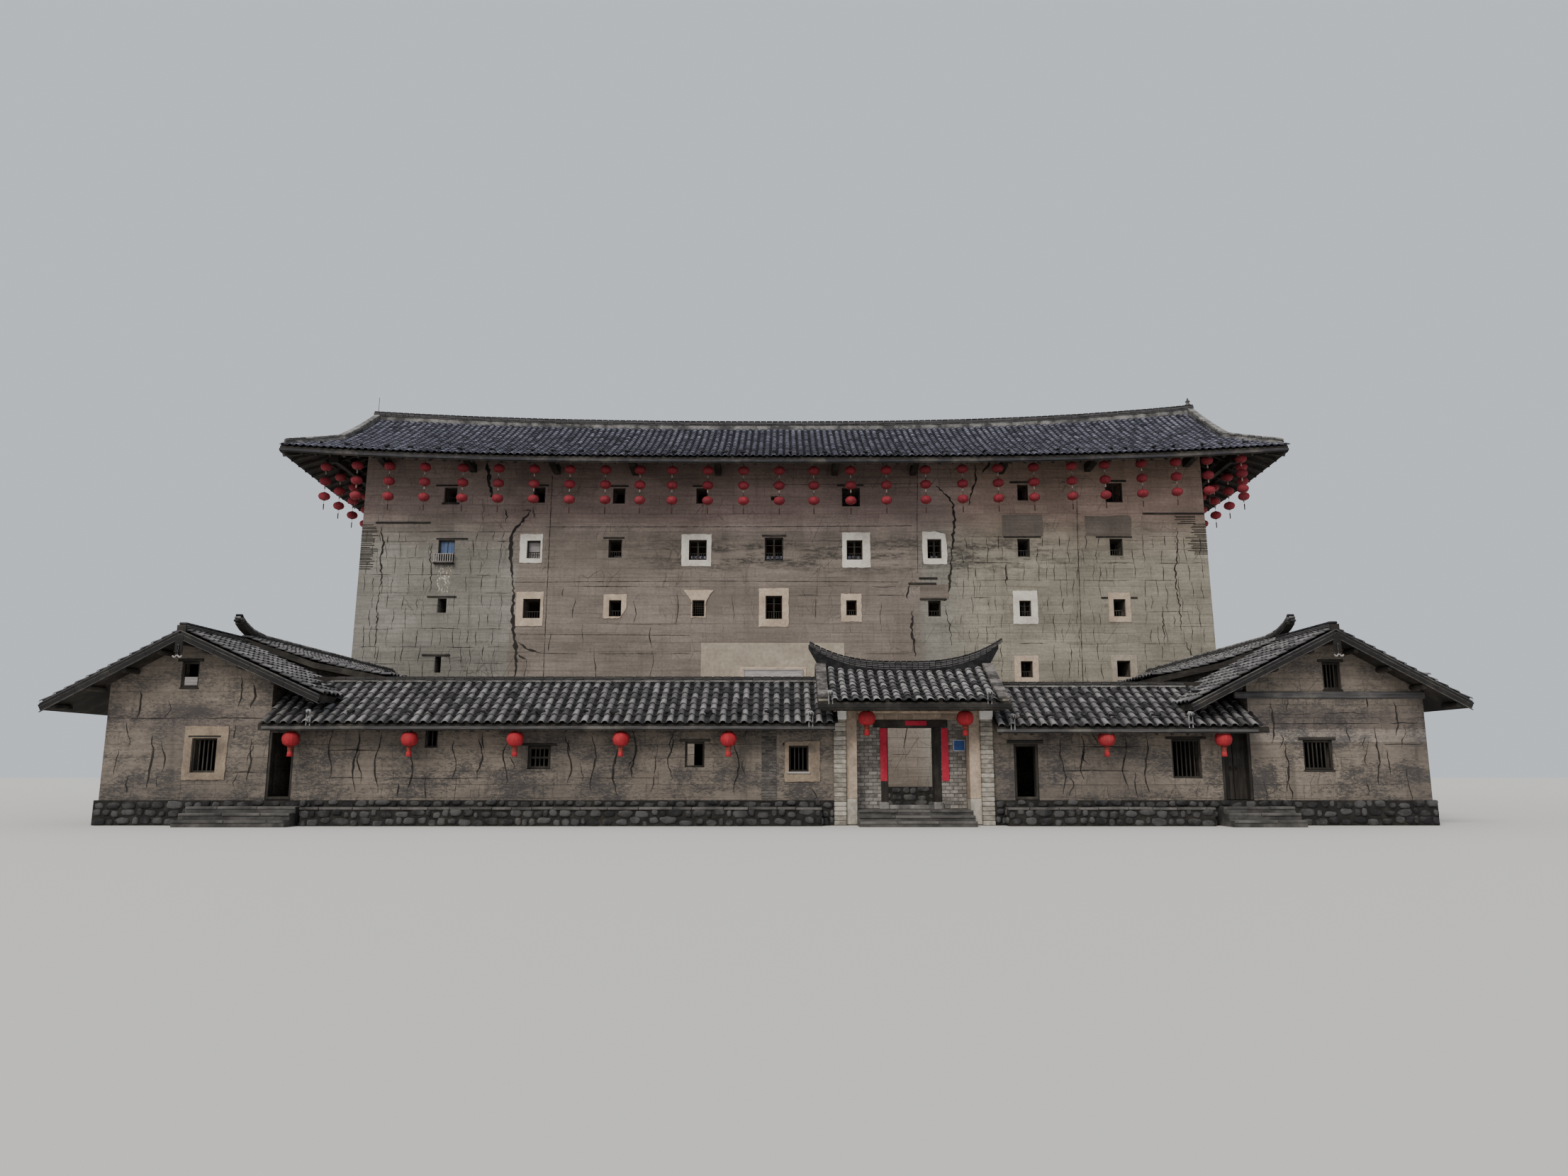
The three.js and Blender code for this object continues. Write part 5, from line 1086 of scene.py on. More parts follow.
# Rendered bands by the window's place in that list: outer left, right, foot and top, finish and moves.
bands = {
    8: ((-11.34, -10.37, 10.23, 11.49), "white", {}), 10: ((-4.4, -3.12, 10.08, 11.49), "white", {}),
    12: ((2.5, 3.71, 10.02, 11.57), "white", {}),
    13: ((5.94, 7.0, 10.17, 11.61), "white", {4: (-0.05, -0.12), 0: (0.05, 0.0)}),
    16: ((-11.4, -10.24, 7.49, 8.97), "cream", {}),
    17: ((-7.68, -6.68, 7.82, 8.86), "cream", {2: (-0.3, 0.0), 3: (-0.02, -0.1)}),
    18: ((-3.96, -3.32, 7.86, 9.05), "cream", {4: (0.32, 0), 6: (-0.32, 0), 3: (-0.02, 0.1), 7: (0.02, 0.1)}),
    19: ((-1.07, 0.2, 7.46, 9.12), "cream", {}), 20: ((2.42, 3.3, 7.68, 8.88), "cream", {}),
    22: ((9.75, 10.79, 7.58, 9.02), "white", {}), 23: ((13.8, 14.74, 7.66, 8.93), "cream", {}),
    24: ((9.7, 10.72, 5.02, 6.23), "cream", {}), 25: ((13.77, 14.87, 4.98, 6.26), "dull", {}),
}
# Lintel boards and loose boards as u from, u to, z.
lintels = [(-15.1, -14.15, 13.66), (-11.05, -10.2, 13.66), (-7.6, -6.75, 13.63), (-3.95, -3.15, 13.63),
           (2.3, 3.45, 13.66), (9.8, 10.75, 13.8), (13.85, 14.85, 13.86), (-14.95, -13.6, 11.29),
           (-7.77, -6.86, 11.33), (-0.95, 0.1, 11.43), (9.44, 11.05, 11.37), (13.41, 14.97, 11.37),
           (-15.2, -13.95, 8.76), (5.78, 6.9, 8.66), (-15.27, -14.09, 6.27), (-17.6, -15.25, 12.0),
           (15.5, 18.15, 12.4), (5.31, 6.5, 9.33), (5.76, 6.55, 9.56), (13.5, 13.78, 8.72),
           (14.76, 15.05, 8.72), (-14.8, -14.05, 12.86)]
curtain = {"from": -11.04, "to": -10.42, "foot": 10.43, "top": 11.21}
blueShutters = {"leaves": ((-14.82, -14.5), (-14.48, -14.17)), "foot": 10.62, "top": 11.2}
balcony = {"left": -14.95, "right": -14.17, "foot": 10.26, "top": 10.6, "bars": 9, "pitch": 0.098}


def fitBalcony(shape):
    left, right, foot, top = (balcony[part] for part in ("left", "right", "foot", "top"))
    for i in range(balcony["bars"]):
        at = left + i * balcony["pitch"]
        shape.box(at - 0.016, at + 0.016, -0.2, -0.176, foot + 0.01, top, slot=3)
    for z in (foot, top):
        shape.chamfered(left - 0.04, right + 0.04, -0.21, -0.165, z - 0.013, z + 0.013, cut=0.004, slot=3)
    shape.chamfered(left - 0.05, right + 0.05, -0.2, 0.0, foot - 0.09, foot - 0.04)
    for at in (left, right):
        for z in (foot, top):
            shape.chamfered(at - 0.02, at + 0.02, -0.19, 0.05, z - 0.02, z + 0.02, cut=0.006, slot=3)


def fitFrontWindows():
    shape = Shape(101, onFront)
    for window in frontWindows:
        fitWindow(shape, *window)
    for u, z, width, height in bareHoles:
        shape.chamfered(u - width / 2, u + width / 2, 0.3, 0.36, z + height / 2 - 0.07, z + height / 2)
    for left, right, z in lintels:
        thick = shape.random.uniform(0.055, 0.08)
        shape.chamfered(left, right, -0.05, 0.06, z - thick / 2, z + thick / 2, cut=0.012, slot=1)
    shape.box(curtain["from"], curtain["to"], 0.24, 0.26, curtain["foot"], curtain["top"], slot=3)
    for left, right in blueShutters["leaves"]:
        shape.chamfered(left, right, 0.16, 0.19, blueShutters["foot"], blueShutters["top"], slot=2)
    fitBalcony(shape)
    shape.build("frontWindows", [timberUp, timberAcross, bluePaint, paleBoard])


# The dull panel stands round the main doorway in three parts, with a cream board for the plaque on it.
# Crumbs of old render run down from the foot of the balcony.
doorPanel = {"parts": ((-3.5, -1.42, 0.83), (0.52, 2.55, 0.83), (-1.42, 0.52, 3.62)), "top": 6.78}
plaque = {"from": -1.67, "to": 0.75, "foot": 4.76, "top": 5.62, "margins": (0.05, 0.04), "frame": 0.06}
crumbs = {"count": 150, "middle": -14.55, "reach": 0.33, "top": 10.13, "fall": 1.15}


def layBands():
    shape = Shape(103, onFront)
    draw = shape.random
    finish = {"white": 0, "cream": 1, "dull": 2}
    for number, (outer, name, moves) in bands.items():
        renderBand(shape, frontWindows[number][:4], outer, finish[name], moves)
    for left, right, foot in doorPanel["parts"]:
        shape.box(left, right, -0.03, 0.02, foot, doorPanel["top"], slot=2, tone=0.5)
    shape.chamfered(plaque["from"] - 0.19, plaque["to"] + 0.2, -0.07, 0.0, plaque["foot"] - 0.14,
                    plaque["top"] + 0.13, cut=0.02, slot=1)
    for _ in range(crumbs["count"]):
        drop = draw.uniform(0, 1) ** 1.5
        u = crumbs["middle"] + draw.uniform(-crumbs["reach"], crumbs["reach"]) * (1 - 0.3 * drop)
        z = crumbs["top"] - crumbs["fall"] * drop
        path = [(u, z), (u + draw.uniform(-0.03, 0.03), z - draw.uniform(0.05, 0.13))]
        width = draw.uniform(0.02, 0.055) * (1 - 0.5 * drop)
        crack(shape, path, width, slot=draw.choice((0, 2)), rough=0.012)
    shape.build("renderBands", [limeWhite, limeCream, limePanel])


def hangPlaque():
    shape = Shape(105, onFront)
    left, right, foot, top = (plaque[part] for part in ("from", "to", "foot", "top"))
    shape.chamfered(left, right, -0.1, -0.03, foot, top, cut=0.015)
    (aside, above), frame = plaque["margins"], plaque["frame"]
    left, right, foot, top = left - aside, right + aside, foot - above, top + above
    for x0, x1, z0, z1 in ((left, right, top - frame, top), (left, right, foot, foot + frame),
                           (left, left + frame, foot, top), (right - frame, right, foot, top)):
        shape.chamfered(x0, x1, -0.13, -0.05, z0, z1, cut=0.012)
    shape.build("plaque", [paleBoard])


# Cracks as width and places, larger ones first.
cracks = [(0.1, [(-10.94, 12.53), (-11.26, 12.11), (-11.66, 11.65), (-11.75, 11.08), (-11.71, 10.16),
                 (-11.58, 9.44)]), (0.13, [(-11.58, 9.46), (-11.52, 8.83), (-11.51, 7.82), (-11.41, 7.02),
                                           (-11.31, 6.22), (-11.3, 5.25)]),
          (0.12, [(-12.97, 14.76), (-12.78, 13.78), (-12.67, 13.21), (-12.51, 13.03)]),
          (0.04, [(-11.32, 12.53), (-10.9, 12.55)]), (0.04, [(-10.85, 12.6), (-10.8, 12.2)]),
          (0.06, [(-17.36, 11.8), (-17.24, 11.18), (-17.29, 10.36), (-17.2, 9.64), (-17.24, 9.24)]),
          (0.035, [(-17.24, 9.24), (-17.28, 8.33), (-17.26, 7.22), (-17.24, 6.12)]),
          (0.05, [(-12.04, 12.61), (-11.97, 12.3), (-12.01, 12.01)]),
          (0.035, [(-15.15, 11.13), (-15.17, 10.36), (-15.08, 9.64), (-15.09, 8.93)]),
          (0.06, [(-11.23, 6.82), (-10.88, 6.52), (-10.27, 6.37)]), (0.05, [(-11.2, 6.3), (-10.9, 6.1)]),
          (0.07, [(9.17, 15.05), (8.93, 14.65), (8.65, 14.25)]),
          (0.06, [(8.33, 14.6), (8.33, 13.91), (8.06, 13.18), (8.0, 12.79)]),
          (0.08, [(6.6, 13.63), (6.97, 13.29), (7.31, 12.9), (7.38, 12.23), (7.27, 11.33), (7.17, 10.34)]),
          (0.08, [(7.17, 10.34), (7.06, 9.46), (7.0, 8.8), (6.8, 8.58)]),
          (0.08, [(5.45, 8.15), (5.41, 7.28), (5.5, 6.85), (5.53, 6.21)]),
          (0.09, [(5.36, 9.24), (5.24, 8.69)]), (0.05, [(9.49, 10.12), (9.49, 9.57), (9.51, 9.24)]),
          (0.04, [(16.95, 11.78), (16.89, 10.56), (16.72, 9.9), (16.76, 8.8), (16.82, 8.37), (16.82, 7.28)]),
          (0.035, [(6.85, 8.37), (6.94, 7.93), (7.04, 7.39), (7.07, 6.64)]),
          (0.03, [(16.09, 8.37), (16.09, 7.5), (16.09, 6.64)]),
          (0.03, [(16.96, 6.85), (17.24, 6.21), (17.24, 5.89)])]
# Straight joints between the parts of the wall, in the same form.
seams = [
    (0.028, [(-10.07, 14.1), (-10.09, 10.67), (-10.11, 7.32), (-10.11, 5.25)]),
    (0.028, [(12.69, 13.35), (12.64, 11.67), (12.61, 9.46), (12.58, 7.28), (12.55, 5.14)]),
    (0.022, [(5.81, 14.37), (5.74, 11.78), (5.72, 9.79)]),
    (0.025, [(-10.28, 11.82), (-3.23, 11.82), (5.5, 11.86)]),
    (0.022, [(-11.49, 9.39), (-3.2, 9.44), (4.9, 9.4)]), (0.02, [(-11.3, 7.15), (-4, 7.1)]),
    (0.02, [(-0.5, 13.7), (6.5, 13.75)]),
]
wallFoot = 1.0
blocky = {"lift": 0.72, "pitch": 0.52, "sway": 0.04, "loose": 0.1, "widest": 0.034}
sparse = {"lift": 1.3, "pitch": 2.4}


def crackFront():
    shape = Shape(107, onFront)
    breadth = 1.35
    edges = [outer for outer, _, _ in bands.values()]
    holes = [window[:4] for window in frontWindows] + bareHoles + [
        ((left + right) / 2, (foot + top) / 2, right - left, top - foot) for left, right, foot, top in edges]
    for width, path in cracks:
        crack(shape, path, width * breadth, rough=0.045)
    for width, path in seams:
        crack(shape, path, width, rough=0.008, tapered=False)
    for u0, u1, top, look in ((-18.0, -11.8, 11.6, blocky), (7.5, 18.1, 11.4, blocky),
                              (-11.0, 5.2, 9.2, sparse)):
        shrinkageCracks(shape, u0, u1, wallFoot, top, holes=holes, **look)
    shape.build("wallCracksFront", [darkGap])


# Windows and cracks of the three walls that the photograph doesn't show.
storeyLevels = (8.25, 10.83, 13.24)
backColumns = (-14.5, -10.7, -7.2, -3.65, 0, 3.65, 7.2, 10.7, 14.5)
sideColumns = (4.6, 9.1, 13.63, 18.2, 22.7)
plainWindow = {"width": 0.55, "height": 0.75}


def dressOtherWalls():
    width, height = plainWindow["width"], plainWindow["height"]
    for name, place, columns, reach, seed in (("Back", onBack, backColumns, (-18.0, 18.0), 111),
                                              ("Right", onRight, sideColumns, (-0.4, 27.6), 113),
                                              ("Left", onLeft, [-u for u in sideColumns], (-27.6, 0.4),
                                               115)):
        shape = Shape(seed, place)
        places = [(u, z) for z in storeyLevels for u in columns]
        holes = [(u, z, width, height) for u, z in places]
        shrinkageCracks(shape, *reach, wallFoot, 11.8, holes=holes)
        for _ in range(6):
            u, z = shape.random.uniform(*reach) * 0.9, shape.random.uniform(6, 13)
            crack(shape, [(u, z), (u + 0.3, z - 1), (u + 0.1, z - 2.2)], 0.06)
        shape.build("wallCracks" + name, [darkGap])
        shape = Shape(seed + 1, place)
        for u, z in places:
            fitWindow(shape, u, z, width, height, "rail" if shape.random.random() < 0.6 else "bars")
            shape.chamfered(u - 0.5, u + 0.5, -0.03, 0.06, z + 0.4, z + 0.45)
        shape.build("windows" + name, [timberUp])


# A thin patch of other render with a hand-laid edge.
def patch(shape, left, right, foot, top):
    draw = shape.random
    loose, steps = 0.03, 6
    corners = [(left, foot), (right, foot), (right, top), (left, top)]
    edge = []
    for (u0, z0), (u1, z1) in zip(corners, corners[1:] + corners[:1]):
        edge += [(u0 + (u1 - u0) * k / steps + draw.uniform(-loose, loose),
                  z0 + (z1 - z0) * k / steps + draw.uniform(-loose, loose)) for k in range(steps)]
    edge = np.array(edge)
    middle = edge.mean(0)
    layers = ((edge, 0.02), (edge, -0.008), (middle + (edge - middle) * 0.96, -0.014),
              (middle + edge * 0, -0.014))
    points = [np.column_stack([ring[:, 0], np.full(len(edge), v), ring[:, 1]]) for ring, v in layers]
    shape.add(np.concatenate(points), ringFaces(len(layers), len(edge), flipped=True))


# Corner repairs of the front wall: strips stacked over a height. Their outer ends keep to the corner.
cornerStrips = (-18.19, -17.6, 9.9, 11.92), (16.85, 17.75, 11.95, 12.3), (17.45, 18.2, 10.6, 11.95)
patches = (9.4, 11.16, 11.42, 12.34), (13.0, 14.97, 11.42, 12.3), (5.79, 7.01, 8.68, 9.29)


def repairFacade():
    shape = Shape(121, onFront)
    draw = shape.random
    for left, right, foot, top in cornerStrips:
        z = top
        while z > foot:
            inset = draw.uniform(0.0, 0.25)
            reach = (right - left) * draw.uniform(0.5, 1.0) + inset
            ends = (left, left + reach) if left < 0 else (right - reach, right)
            shape.chamfered(*ends, -0.02, 0.03, z - 0.028, z, cut=0.006)
            z -= draw.uniform(0.06, 0.1)
    shape.build("cornerRepairs", [timberAcross])
    shape = Shape(123, onFront)
    for edges in patches:
        patch(shape, *edges)
    shape.build("wallPatches", [earthPatch])


fitFrontWindows()
layBands()
hangPlaque()
crackFront()
dressOtherWalls()
repairFacade()


# Sample points along a roof line as x, y, z.
def roofLine(height, start, end, count, raised=0.0):
    points = []
    for i in range(count + 1):
        share = i / count
        x, y = (start[k] * (1 - share) + end[k] * share for k in range(2))
        points.append((x, y, levelAt(height, x, y) + raised))
    return points


# A board or beam that follows sample points, in straight lengths.
def follow(shape, points, width, height, raised=0.0, **look):
    for a, b in zip(points, points[1:]):
        shape.bar((a[0], a[1], a[2] + raised), (b[0], b[1], b[2] + raised), width, height, **look)


# Ridge courses: stacked dark tiles laid flat, and a cap in hand-made lengths over them.
def ridgeCourse(shape, points, width, height, layers=3, capSlot=1, capHeight=0.07):
    draw = shape.random
    for a, b in zip(points, points[1:]):
        a, b = np.array(a), np.array(b)
        pieces = max(1, round(np.linalg.norm(b - a) / 0.3))
        for k in range(pieces):
            p = a + (b - a) * (k + 0.03) / pieces
            q = a + (b - a) * (k + 0.97) / pieces
            for layer in range(layers):
                lift = height * (layer + 0.5) / layers
                wide = width * (1.0 + (0.1 if layer % 2 else 0.0)) + draw.uniform(-0.012, 0.012)
                shape.bar(p + [0, 0, lift], q + [0, 0, lift + draw.uniform(-0.006, 0.006)], wide,
                          height / layers * 0.72, mark=0.25)
            up = [0, 0, height + capHeight / 2]
            shape.bar(p + up, q + up, width * 0.8, capHeight, cut=0.02, slot=capSlot)


# Loose bricks that hold the lowest courses down.
def weights(shape, points, pitch):
    for a, b in zip(points, points[1:]):
        a, b = np.array(a), np.array(b)
        count = max(1, round(np.linalg.norm(b - a) / pitch))
        for k in range(count):
            at = a + (b - a) * (k + shape.random.uniform(0.2, 0.8)) / count
            turn = shape.random.uniform(0, math.pi)
            half = np.array([math.cos(turn), math.sin(turn), 0]) * shape.random.uniform(0.1, 0.14)
            shape.bar(at - half, at + half, 0.11, 0.065, cut=0.01)


# Rafters are counted along a front slope and a side slope. The verge beams hang under the gablets' ends.
mainEave = {"frontRafters": 71, "sideRafters": 51, "end": 0.3, "stock": (0.09, 0.1), "drop": 0.045,
            "fascia": (0.035, 0.115), "fasciaDrop": 0.135, "hip": (0.16, 0.22), "verge": (0.2, 0.34)}
mainWeights = {"inside": 0.42, "ends": 0.9, "lift": 0.18, "pitch": 0.95}


def dressMainEaves():
    rafters = Shape(131)
    boards = Shape(133)
    bricks = Shape(135)
    slab = mainRoof["slab"]
    below = slab + mainEave["drop"]
    end, shortest = mainEave["end"], 0.4
    rearEave = 2 * centreY - eaveY
    inside, ends = mainWeights["inside"], mainWeights["ends"]
    lift, pitch = mainWeights["lift"], mainWeights["pitch"]
    fascia = {"raised": -mainEave["fasciaDrop"]}
    for back in (False, True):
        flip = flipFor(back)
        count = mainEave["frontRafters"]
        for i in range(count):
            x = -eaveX + end + i * 2 * (eaveX - end) / (count - 1)
            inY = min(facadeY, eaveY + (eaveX - abs(x)))
            if inY - eaveY < shortest:
                continue
            places = [(x, flip(y), levelAt(mainHeight, x, flip(y)) - below) for y in (eaveY + 0.06, inY)]
            rafters.bar(*places, *mainEave["stock"])
        y = flip(eaveY - 0.02)
        follow(boards, roofLine(mainHeight, (-eaveX, y), (eaveX, y), 24), *mainEave["fascia"], **fascia)
        y = flip(eaveY + inside)
        weights(bricks, roofLine(mainHeight, (-eaveX + ends, y), (eaveX - ends, y), 20, lift), pitch)
    for side in (-1, 1):
        count = mainEave["sideRafters"]
        for i in range(count):
            y = eaveY + end + i * 2 * (centreY - eaveY - end) / (count - 1)
            reach = min(eaveX - earthBlock["halfWidth"], fromEnd(y))
            if reach < shortest:
                continue
            places = [(side * (eaveX - t), y, levelAt(sideHeight, side * (eaveX - t), y) - below)
                      for t in (0.06, reach)]
            rafters.bar(*places, *mainEave["stock"])
        x = side * (eaveX + 0.02)
        follow(boards, roofLine(sideHeight, (x, eaveY), (x, rearEave), 18), *mainEave["fascia"], **fascia)
        x = side * (mainRoof["gablet"] - 0.08)
        for eave, towards in ((eaveY, 1), (rearEave, -1)):
            line = roofLine(sideHeight, (x, eave + towards * skirt), (x, eave + towards * 10.2), 4)
            follow(rafters, line, *mainEave["verge"], raised=-0.08, cut=0.01)
        x = side * (eaveX - inside)
        weights(bricks, roofLine(sideHeight, (x, eaveY + ends), (x, rearEave - ends), 14, lift), pitch)
        for eave, towards in ((eaveY, 1), (rearEave, -1)):
            tip, root = 0.1, eaveX - earthBlock["halfWidth"]
            places = [(side * (eaveX - t), eave + towards * t,
                       levelAt(mainHeight, side * (eaveX - t), eave + towards * t) - slab - 0.11)
                      for t in (tip, root)]
            rafters.bar(*places, *mainEave["hip"], cut=0.015)
    rafters.build("eaveRafters", [timberDeep])
    boards.build("eaveFascia", [eaveBoard])
    bricks.build("eaveWeights", [roofTile])


# Courses as width and height. Those of verges and hips are one tile high under a pale cap.
mainRidge = {"front": (0.4, 0.17), "frontLift": 0.16, "verge": (0.34, 0.05), "vergeLift": 0.2,
             "hip": (0.32, 0.05), "hipLift": 0.16, "side": (0.38, 0.11), "sideLift": 0.12}
paleCap = {"layers": 1, "capHeight": 0.08}


def dressMainRidges():
    gablet = mainRoof["gablet"]
    for back in (False, True):
        shape = Shape(141 + back)
        flip = flipFor(back)
        ridge = flip(ridgeLineY)
        line = roofLine(mainHeight, (-gablet, ridge), (gablet, ridge), 28, mainRidge["frontLift"])
        ridgeCourse(shape, line, *mainRidge["front"], capSlot=0)
        for side in (-1, 1):
            x = side * (gablet - 0.15)
            lift = mainRidge["vergeLift"]
            outer = roofLine(mainHeight, (x, flip(eaveY + skirt)), (x, ridge), 7, lift)
            inner = roofLine(mainHeight, (x, ridge), (x, flip(ridgeLineY + 3.2)), 6, lift)
            ridgeCourse(shape, outer, *mainRidge["verge"], **paleCap)
            ridgeCourse(shape, inner, *mainRidge["verge"], **paleCap)
            hip = []
            for t in np.linspace(0.12, skirt, 5):
                x, y = side * (eaveX - t), flip(eaveY + t)
                top = max(levelAt(mainHeight, x, y), levelAt(sideHeight, x, y))
                hip.append((x, y, top + mainRidge["hipLift"]))
            ridgeCourse(shape, hip, *mainRidge["hip"], **paleCap)
        shape.build("mainRidge" + ("Back" if back else "Front"), [roofTile, ridgeLime])
    shape = Shape(145)
    start = ridgeLineY + 0.8
    for side in (-1, 1):
        x = side * (eaveX - mainRoof["run"])
        line = roofLine(sideHeight, (x, start), (x, 2 * centreY - start), 18, mainRidge["sideLift"])
        ridgeCourse(shape, line, *mainRidge["side"], layers=2, capSlot=0)
    shape.build("mainRidgeSides", [roofTile, ridgeLime])


ridgeRod = {"x": -18.95, "top": 18.7}
finialProfile = [(0.0, 0.42), (0.03, 0.4), (0.05, 0.3), (0.12, 0.24), (0.06, 0.17), (0.14, 0.08),
                 (0.14, -0.1)]


# A rod at the left end of the main ridge and a turned finial at the right end.
def makeFinials():
    shape = Shape(147)
    x, top = ridgeRod["x"], ridgeRod["top"]
    base = levelAt(mainHeight, x, ridgeLineY) + 0.3
    shape.turned([(0.0, top), (0.012, top - 0.02), (0.014, top - 1.1), (0.03, top - 1.12), (0.03, top - 1.2),
                  (0.016, top - 1.22), (0.016, base)], (x, ridgeLineY, 0), sides=8)
    shape.build("ridgeRod", [darkIron])
    shape = Shape(149)
    x = mainRoof["gablet"] - 0.2
    shape.turned(finialProfile, (x, ridgeLineY, levelAt(mainHeight, x, ridgeLineY) + 0.36), sides=14)
    shape.build("ridgeFinial", [ridgeLime])


dressMainEaves()
dressMainRidges()
makeFinials()


# A ribbed lantern round its centre, made of cloth drawn in between twelve ribs.
lanternProfile = [(0.3, 0.5), (0.62, 0.46), (0.86, 0.32), (0.97, 0.12), (1.0, 0.0), (0.97, -0.12),
                  (0.86, -0.32), (0.62, -0.46), (0.3, -0.5)]


def lanternBody(shape, centre, radius, height):
    sides, drawn = 24, 0.945
    angles = np.arange(sides) * 2 * math.pi / sides
    drawnIn = np.where(np.arange(sides) % 2 == 0, 1.0, drawn)
    rings = []
    for share, level in lanternProfile:
        r = radius * share * (1 - (1 - drawnIn) * min(1.0, share * 1.2))
        rings.append(np.column_stack([r * np.cos(angles), r * np.sin(angles),
                                      np.full(sides, level * height)]))
    shape.add(np.concatenate(rings) + np.array(centre), ringFaces(len(rings), sides), smooth=True)


def capDisc(shape, centre, radius, height):
    profile = [(0.0, 0.5), (0.85, 0.5), (1.0, 0.2), (1.0, -0.2), (0.85, -0.5), (0.0, -0.5)]
    shape.turned([(r * radius, z * height) for r, z in profile], centre, sides=12, slot=2)


# The profile is given as radii and depths below a level.
def turnBelow(shape, x, y, level, profile, sides, slot):
    shape.turned([(r, level - depth) for r, depth in profile], (x, y, 0), sides=sides, slot=slot)


lanternString = {"out": 1.33, "radius": 0.245, "height": 0.318, "levels": (13.9, 13.26, 12.6), "tassel": 0.6,
                 "leftRise": 0.2, "rightRise": 0.4, "sideRise": 0.4, "riseFrom": 16.8, "under": 0.05}
hangingPole = {"stock": (0.06, 0.06), "under": 0.035, "end": 0.3}
frontStrings = (-17.96, -16.6, -15.1, -13.5, -12.0, -10.5, -9.0, -7.5, -6.05, -4.7, -3.2, -1.7, -0.2, 1.25,
                2.8, 4.3, 5.95, 7.5, 9.0, 10.5, 12.1, 13.5, 15.05, 16.5, 17.84, 19.26)
sideStrings = (-1.2, 0.3, 1.8, 3.3, 4.8, 6.3, 7.8)


# A line of three lanterns and a tassel. The strings hang higher towards the corners, as the eave rises.
def hangString(shape, x, y, top, rise):
    draw = shape.random
    radius, height = lanternString["radius"], lanternString["height"]
    rise = min(rise, top - 0.2 - lanternString["levels"][0])
    levels = [level + rise for level in lanternString["levels"]]
    shape.turned([(0.0, top + 0.02), (0.008, top + 0.02), (0.008, levels[-1] + 0.1), (0.0, levels[-1])],
                 (x, y, 0), sides=6, slot=3)
    for level in levels:
        lanternBody(shape, (x, y, level), radius * draw.uniform(0.96, 1.0), height * draw.uniform(0.96, 1.0))
        for sign in (-1, 1):
            capDisc(shape, (x, y, level + sign * (height / 2 + 0.006)), 0.075, 0.03)
    length = lanternString["tassel"] - height / 2
    turnBelow(shape, x, y, levels[-1] - height / 2, [(0.0, 0.0), (0.006, 0.01), (0.006, 0.16), (0.026, 0.19),
                                                     (0.022, length - 0.03), (0.0, length)], 8, 3)
    for level in levels[:-1]:
        turnBelow(shape, x, y, level - height / 2 - 0.03,
                  [(0.0, 0.0), (0.026, 0.0), (0.032, 0.1), (0.028, 0.14), (0.0, 0.14)], 8, 1)


def hangPole(shape, height, start, end, count):
    line = roofLine(height, start, end, count, -mainRoof["slab"] - hangingPole["under"])
    follow(shape, line, *hangingPole["stock"], slot=4)


def hangMainLanterns():
    under = mainRoof["slab"] + lanternString["under"]
    past = hangingPole["end"]
    cloths = [lanternDarker, lanternPale, lanternCap, tasselDark, timberAcross]
    y = facadeY - lanternString["out"]
    shape = Shape(151)
    for x in frontStrings:
        rise = lanternString["leftRise" if x < 0 else "rightRise"] * (x / lanternString["riseFrom"]) ** 2
        hangString(shape, x, y, levelAt(mainHeight, x, y) - under, rise)
    hangPole(shape, mainHeight, (frontStrings[0] - past, y), (frontStrings[-1] + past, y), 16)
    shape.build("lanternStringsFront", cloths, replaced=["lantern_strings_front"])
    for side, name in ((-1, "left"), (1, "right")):
        x = side * (earthBlock["halfWidth"] + lanternString["out"])
        shape = Shape(153 + side)
        for y in sideStrings:
            hangString(shape, x, y, levelAt(sideHeight, x, y) - under, lanternString["sideRise"])
        hangPole(shape, sideHeight, (x, sideStrings[0] - past), (x, sideStrings[-1] + past), 8)
        shape.build("lanternStrings" + name.title(), cloths,
                    replaced=["lantern_strings_" + name])


# Low lanterns: a red globe, a small drum, a collar and a red sleeve under it.
lowLanterns = {"radius": 0.238, "height": 0.385, "out": 0.45, "rangeLevel": 2.3, "gateLevel": 2.86,
               "left": (-13.3, -10.1, -7.25, -4.4, -1.5), "right": (8.7, 11.85), "gate": (2.24, 4.9)}


def hangLow(shape, x, y, centre, hook):
    shape.turned([(0.0, hook), (0.01, hook), (0.01, centre + 0.18), (0.0, centre + 0.17)], (x, y, 0),
                 sides=6, slot=3)
    lanternBody(shape, (x, y, centre), lowLanterns["radius"] * shape.random.uniform(0.96, 1.0),
                lowLanterns["height"])
    for sign in (-1, 1):
        capDisc(shape, (x, y, centre + sign * 0.208), 0.085, 0.035)
    drum = [(0.0, 0.0), (0.07, 0.005), (0.074, 0.05), (0.05, 0.06)]
    collar = [(0.05, 0.055), (0.066, 0.06), (0.068, 0.11), (0.06, 0.115)]
    sleeve = [(0.06, 0.11), (0.066, 0.115), (0.078, 0.24), (0.07, 0.245), (0.0, 0.235)]
    for profile, slot in ((drum, 2), (collar, 2), (sleeve, 0)):
        turnBelow(shape, x, y, centre - 0.225, profile, 16, slot)


# A row of low lanterns hangs from a batten, whose top is given.
def hangRow(shape, xs, level, y, under):
    for x in xs:
        hangLow(shape, x, y, level, under - 0.02)
    shape.chamfered(min(xs) - 0.1, max(xs) + 0.1, y - 0.025, y + 0.025, under - 0.05, under, cut=0.006,
                    slot=4)


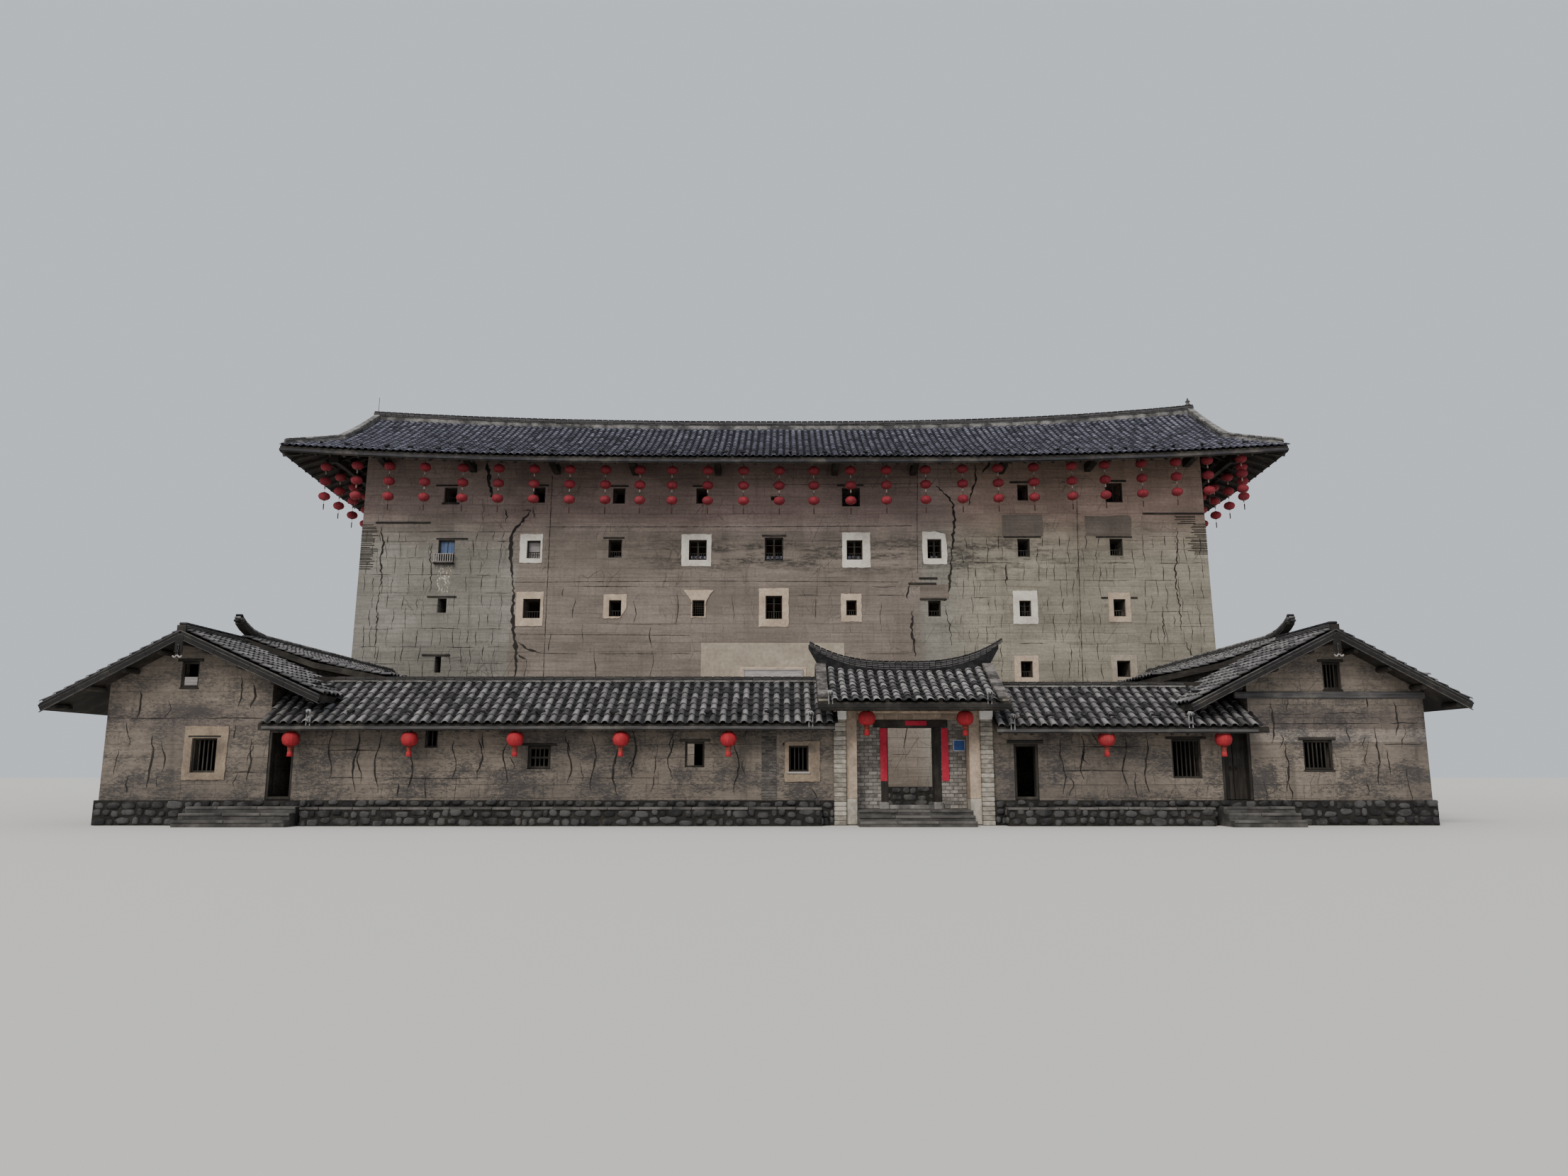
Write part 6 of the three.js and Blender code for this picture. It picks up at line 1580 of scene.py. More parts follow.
def hangLowLanterns():
    y = lowFace - lowLanterns["out"]
    cloths = [lanternRed, lanternPale, lanternCap, tasselDark, timberAcross]
    for title, house in houses.items():
        name = title.lower()
        shape = Shape(161 + house["side"])
        under = levelAt(rangeHeight(house), 0.0, y - 0.025) - 0.16
        hangRow(shape, lowLanterns[name], lowLanterns["rangeLevel"], y, under)
        shape.build("rangeLanterns" + title, cloths, replaced=["range_lanterns_" + name])
    shape = Shape(165)
    under = levelAt(gateHeight, 3.0, y - 0.025) - 0.18
    hangRow(shape, lowLanterns["gate"], lowLanterns["gateLevel"], y, under)
    shape.build("gateLanterns", cloths, replaced=["gate_lanterns"])


hangMainLanterns()
hangLowLanterns()


gateParts = {"left": 1.37, "right": 5.69, "pier": 0.31, "pilaster": 0.3, "recess": 0.57, "doorFrom": 2.88,
             "doorTo": 4.37, "floor": 0.4, "doorTop": 2.66, "pierTop": 3.4, "pierCourses": 27,
             "pilasterTop": 3.3, "pilasterFoot": 0.3, "jamb": 0.18, "headHeight": 0.19, "beam": (3.02, 3.17),
             "cap": (2.84, 3.14)}


# Bricks laid in running bond over a rectangle of a wall's face.
def layBricks(shape, u0, u1, z0, z1, face, length=0.235, course=0.1, slot=0):
    joint, deep, proud = 0.014, 0.05, 0.014
    rows = max(1, round((z1 - z0) / course))
    high = (z1 - z0) / rows
    for row in range(rows):
        low = z0 + row * high
        u = u0 - (length / 2 if row % 2 else 0.0)
        while u < u1 - 0.02:
            a, b = max(u, u0) + joint / 2, min(u + length, u1) - joint / 2
            if b - a > 0.03:
                out = shape.random.uniform(-0.004, 0.004)
                shape.chamfered(a, b, face - proud + out, face + deep, low + joint / 2,
                                low + high - joint / 2, cut=0.006, slot=slot)
            u += length


# One side of the gate: rusticated pier with a white cap, rendered pilaster on a stone foot, bricks of the
# recessed wall, and the door's jamb on a stone block.
def dressGateSide(shape, turn):
    g = gateParts
    recessed = lowFace + g["recess"]
    foot, pierEnd = g["floor"], g["left"] + g["pier"]
    pilasterEnd = pierEnd + g["pilaster"]
    courseHigh = g["pierTop"] / g["pierCourses"]
    for k in range(g["pierCourses"]):
        out = shape.random.uniform(0.012, 0.022)
        shape.chamfered(*turn(g["left"] - 0.012, pierEnd + 0.012), lowFace - 0.1 - out, lowFace + 0.02,
                        k * courseHigh + 0.006, (k + 1) * courseHigh - 0.006, cut=0.014)
    # The cap's whiter finish is painted sunlight.
    shape.chamfered(*turn(g["left"] - 0.022, pierEnd + 0.03), lowFace - 0.155, lowFace + 0.01, *g["cap"],
                    cut=0.016, slot=6)
    pilaster = turn(pierEnd + 0.012, pilasterEnd + 0.014)
    stoneTop = foot + g["pilasterFoot"]
    shape.chamfered(*pilaster, lowFace - 0.016, recessed - 0.004, stoneTop, g["pilasterTop"], cut=0.012,
                    slot=1)
    shape.chamfered(*pilaster, lowFace - 0.03, recessed - 0.004, 0.02, stoneTop, cut=0.015)
    jambFrom = g["doorFrom"] - g["jamb"]
    layBricks(shape, *turn(pilasterEnd + 0.016, jambFrom), foot + 0.02, g["doorTop"], recessed, slot=2)
    shape.chamfered(*turn(jambFrom, g["doorFrom"] + 0.012), recessed - 0.05, recessed + 0.42, foot + 0.05,
                    g["doorTop"] - 0.01, cut=0.012, slot=4)
    shape.chamfered(*turn(jambFrom - 0.06, g["doorFrom"] + 0.03), recessed - 0.07, recessed + 0.3,
                    foot + 0.002, foot + 0.2, cut=0.02, slot=3)


def dressGateWalls():
    g = gateParts
    shape = Shape(201)
    recessed = lowFace + g["recess"]
    top = levelAt(gateHeight, 3.0, recessed) - gateRoof["slab"] - 0.02
    dressGateSide(shape, lambda a, b: (a, b))
    dressGateSide(shape, lambda a, b: (g["left"] + g["right"] - b, g["left"] + g["right"] - a))
    inset = g["pier"] + g["pilaster"] + 0.016
    x0, x1 = g["left"] + inset, g["right"] - inset
    head, headTop = g["doorTop"], g["doorTop"] + g["headHeight"]
    shape.chamfered(x0 + 0.5, x1 - 0.5, recessed - 0.05, recessed + 0.43, head - 0.015, headTop, cut=0.012,
                    slot=5)
    layBricks(shape, x0, x0 + 0.5, head, headTop, recessed, slot=2)
    layBricks(shape, x1 - 0.5, x1, head, headTop, recessed, slot=2)
    layBricks(shape, x0, x1, headTop + 0.01, top, recessed, slot=1, length=0.4, course=0.16)
    shape.chamfered(x0 - 0.2, x1 + 0.2, lowFace + 0.08, lowFace + 0.24, *g["beam"], cut=0.02, slot=1)
    shape.chamfered(g["doorFrom"] - 0.1, g["doorTo"] + 0.1, recessed - 0.02, recessed + 0.2,
                    g["floor"] + 0.002, g["floor"] + 0.12, cut=0.02, slot=3)
    finishes = [pierStone, limeTan, wallBrick, ridgeLime, timberUp, timberAcross, capWhite]
    shape.build("gateWalls", finishes)


# Bare red strips beside the door, a red banner over it and a blue plate with a pale edge: x from and to,
# foot and top.
redStrips = (2.675, 2.865, 1.17, 2.62), (4.385, 4.575, 1.17, 2.62), (3.38, 3.98, 2.7, 2.83)
bluePlaque = {"edge": (4.72, 5.04, 2.0, 2.3), "margin": 0.013}


def hangGatePapers():
    shape = Shape(203)
    recessed = lowFace + gateParts["recess"]
    front = recessed - 0.056
    for x0, x1, foot, top in redStrips:
        shape.chamfered(x0, x1, front - 0.004, front + 0.004, foot, top, cut=0.002)
    x0, x1, foot, top = bluePlaque["edge"]
    margin = bluePlaque["margin"]
    shape.chamfered(x0, x1, recessed - 0.03, recessed - 0.018, foot, top, cut=0.004, slot=1, mark=1.0)
    shape.chamfered(x0 + margin, x1 - margin, recessed - 0.033, recessed - 0.02, foot + margin, top - margin,
                    cut=0.003, slot=1)
    shape.build("gatePapers", [redPaper, bluePlate])


# The ridge of the gate sweeps up to both ends and thins out there. Verges are two bricks high.
gateRidge = {"from": 0.71, "to": 6.2, "start": 0.73, "end": 6.33, "lengths": 34, "top": 4.54, "sweep": 0.6,
             "power": 2.8, "thick": 0.24, "width": 0.31}
gateVerge = {"inset": 0.15, "brick": 0.24, "width": 0.27, "height": 0.066, "lift": 0.045, "course": 0.075}
gateBeams = ((-16.45, 0.13), (lowFace - 0.02, 0.15))
# Lamps as places of their heads, on the eaves of the gate and the range.
lamps = ((1.24, -17.0, 3.48), (5.46, -17.0, 3.48), (0.72, -16.62, 2.96), (6.13, -16.62, 2.88),
         (-12.75, -16.62, 3.0), (10.9, -16.62, 2.94))


def dressGateRoof():
    left, right, frontY, rearY = (gateRoof[part] for part in ("from", "to", "frontY", "backY"))
    slab, ridgeY = gateRoof["slab"], gateRoof["ridgeY"]
    shape = Shape(205)
    for x in np.arange(left + 0.16, right - 0.1, 0.28):
        for run in ((frontY + 0.05, lowFace + 0.5), (rearY - 0.05, rearY - 0.9)):
            shape.bar(*[(x, y, levelAt(gateHeight, x, y) - slab - 0.035) for y in run], 0.07, 0.07)
    for y, thick in gateBeams:
        z = levelAt(gateHeight, 3.4, y) - slab - 0.07 - thick / 2
        shape.bar((left + 0.08, y, z), (right - 0.08, y, z), 0.13, thick, cut=0.03, slot=1)
    for y in (frontY - 0.01, rearY + 0.01):
        line = roofLine(gateHeight, (left, y), (right, y), 8)
        follow(shape, line, 0.03, 0.1, raised=-0.09, cut=0.006, slot=2)
    shape.build("gateRafters", [timberDeep, timberAcross, vergeBoard])

    shape = Shape(207)
    for x in (left + gateVerge["inset"], right - gateVerge["inset"]):
        for start, end in ((frontY + 0.02, ridgeY - 0.12), (rearY - 0.02, ridgeY + 0.12)):
            count = round(abs(end - start) / gateVerge["brick"])
            for k in range(count):
                ya, yb = (start + (end - start) * (k + s) / count for s in (0.02, 0.98))
                for layer in range(2):
                    lift = gateVerge["lift"] + layer * gateVerge["course"]
                    wide = gateVerge["width"] + 0.03 * layer + shape.random.uniform(-0.02, 0.02)
                    ends = [(x, y, levelAt(gateHeight, x, y) + lift) for y in (ya, yb)]
                    shape.bar(*ends, wide, gateVerge["height"], cut=0.01, slot=layer)
    shape.build("gateVerges", [greyBrick, paleBrick])

    shape = Shape(209)
    middle, half = (gateRidge["from"] + gateRidge["to"]) / 2, (gateRidge["to"] - gateRidge["from"]) / 2
    xs = np.linspace(gateRidge["start"], gateRidge["end"], gateRidge["lengths"] + 1)
    for ends in zip(xs, xs[1:]):
        out = abs(sum(ends) / 2 - middle) / half
        thick = gateRidge["thick"] * (1 - 0.5 * out ** 4)
        tops = [gateRidge["top"] + gateRidge["sweep"] * (abs(x - middle) / half) ** gateRidge["power"]
                for x in ends]
        points = [(x, ridgeY, top - thick + 0.02) for x, top in zip(ends, tops)]
        width = gateRidge["width"] * (1 - 0.35 * out ** 4)
        ridgeCourse(shape, points, width, thick - 0.03, layers=4, capSlot=0, capHeight=0.045)
    shape.build("gateRidge", [roofTile])


def fixLamps():
    shape = Shape(211)
    for x, y, z in lamps:
        shape.bar((x - 0.03, y + 0.07, z + 0.05), (x + 0.03, y - 0.07, z - 0.02), 0.14, 0.11, cut=0.03)
        shape.chamfered(x - 0.05, x + 0.05, y - 0.085, y - 0.07, z - 0.06, z + 0.03, cut=0.006, slot=1)
        for at in (x - 0.05, x + 0.05):
            shape.chamfered(at - 0.012, at + 0.012, y + 0.01, y + 0.034, z - 0.36, z + 0.02, cut=0.004)
    shape.build("spotLamps", [lampGrey, darkIron])


dressGateWalls()
hangGatePapers()
dressGateRoof()
fixLamps()


# Windows of the low walls as u, z, width, height, kind, the range's first and then the wings'.
rangeWindows = [(-9.66, 2.33, 0.35, 0.51, "bars"), (-6.69, 1.81, 0.63, 0.63, "heavy"),
                (-2.44, 1.89, 0.53, 0.69, "plain"), (0.4, 1.78, 0.55, 0.71, "bars"),
                (11.0, 1.78, 0.8, 1.05, "bars")]
wingWindows = [(-16.43, 4.08, 0.49, 0.71, "plain"), (-15.85, 1.87, 0.7, 0.94, "bars"),
               (15.15, 4.04, 0.5, 0.75, "bars"), (14.6, 1.88, 0.8, 0.8, "bars")]
doorways = ((6.28, 6.94, 0.665, 2.18), (-14.1, -13.4, 0.67, 2.55))
# Boards over the doorways as u from, u to, out, foot, top and cut.
doorHeads = ((-14.35, -13.2, 0.03, 2.56, 2.68, 0.015), (6.1, 7.1, 0.03, 2.19, 2.28, 0.012),
             (11.55, 13.3, 0.04, 2.49, 2.64, 0.015))
leafJambs = {"places": ((11.956, 12.03), (12.69, 12.754)), "foot": 0.67, "top": 2.475}
wingBoard = {"from": 12.4, "to": 17.66, "foot": 3.42, "top": 3.6}
# Boards in two windows as u from, u to, foot, top, depth from and to, and cut.
looseBoards = ((-16.62, -16.24, 3.78, 4.02, 0.075, 0.1, 0.008), (0.08, 0.72, 1.37, 1.43, -0.06, 0.1, 0.015))


# Timber lining of a doorway: jambs, head and sill.
def lineDoorway(shape, u0, u1, z0, z1):
    stock, deep, clear = 0.07, 0.3, 0.004
    shape.chamfered(u0 + clear, u0 + stock, 0.02, deep, z0, z1)
    shape.chamfered(u1 - stock, u1 - clear, 0.02, deep, z0, z1)
    shape.chamfered(u0 + clear, u1 - clear, 0.025, deep - 0.01, z1 - stock, z1 - clear)
    shape.chamfered(u0 + clear, u1 - clear, 0.025, deep - 0.01, z0 + 0.002, z0 + 0.09, cut=0.015)


def fitLowWindows():
    shape = Shape(221, onLow)
    for u, z, width, height, kind in rangeWindows:
        fitWindow(shape, u, z, width, height, kind, depth=0.06, stock=0.08 if kind == "heavy" else 0.05)
        head = z + height / 2
        shape.chamfered(u - width / 2 - 0.16, u + width / 2 + 0.16, -0.025, 0.08, head, head + 0.07,
                        cut=0.012, slot=1)
    for u, z, width, height, kind in wingWindows:
        fitWindow(shape, u, z, width, height, kind, depth=0.05, stock=0.055)
        left, right, foot, head = u - width / 2, u + width / 2, z - height / 2, z + height / 2
        shape.chamfered(left - 0.12, right + 0.1, -0.03, 0.08, head, head + 0.08, cut=0.015, slot=1)
        shape.chamfered(left - 0.03, right + 0.03, -0.02, 0.08, foot - 0.05, foot, cut=0.012, slot=1)
    for left, right, foot, top, front, back, cut in looseBoards:
        shape.chamfered(left, right, front, back, foot, top, cut=cut, slot=2)
    for doorway in doorways:
        lineDoorway(shape, *doorway)
    for left, right, out, foot, top, cut in doorHeads:
        shape.chamfered(left, right, -out, 0.06, foot, top, cut=cut, slot=1)
    for left, right in leafJambs["places"]:
        shape.chamfered(left, right, 0.02, 0.24, leafJambs["foot"], leafJambs["top"])
    shape.chamfered(wingBoard["from"], wingBoard["to"], -0.05, 0.04, wingBoard["foot"], wingBoard["top"],
                    cut=0.02, slot=3)
    shape.build("rangeWindows", [timberUp, timberAcross, paleBoard, greyBoard])
    shape = Shape(222, onLow)
    renderBand(shape, wingWindows[1][:4], (-16.41, -15.22, 1.2, 2.66), 0)
    renderBand(shape, rangeWindows[3][:4], (0.02, 0.98, 1.15, 2.25), 0)
    shape.build("lowRenderBands", [tanBand])


# Marks of the low walls: a brick repair, upright cracks, and leaning cracks as u, top and foot.
brickRepair = {"from": -0.62, "to": -0.2, "foot": 0.69, "top": 2.62, "length": 0.21, "course": 0.075}
uprightCracks = (-12.4, -11.7, -11.1, -10.2, -9.0, -8.3, -7.6, -5.85, -5.2, -4.6, -4.1, -3.1, -1.3, 7.6, 8.15,
                 9.3, 9.9)
leaningCracks = ((-15.0, 4.0, 3.2), (-14.65, 3.8, 3.15), (-17.75, 3.6, 2.9), (-17.3, 2.4, 1.0),
                 (-14.6, 2.3, 1.2), (13.4, 3.3, 2.2), (16.8, 3.3, 2.4), (16.2, 2.6, 1.1), (13.7, 2.2, 0.9))
rangeHoles = [(-9.66, 2.33, 0.35, 0.51), (-6.69, 1.81, 0.63, 0.63), (-2.44, 1.89, 0.53, 0.69),
              (0.4, 1.78, 0.9, 1.0), (-13.75, 1.6, 0.9, 2.0), (-0.4, 1.6, 0.6, 2.0), (6.61, 1.5, 0.9, 1.6),
              (11.0, 1.78, 0.9, 1.2)]
wingHoles = [(-16.43, 4.08, 0.6, 0.8), (-15.85, 1.87, 0.8, 1.1), (15.15, 4.04, 0.6, 0.85),
             (14.6, 1.88, 0.9, 0.9)]
# Shrinkage cracks as u from, u to, z from, z to, lift, pitch and the holes they keep clear of.
crackFields = [(-13.2, 1.2, 0.7, 2.6, 0.65, 0.9, rangeHoles), (5.8, 11.8, 0.7, 2.5, 0.65, 0.9, rangeHoles),
               (-18.4, -14.3, 0.7, 3.0, 0.65, 0.8, wingHoles), (12.9, 17.4, 0.7, 3.0, 0.65, 0.8, wingHoles),
               (-17.7, -15.1, 3.0, 4.3, 0.6, 0.8, wingHoles), (13.8, 16.4, 3.0, 4.3, 0.6, 0.8, wingHoles)]


def markLowWalls():
    shape = Shape(223, onLow)
    draw = shape.random
    layBricks(shape, brickRepair["from"], brickRepair["to"], brickRepair["foot"], brickRepair["top"], 0.0,
              length=brickRepair["length"], course=brickRepair["course"])
    for u in uprightCracks:
        bend, low, top = draw.uniform(0, 6.3), draw.uniform(0.8, 1.3), draw.uniform(2.2, 2.6)
        line = [(u + 0.07 * math.sin(bend + 1.1 * k), low + (top - low) * k / 6) for k in range(7)]
        crack(shape, line, draw.uniform(0.035, 0.06), slot=1, rough=0.02)
    for u, top, low in leaningCracks:
        crack(shape, [(u, top), (u + 0.06, (top + low) / 2), (u - 0.03, low)], 0.05, slot=1)
    for u0, u1, z0, z1, lift, pitch, holes in crackFields:
        shrinkageCracks(shape, u0, u1, z0, z1, lift, pitch, holes, slot=1)
    shape.build("lowWallMarks", [sootBrick, darkGap])


# Boards along a wing's gable as width, height, how far they lie under the roof line, cut and slot.
vergeParts = ((0.035, 0.2, 0.13, 0.01, 2), (0.06, 0.03, 0.01, 0.008, 1), (0.05, 0.018, 0.1, 0.006, 1),
              (0.05, 0.02, 0.235, 0.006, 1))
rangeEaves = {"Left": {"rafters": (-13.0, 1.3), "board": (-14.0, 1.37), "ridge": (-13.0, 1.1)},
              "Right": {"rafters": (5.8, 11.6), "board": (5.7, 12.7), "ridge": (6.0, 11.6)}}
lowRafter = {"pitch": 0.42, "stock": (0.07, 0.08), "drop": 0.2, "from": -16.53}
wingHook = [(0.0, -0.4), (0.0, -0.68), (0.07, -0.75), (0.13, -0.7)]
# The rear houses' ridges rise to a horn at the front: places along y with their lift, then the horn's tiles.
hornTail = [(-13.47, 0.41), (-13.2, 0.27), (-12.7, 0.1), (-11.9, 0.0)]
hornTail += [(y, 0.0) for y in np.linspace(-11, -0.8, 9)]
hornTiles = ((-13.4, 6.0), (-13.46, 5.95), (-13.5, 5.88))
lowWeights = {"lift": 0.18, "rangeY": -16.25, "inside": 0.4}


def dressRange(rafters, ridges, bricks, name, house):
    height, eave = rangeHeight(house), rangeEaves[name]
    for x in np.arange(*eave["rafters"], lowRafter["pitch"]):
        ends = [(x, y, levelAt(height, x, y) - lowRafter["drop"])
                for y in (lowRafter["from"], lowFace + 0.05)]
        rafters.bar(*ends, *lowRafter["stock"])
    y = rangeRoof["front"] - 0.015
    z = levelAt(height, 0.0, y) - 0.07
    rafters.chamfered(*eave["board"], y - 0.015, y + 0.015, z - 0.05, z + 0.03, cut=0.006, slot=1)
    top = levelAt(height, 0.0, rangeRoof["ridgeY"]) + 0.05
    line = [(x, rangeRoof["ridgeY"], top) for x in np.linspace(*eave["ridge"], 8)]
    ridgeCourse(ridges, line, 0.26, 0.06, layers=2, capSlot=0, capHeight=0.045)
    follow(ridges, [(x, y - 0.21, z - 0.045) for x, y, z in line], 0.06, 0.04, cut=0.012, slot=1)
    y = lowWeights["rangeY"]
    z = levelAt(height, 0.0, y) + lowWeights["lift"]
    weights(bricks, [(x, y, z) for x in eave["rafters"]], 1.0)


# The gable over a wing's front: verge boards, purlin ends, the ridge beam with its board and hook.
def dressGable(rafters, house):
    verge, apexX, apex = houseRoof["frontY"], house["apexX"], house["apex"]
    top = houseHeight(house)
    purlins = 4
    for foot in (house["outX"], house["inX"]):
        line = roofLine(top, (foot, verge - 0.02), (apexX, verge - 0.02), 4)
        for width, height, under, cut, slot in vergeParts:
            follow(rafters, line, width, height, raised=-under, cut=cut, slot=slot)
        for k in range(purlins):
            x = foot + (apexX - foot) * (k + 0.35) / purlins
            z = levelAt(top, x, 0.0) - 0.25
            rafters.bar((x, verge + 0.03, z), (x, lowFace + 0.1, z), 0.14, 0.14, cut=0.04)
    z = apex - 0.3
    rafters.bar((apexX, verge + 0.03, z), (apexX, lowFace + 0.1, z), 0.16, 0.16, cut=0.045)
    for half, front, back, foot, head, cut in ((0.11, 0.05, 0.015, 0.62, 0.12, 0.015),
                                               (0.06, 0.045, 0.02, 0.74, 0.6, 0.012)):
        rafters.chamfered(apexX - half, apexX + half, verge - front, verge - back, apex - foot, apex - head,
                          cut=cut, slot=2)
    for start, end in zip(wingHook, wingHook[1:]):
        for way in (-1, 1):
            places = [(apexX + way * out, verge - 0.075, apex + up) for out, up in (start, end)]
            rafters.bar(*places, 0.04, 0.035, slot=3)


def dressWing(rafters, ridges, bricks, house):
    verge, lift, inside = houseRoof["frontY"], lowWeights["lift"], lowWeights["inside"]
    dressGable(rafters, house)
    line = [(house["apexX"], y, house["apex"] + 0.02) for y in np.linspace(verge + 0.05, -13.3, 8)]
    ridgeCourse(ridges, line, 0.28, 0.14, capSlot=0)
    ridgeX = house["rearRidgeX"]
    ridgeCourse(ridges, [(ridgeX, y, houseRoof["rearRidge"] + 0.03 + up) for y, up in hornTail], 0.28, 0.12)
    for k, (y, z) in enumerate(hornTiles):
        tip = (ridgeX, y - 0.1 - 0.03 * k, z + 0.11 - 0.04 * k)
        ridges.bar((ridgeX, y, z), tip, 0.22 - 0.03 * k, 0.07, cut=0.02, slot=k % 2)
    for footX in (house["outX"], house["inX"]):
        x = footX + (inside if footX < house["apexX"] else -inside)
        weights(bricks, roofLine(houseHeight(house), (x, verge + 0.3), (x, -13.6), 3, lift), 1.1)
    rear = rearHeight(house)
    for footX in (house["rearOutX"], house["rearInX"]):
        towards = 1 if footX < ridgeX else -1
        for y in np.arange(-12.9, -0.8, 0.5):
            ends = [(footX + towards * d, y, levelAt(rear, footX + towards * d, y) - 0.22)
                    for d in (0.04, 0.8)]
            rafters.bar(*ends, *lowRafter["stock"])
        x = footX + towards * inside
        weights(bricks, roofLine(rear, (x, -12.8), (x, -1.0), 8, lift), 1.0)


def dressLowRoofs():
    rafters = Shape(231)
    ridges = Shape(233)
    bricks = Shape(235)
    for name, house in houses.items():
        dressRange(rafters, ridges, bricks, name, house)
    for house in houses.values():
        dressWing(rafters, ridges, bricks, house)
    rafters.build("rangeRafters", [timberDeep, greyBoard, vergeBoard, paleBoard])
    ridges.build("rangeRidges", [roofTile, ridgeLime])
    bricks.build("rangeWeights", [roofTile])


# Door leaves of the right corner: planks, ledges and a ring, each riding on its leaf.
leaf = {"from": 11.98, "to": 12.73, "middle": 12.355, "gap": 0.006, "foot": 0.68, "top": 2.465, "planks": 3,
        "thick": 0.048, "ledges": (0.95, 1.6, 2.25), "setBack": 0.29, "ring": 0.04, "ringLevel": 1.55}


def dressLeaves():
    y, half = lowFace + leaf["setBack"], leaf["thick"] / 2
    for hand, name in ((-1, "left"), (1, "right")):
        x0 = leaf["from"] if hand < 0 else leaf["middle"] + leaf["gap"]
        x1 = leaf["middle"] - leaf["gap"] if hand < 0 else leaf["to"]
        shape = Shape(241 + hand)
        for k in range(leaf["planks"]):
            a, b = (x0 + (x1 - x0) * (k + s) / leaf["planks"] for s in (0.012, 0.988))
            shape.chamfered(a, b, y - half, y + half, leaf["foot"], leaf["top"], cut=0.005)
        for z in leaf["ledges"]:
            shape.chamfered(x0 + 0.015, x1 - 0.015, y + half, y + half + 0.026, z - 0.045, z + 0.045,
                            cut=0.006, slot=1)
        pinX = x0 + 0.025 if hand < 0 else x1 - 0.025
        pinTop, pinFoot = leaf["top"] + 0.013, leaf["foot"] - 0.012
        shape.turned([(0.0, pinTop), (0.02, pinTop), (0.02, pinFoot), (0.0, pinFoot)], (pinX, y, 0), sides=14)
        ringX, level, radius = x1 - 0.07 if hand < 0 else x0 + 0.07, leaf["ringLevel"], leaf["ring"]
        shape.turned([(0.0, 0.03), (0.03, 0.03), (0.034, -0.03), (0.0, -0.03)], (ringX, y - 0.02, level),
                     sides=12, slot=2)
        for k in range(12):
            angles = [math.pi * 2 * (k + s) / 12 for s in (0, 1)]
            ends = [(ringX + radius * math.cos(t), y - 0.045, level - radius + radius * math.sin(t))
                    for t in angles]
            shape.bar(*ends, 0.01, 0.01, cut=0.002, slot=2)
        shape.build("cornerDoor" + name.title(), [timberUp, timberAcross, darkIron],
                    body=name + "_leaf", replaced=["corner_door_leaf_" + name])


fitLowWindows()
markLowWalls()
dressLowRoofs()
dressLeaves()


# Rounded stones in rough rows over part of a face, given by place(u, v, z).
def layStones(shape, place, u0, u1, z0, z1, length=0.34, height=0.22, proud=0.05):
    seeded = np.random.default_rng(shape.random.randrange(1 << 30))
    sides, squareness = 8, 0.75
    layers = ((0.97, -0.5), (0.94, 0.35), (0.72, 0.85), (0.36, 1.0))
    rows = max(1, round((z1 - z0) / height))
    high = (z1 - z0) / rows
    spots = []
    for row in range(rows):
        u = u0
        while u < u1 - 0.02:
            end = min(u + length * seeded.uniform(0.45, 1.5), u1)
            end = u1 if u1 - end < 0.12 else end
            spots.append(((u + end) / 2, (end - u) / 2, z0 + (row + 0.5) * high))
            u = end
    middle, half, level = (np.array(column)[:, None] for column in zip(*spots))
    count = len(spots)
    turn = np.arange(sides) * 2 * math.pi / sides + seeded.uniform(-0.2, 0.2, (count, sides))
    across = np.sign(np.cos(turn)) * np.abs(np.cos(turn)) ** squareness
    rising = np.sign(np.sin(turn)) * np.abs(np.sin(turn)) ** squareness
    loose = seeded.uniform(0.82, 1.04, (count, sides))
    swell = seeded.uniform(0.55, 1.25, (count, 1)) * proud
    level = level + seeded.uniform(-0.22, 0.22, (count, 1)) * high
    loose = loose * seeded.uniform(0.8, 1.1, (count, 1))
    rings = []
    for size, out in layers:
        rings.append(np.dstack([middle + across * half * size * loose, -out * swell * np.ones((1, sides)),
                                np.clip(level + rising * high / 2 * size * loose, z0 + 0.002, z1 + 0.012)]))
    points = np.concatenate(rings, axis=1)
    world = place(*points.reshape(-1, 3).T).reshape(points.shape)
    lid = np.array([[0, 1, 2, 3], [0, 3, 4, 7], [4, 5, 6, 7]]) + sides * (len(layers) - 1)
    faces = np.concatenate([ringFaces(len(layers), sides, flipped=True), lid])
    shape.addMany(world, faces, seeded.random(count), np.zeros(sides * len(layers)), smoothCount=len(faces))


# An upright face that stands across an axis at a place on it. Outward is the way it looks along that axis.
def faceAt(axis, place, outward):
    if axis == "y":
        return lambda u, v, z: np.column_stack([-outward * u, place - outward * v, z])
    return lambda u, v, z: np.column_stack([place - outward * v, outward * u, z])


mainStones = {"length": 0.42, "height": 0.27, "proud": 0.06}
podium = {"left": -18.68, "right": 17.68, "back": -12.42, "top": 0.665, "stepTop": 0.48, "stepOut": 0.37,
          "slab": 0.04, "rearFaces": ((-1.36, 12.6), (-11.9, -5.7))}
# Both podiums, as x from and to, and the step along each in the same way.
podiumRuns = ((podium["left"], 1.36, -12.9, 1.0), (5.7, podium["right"], 6.0, 11.5))
podiumFace = lowFace - 0.08


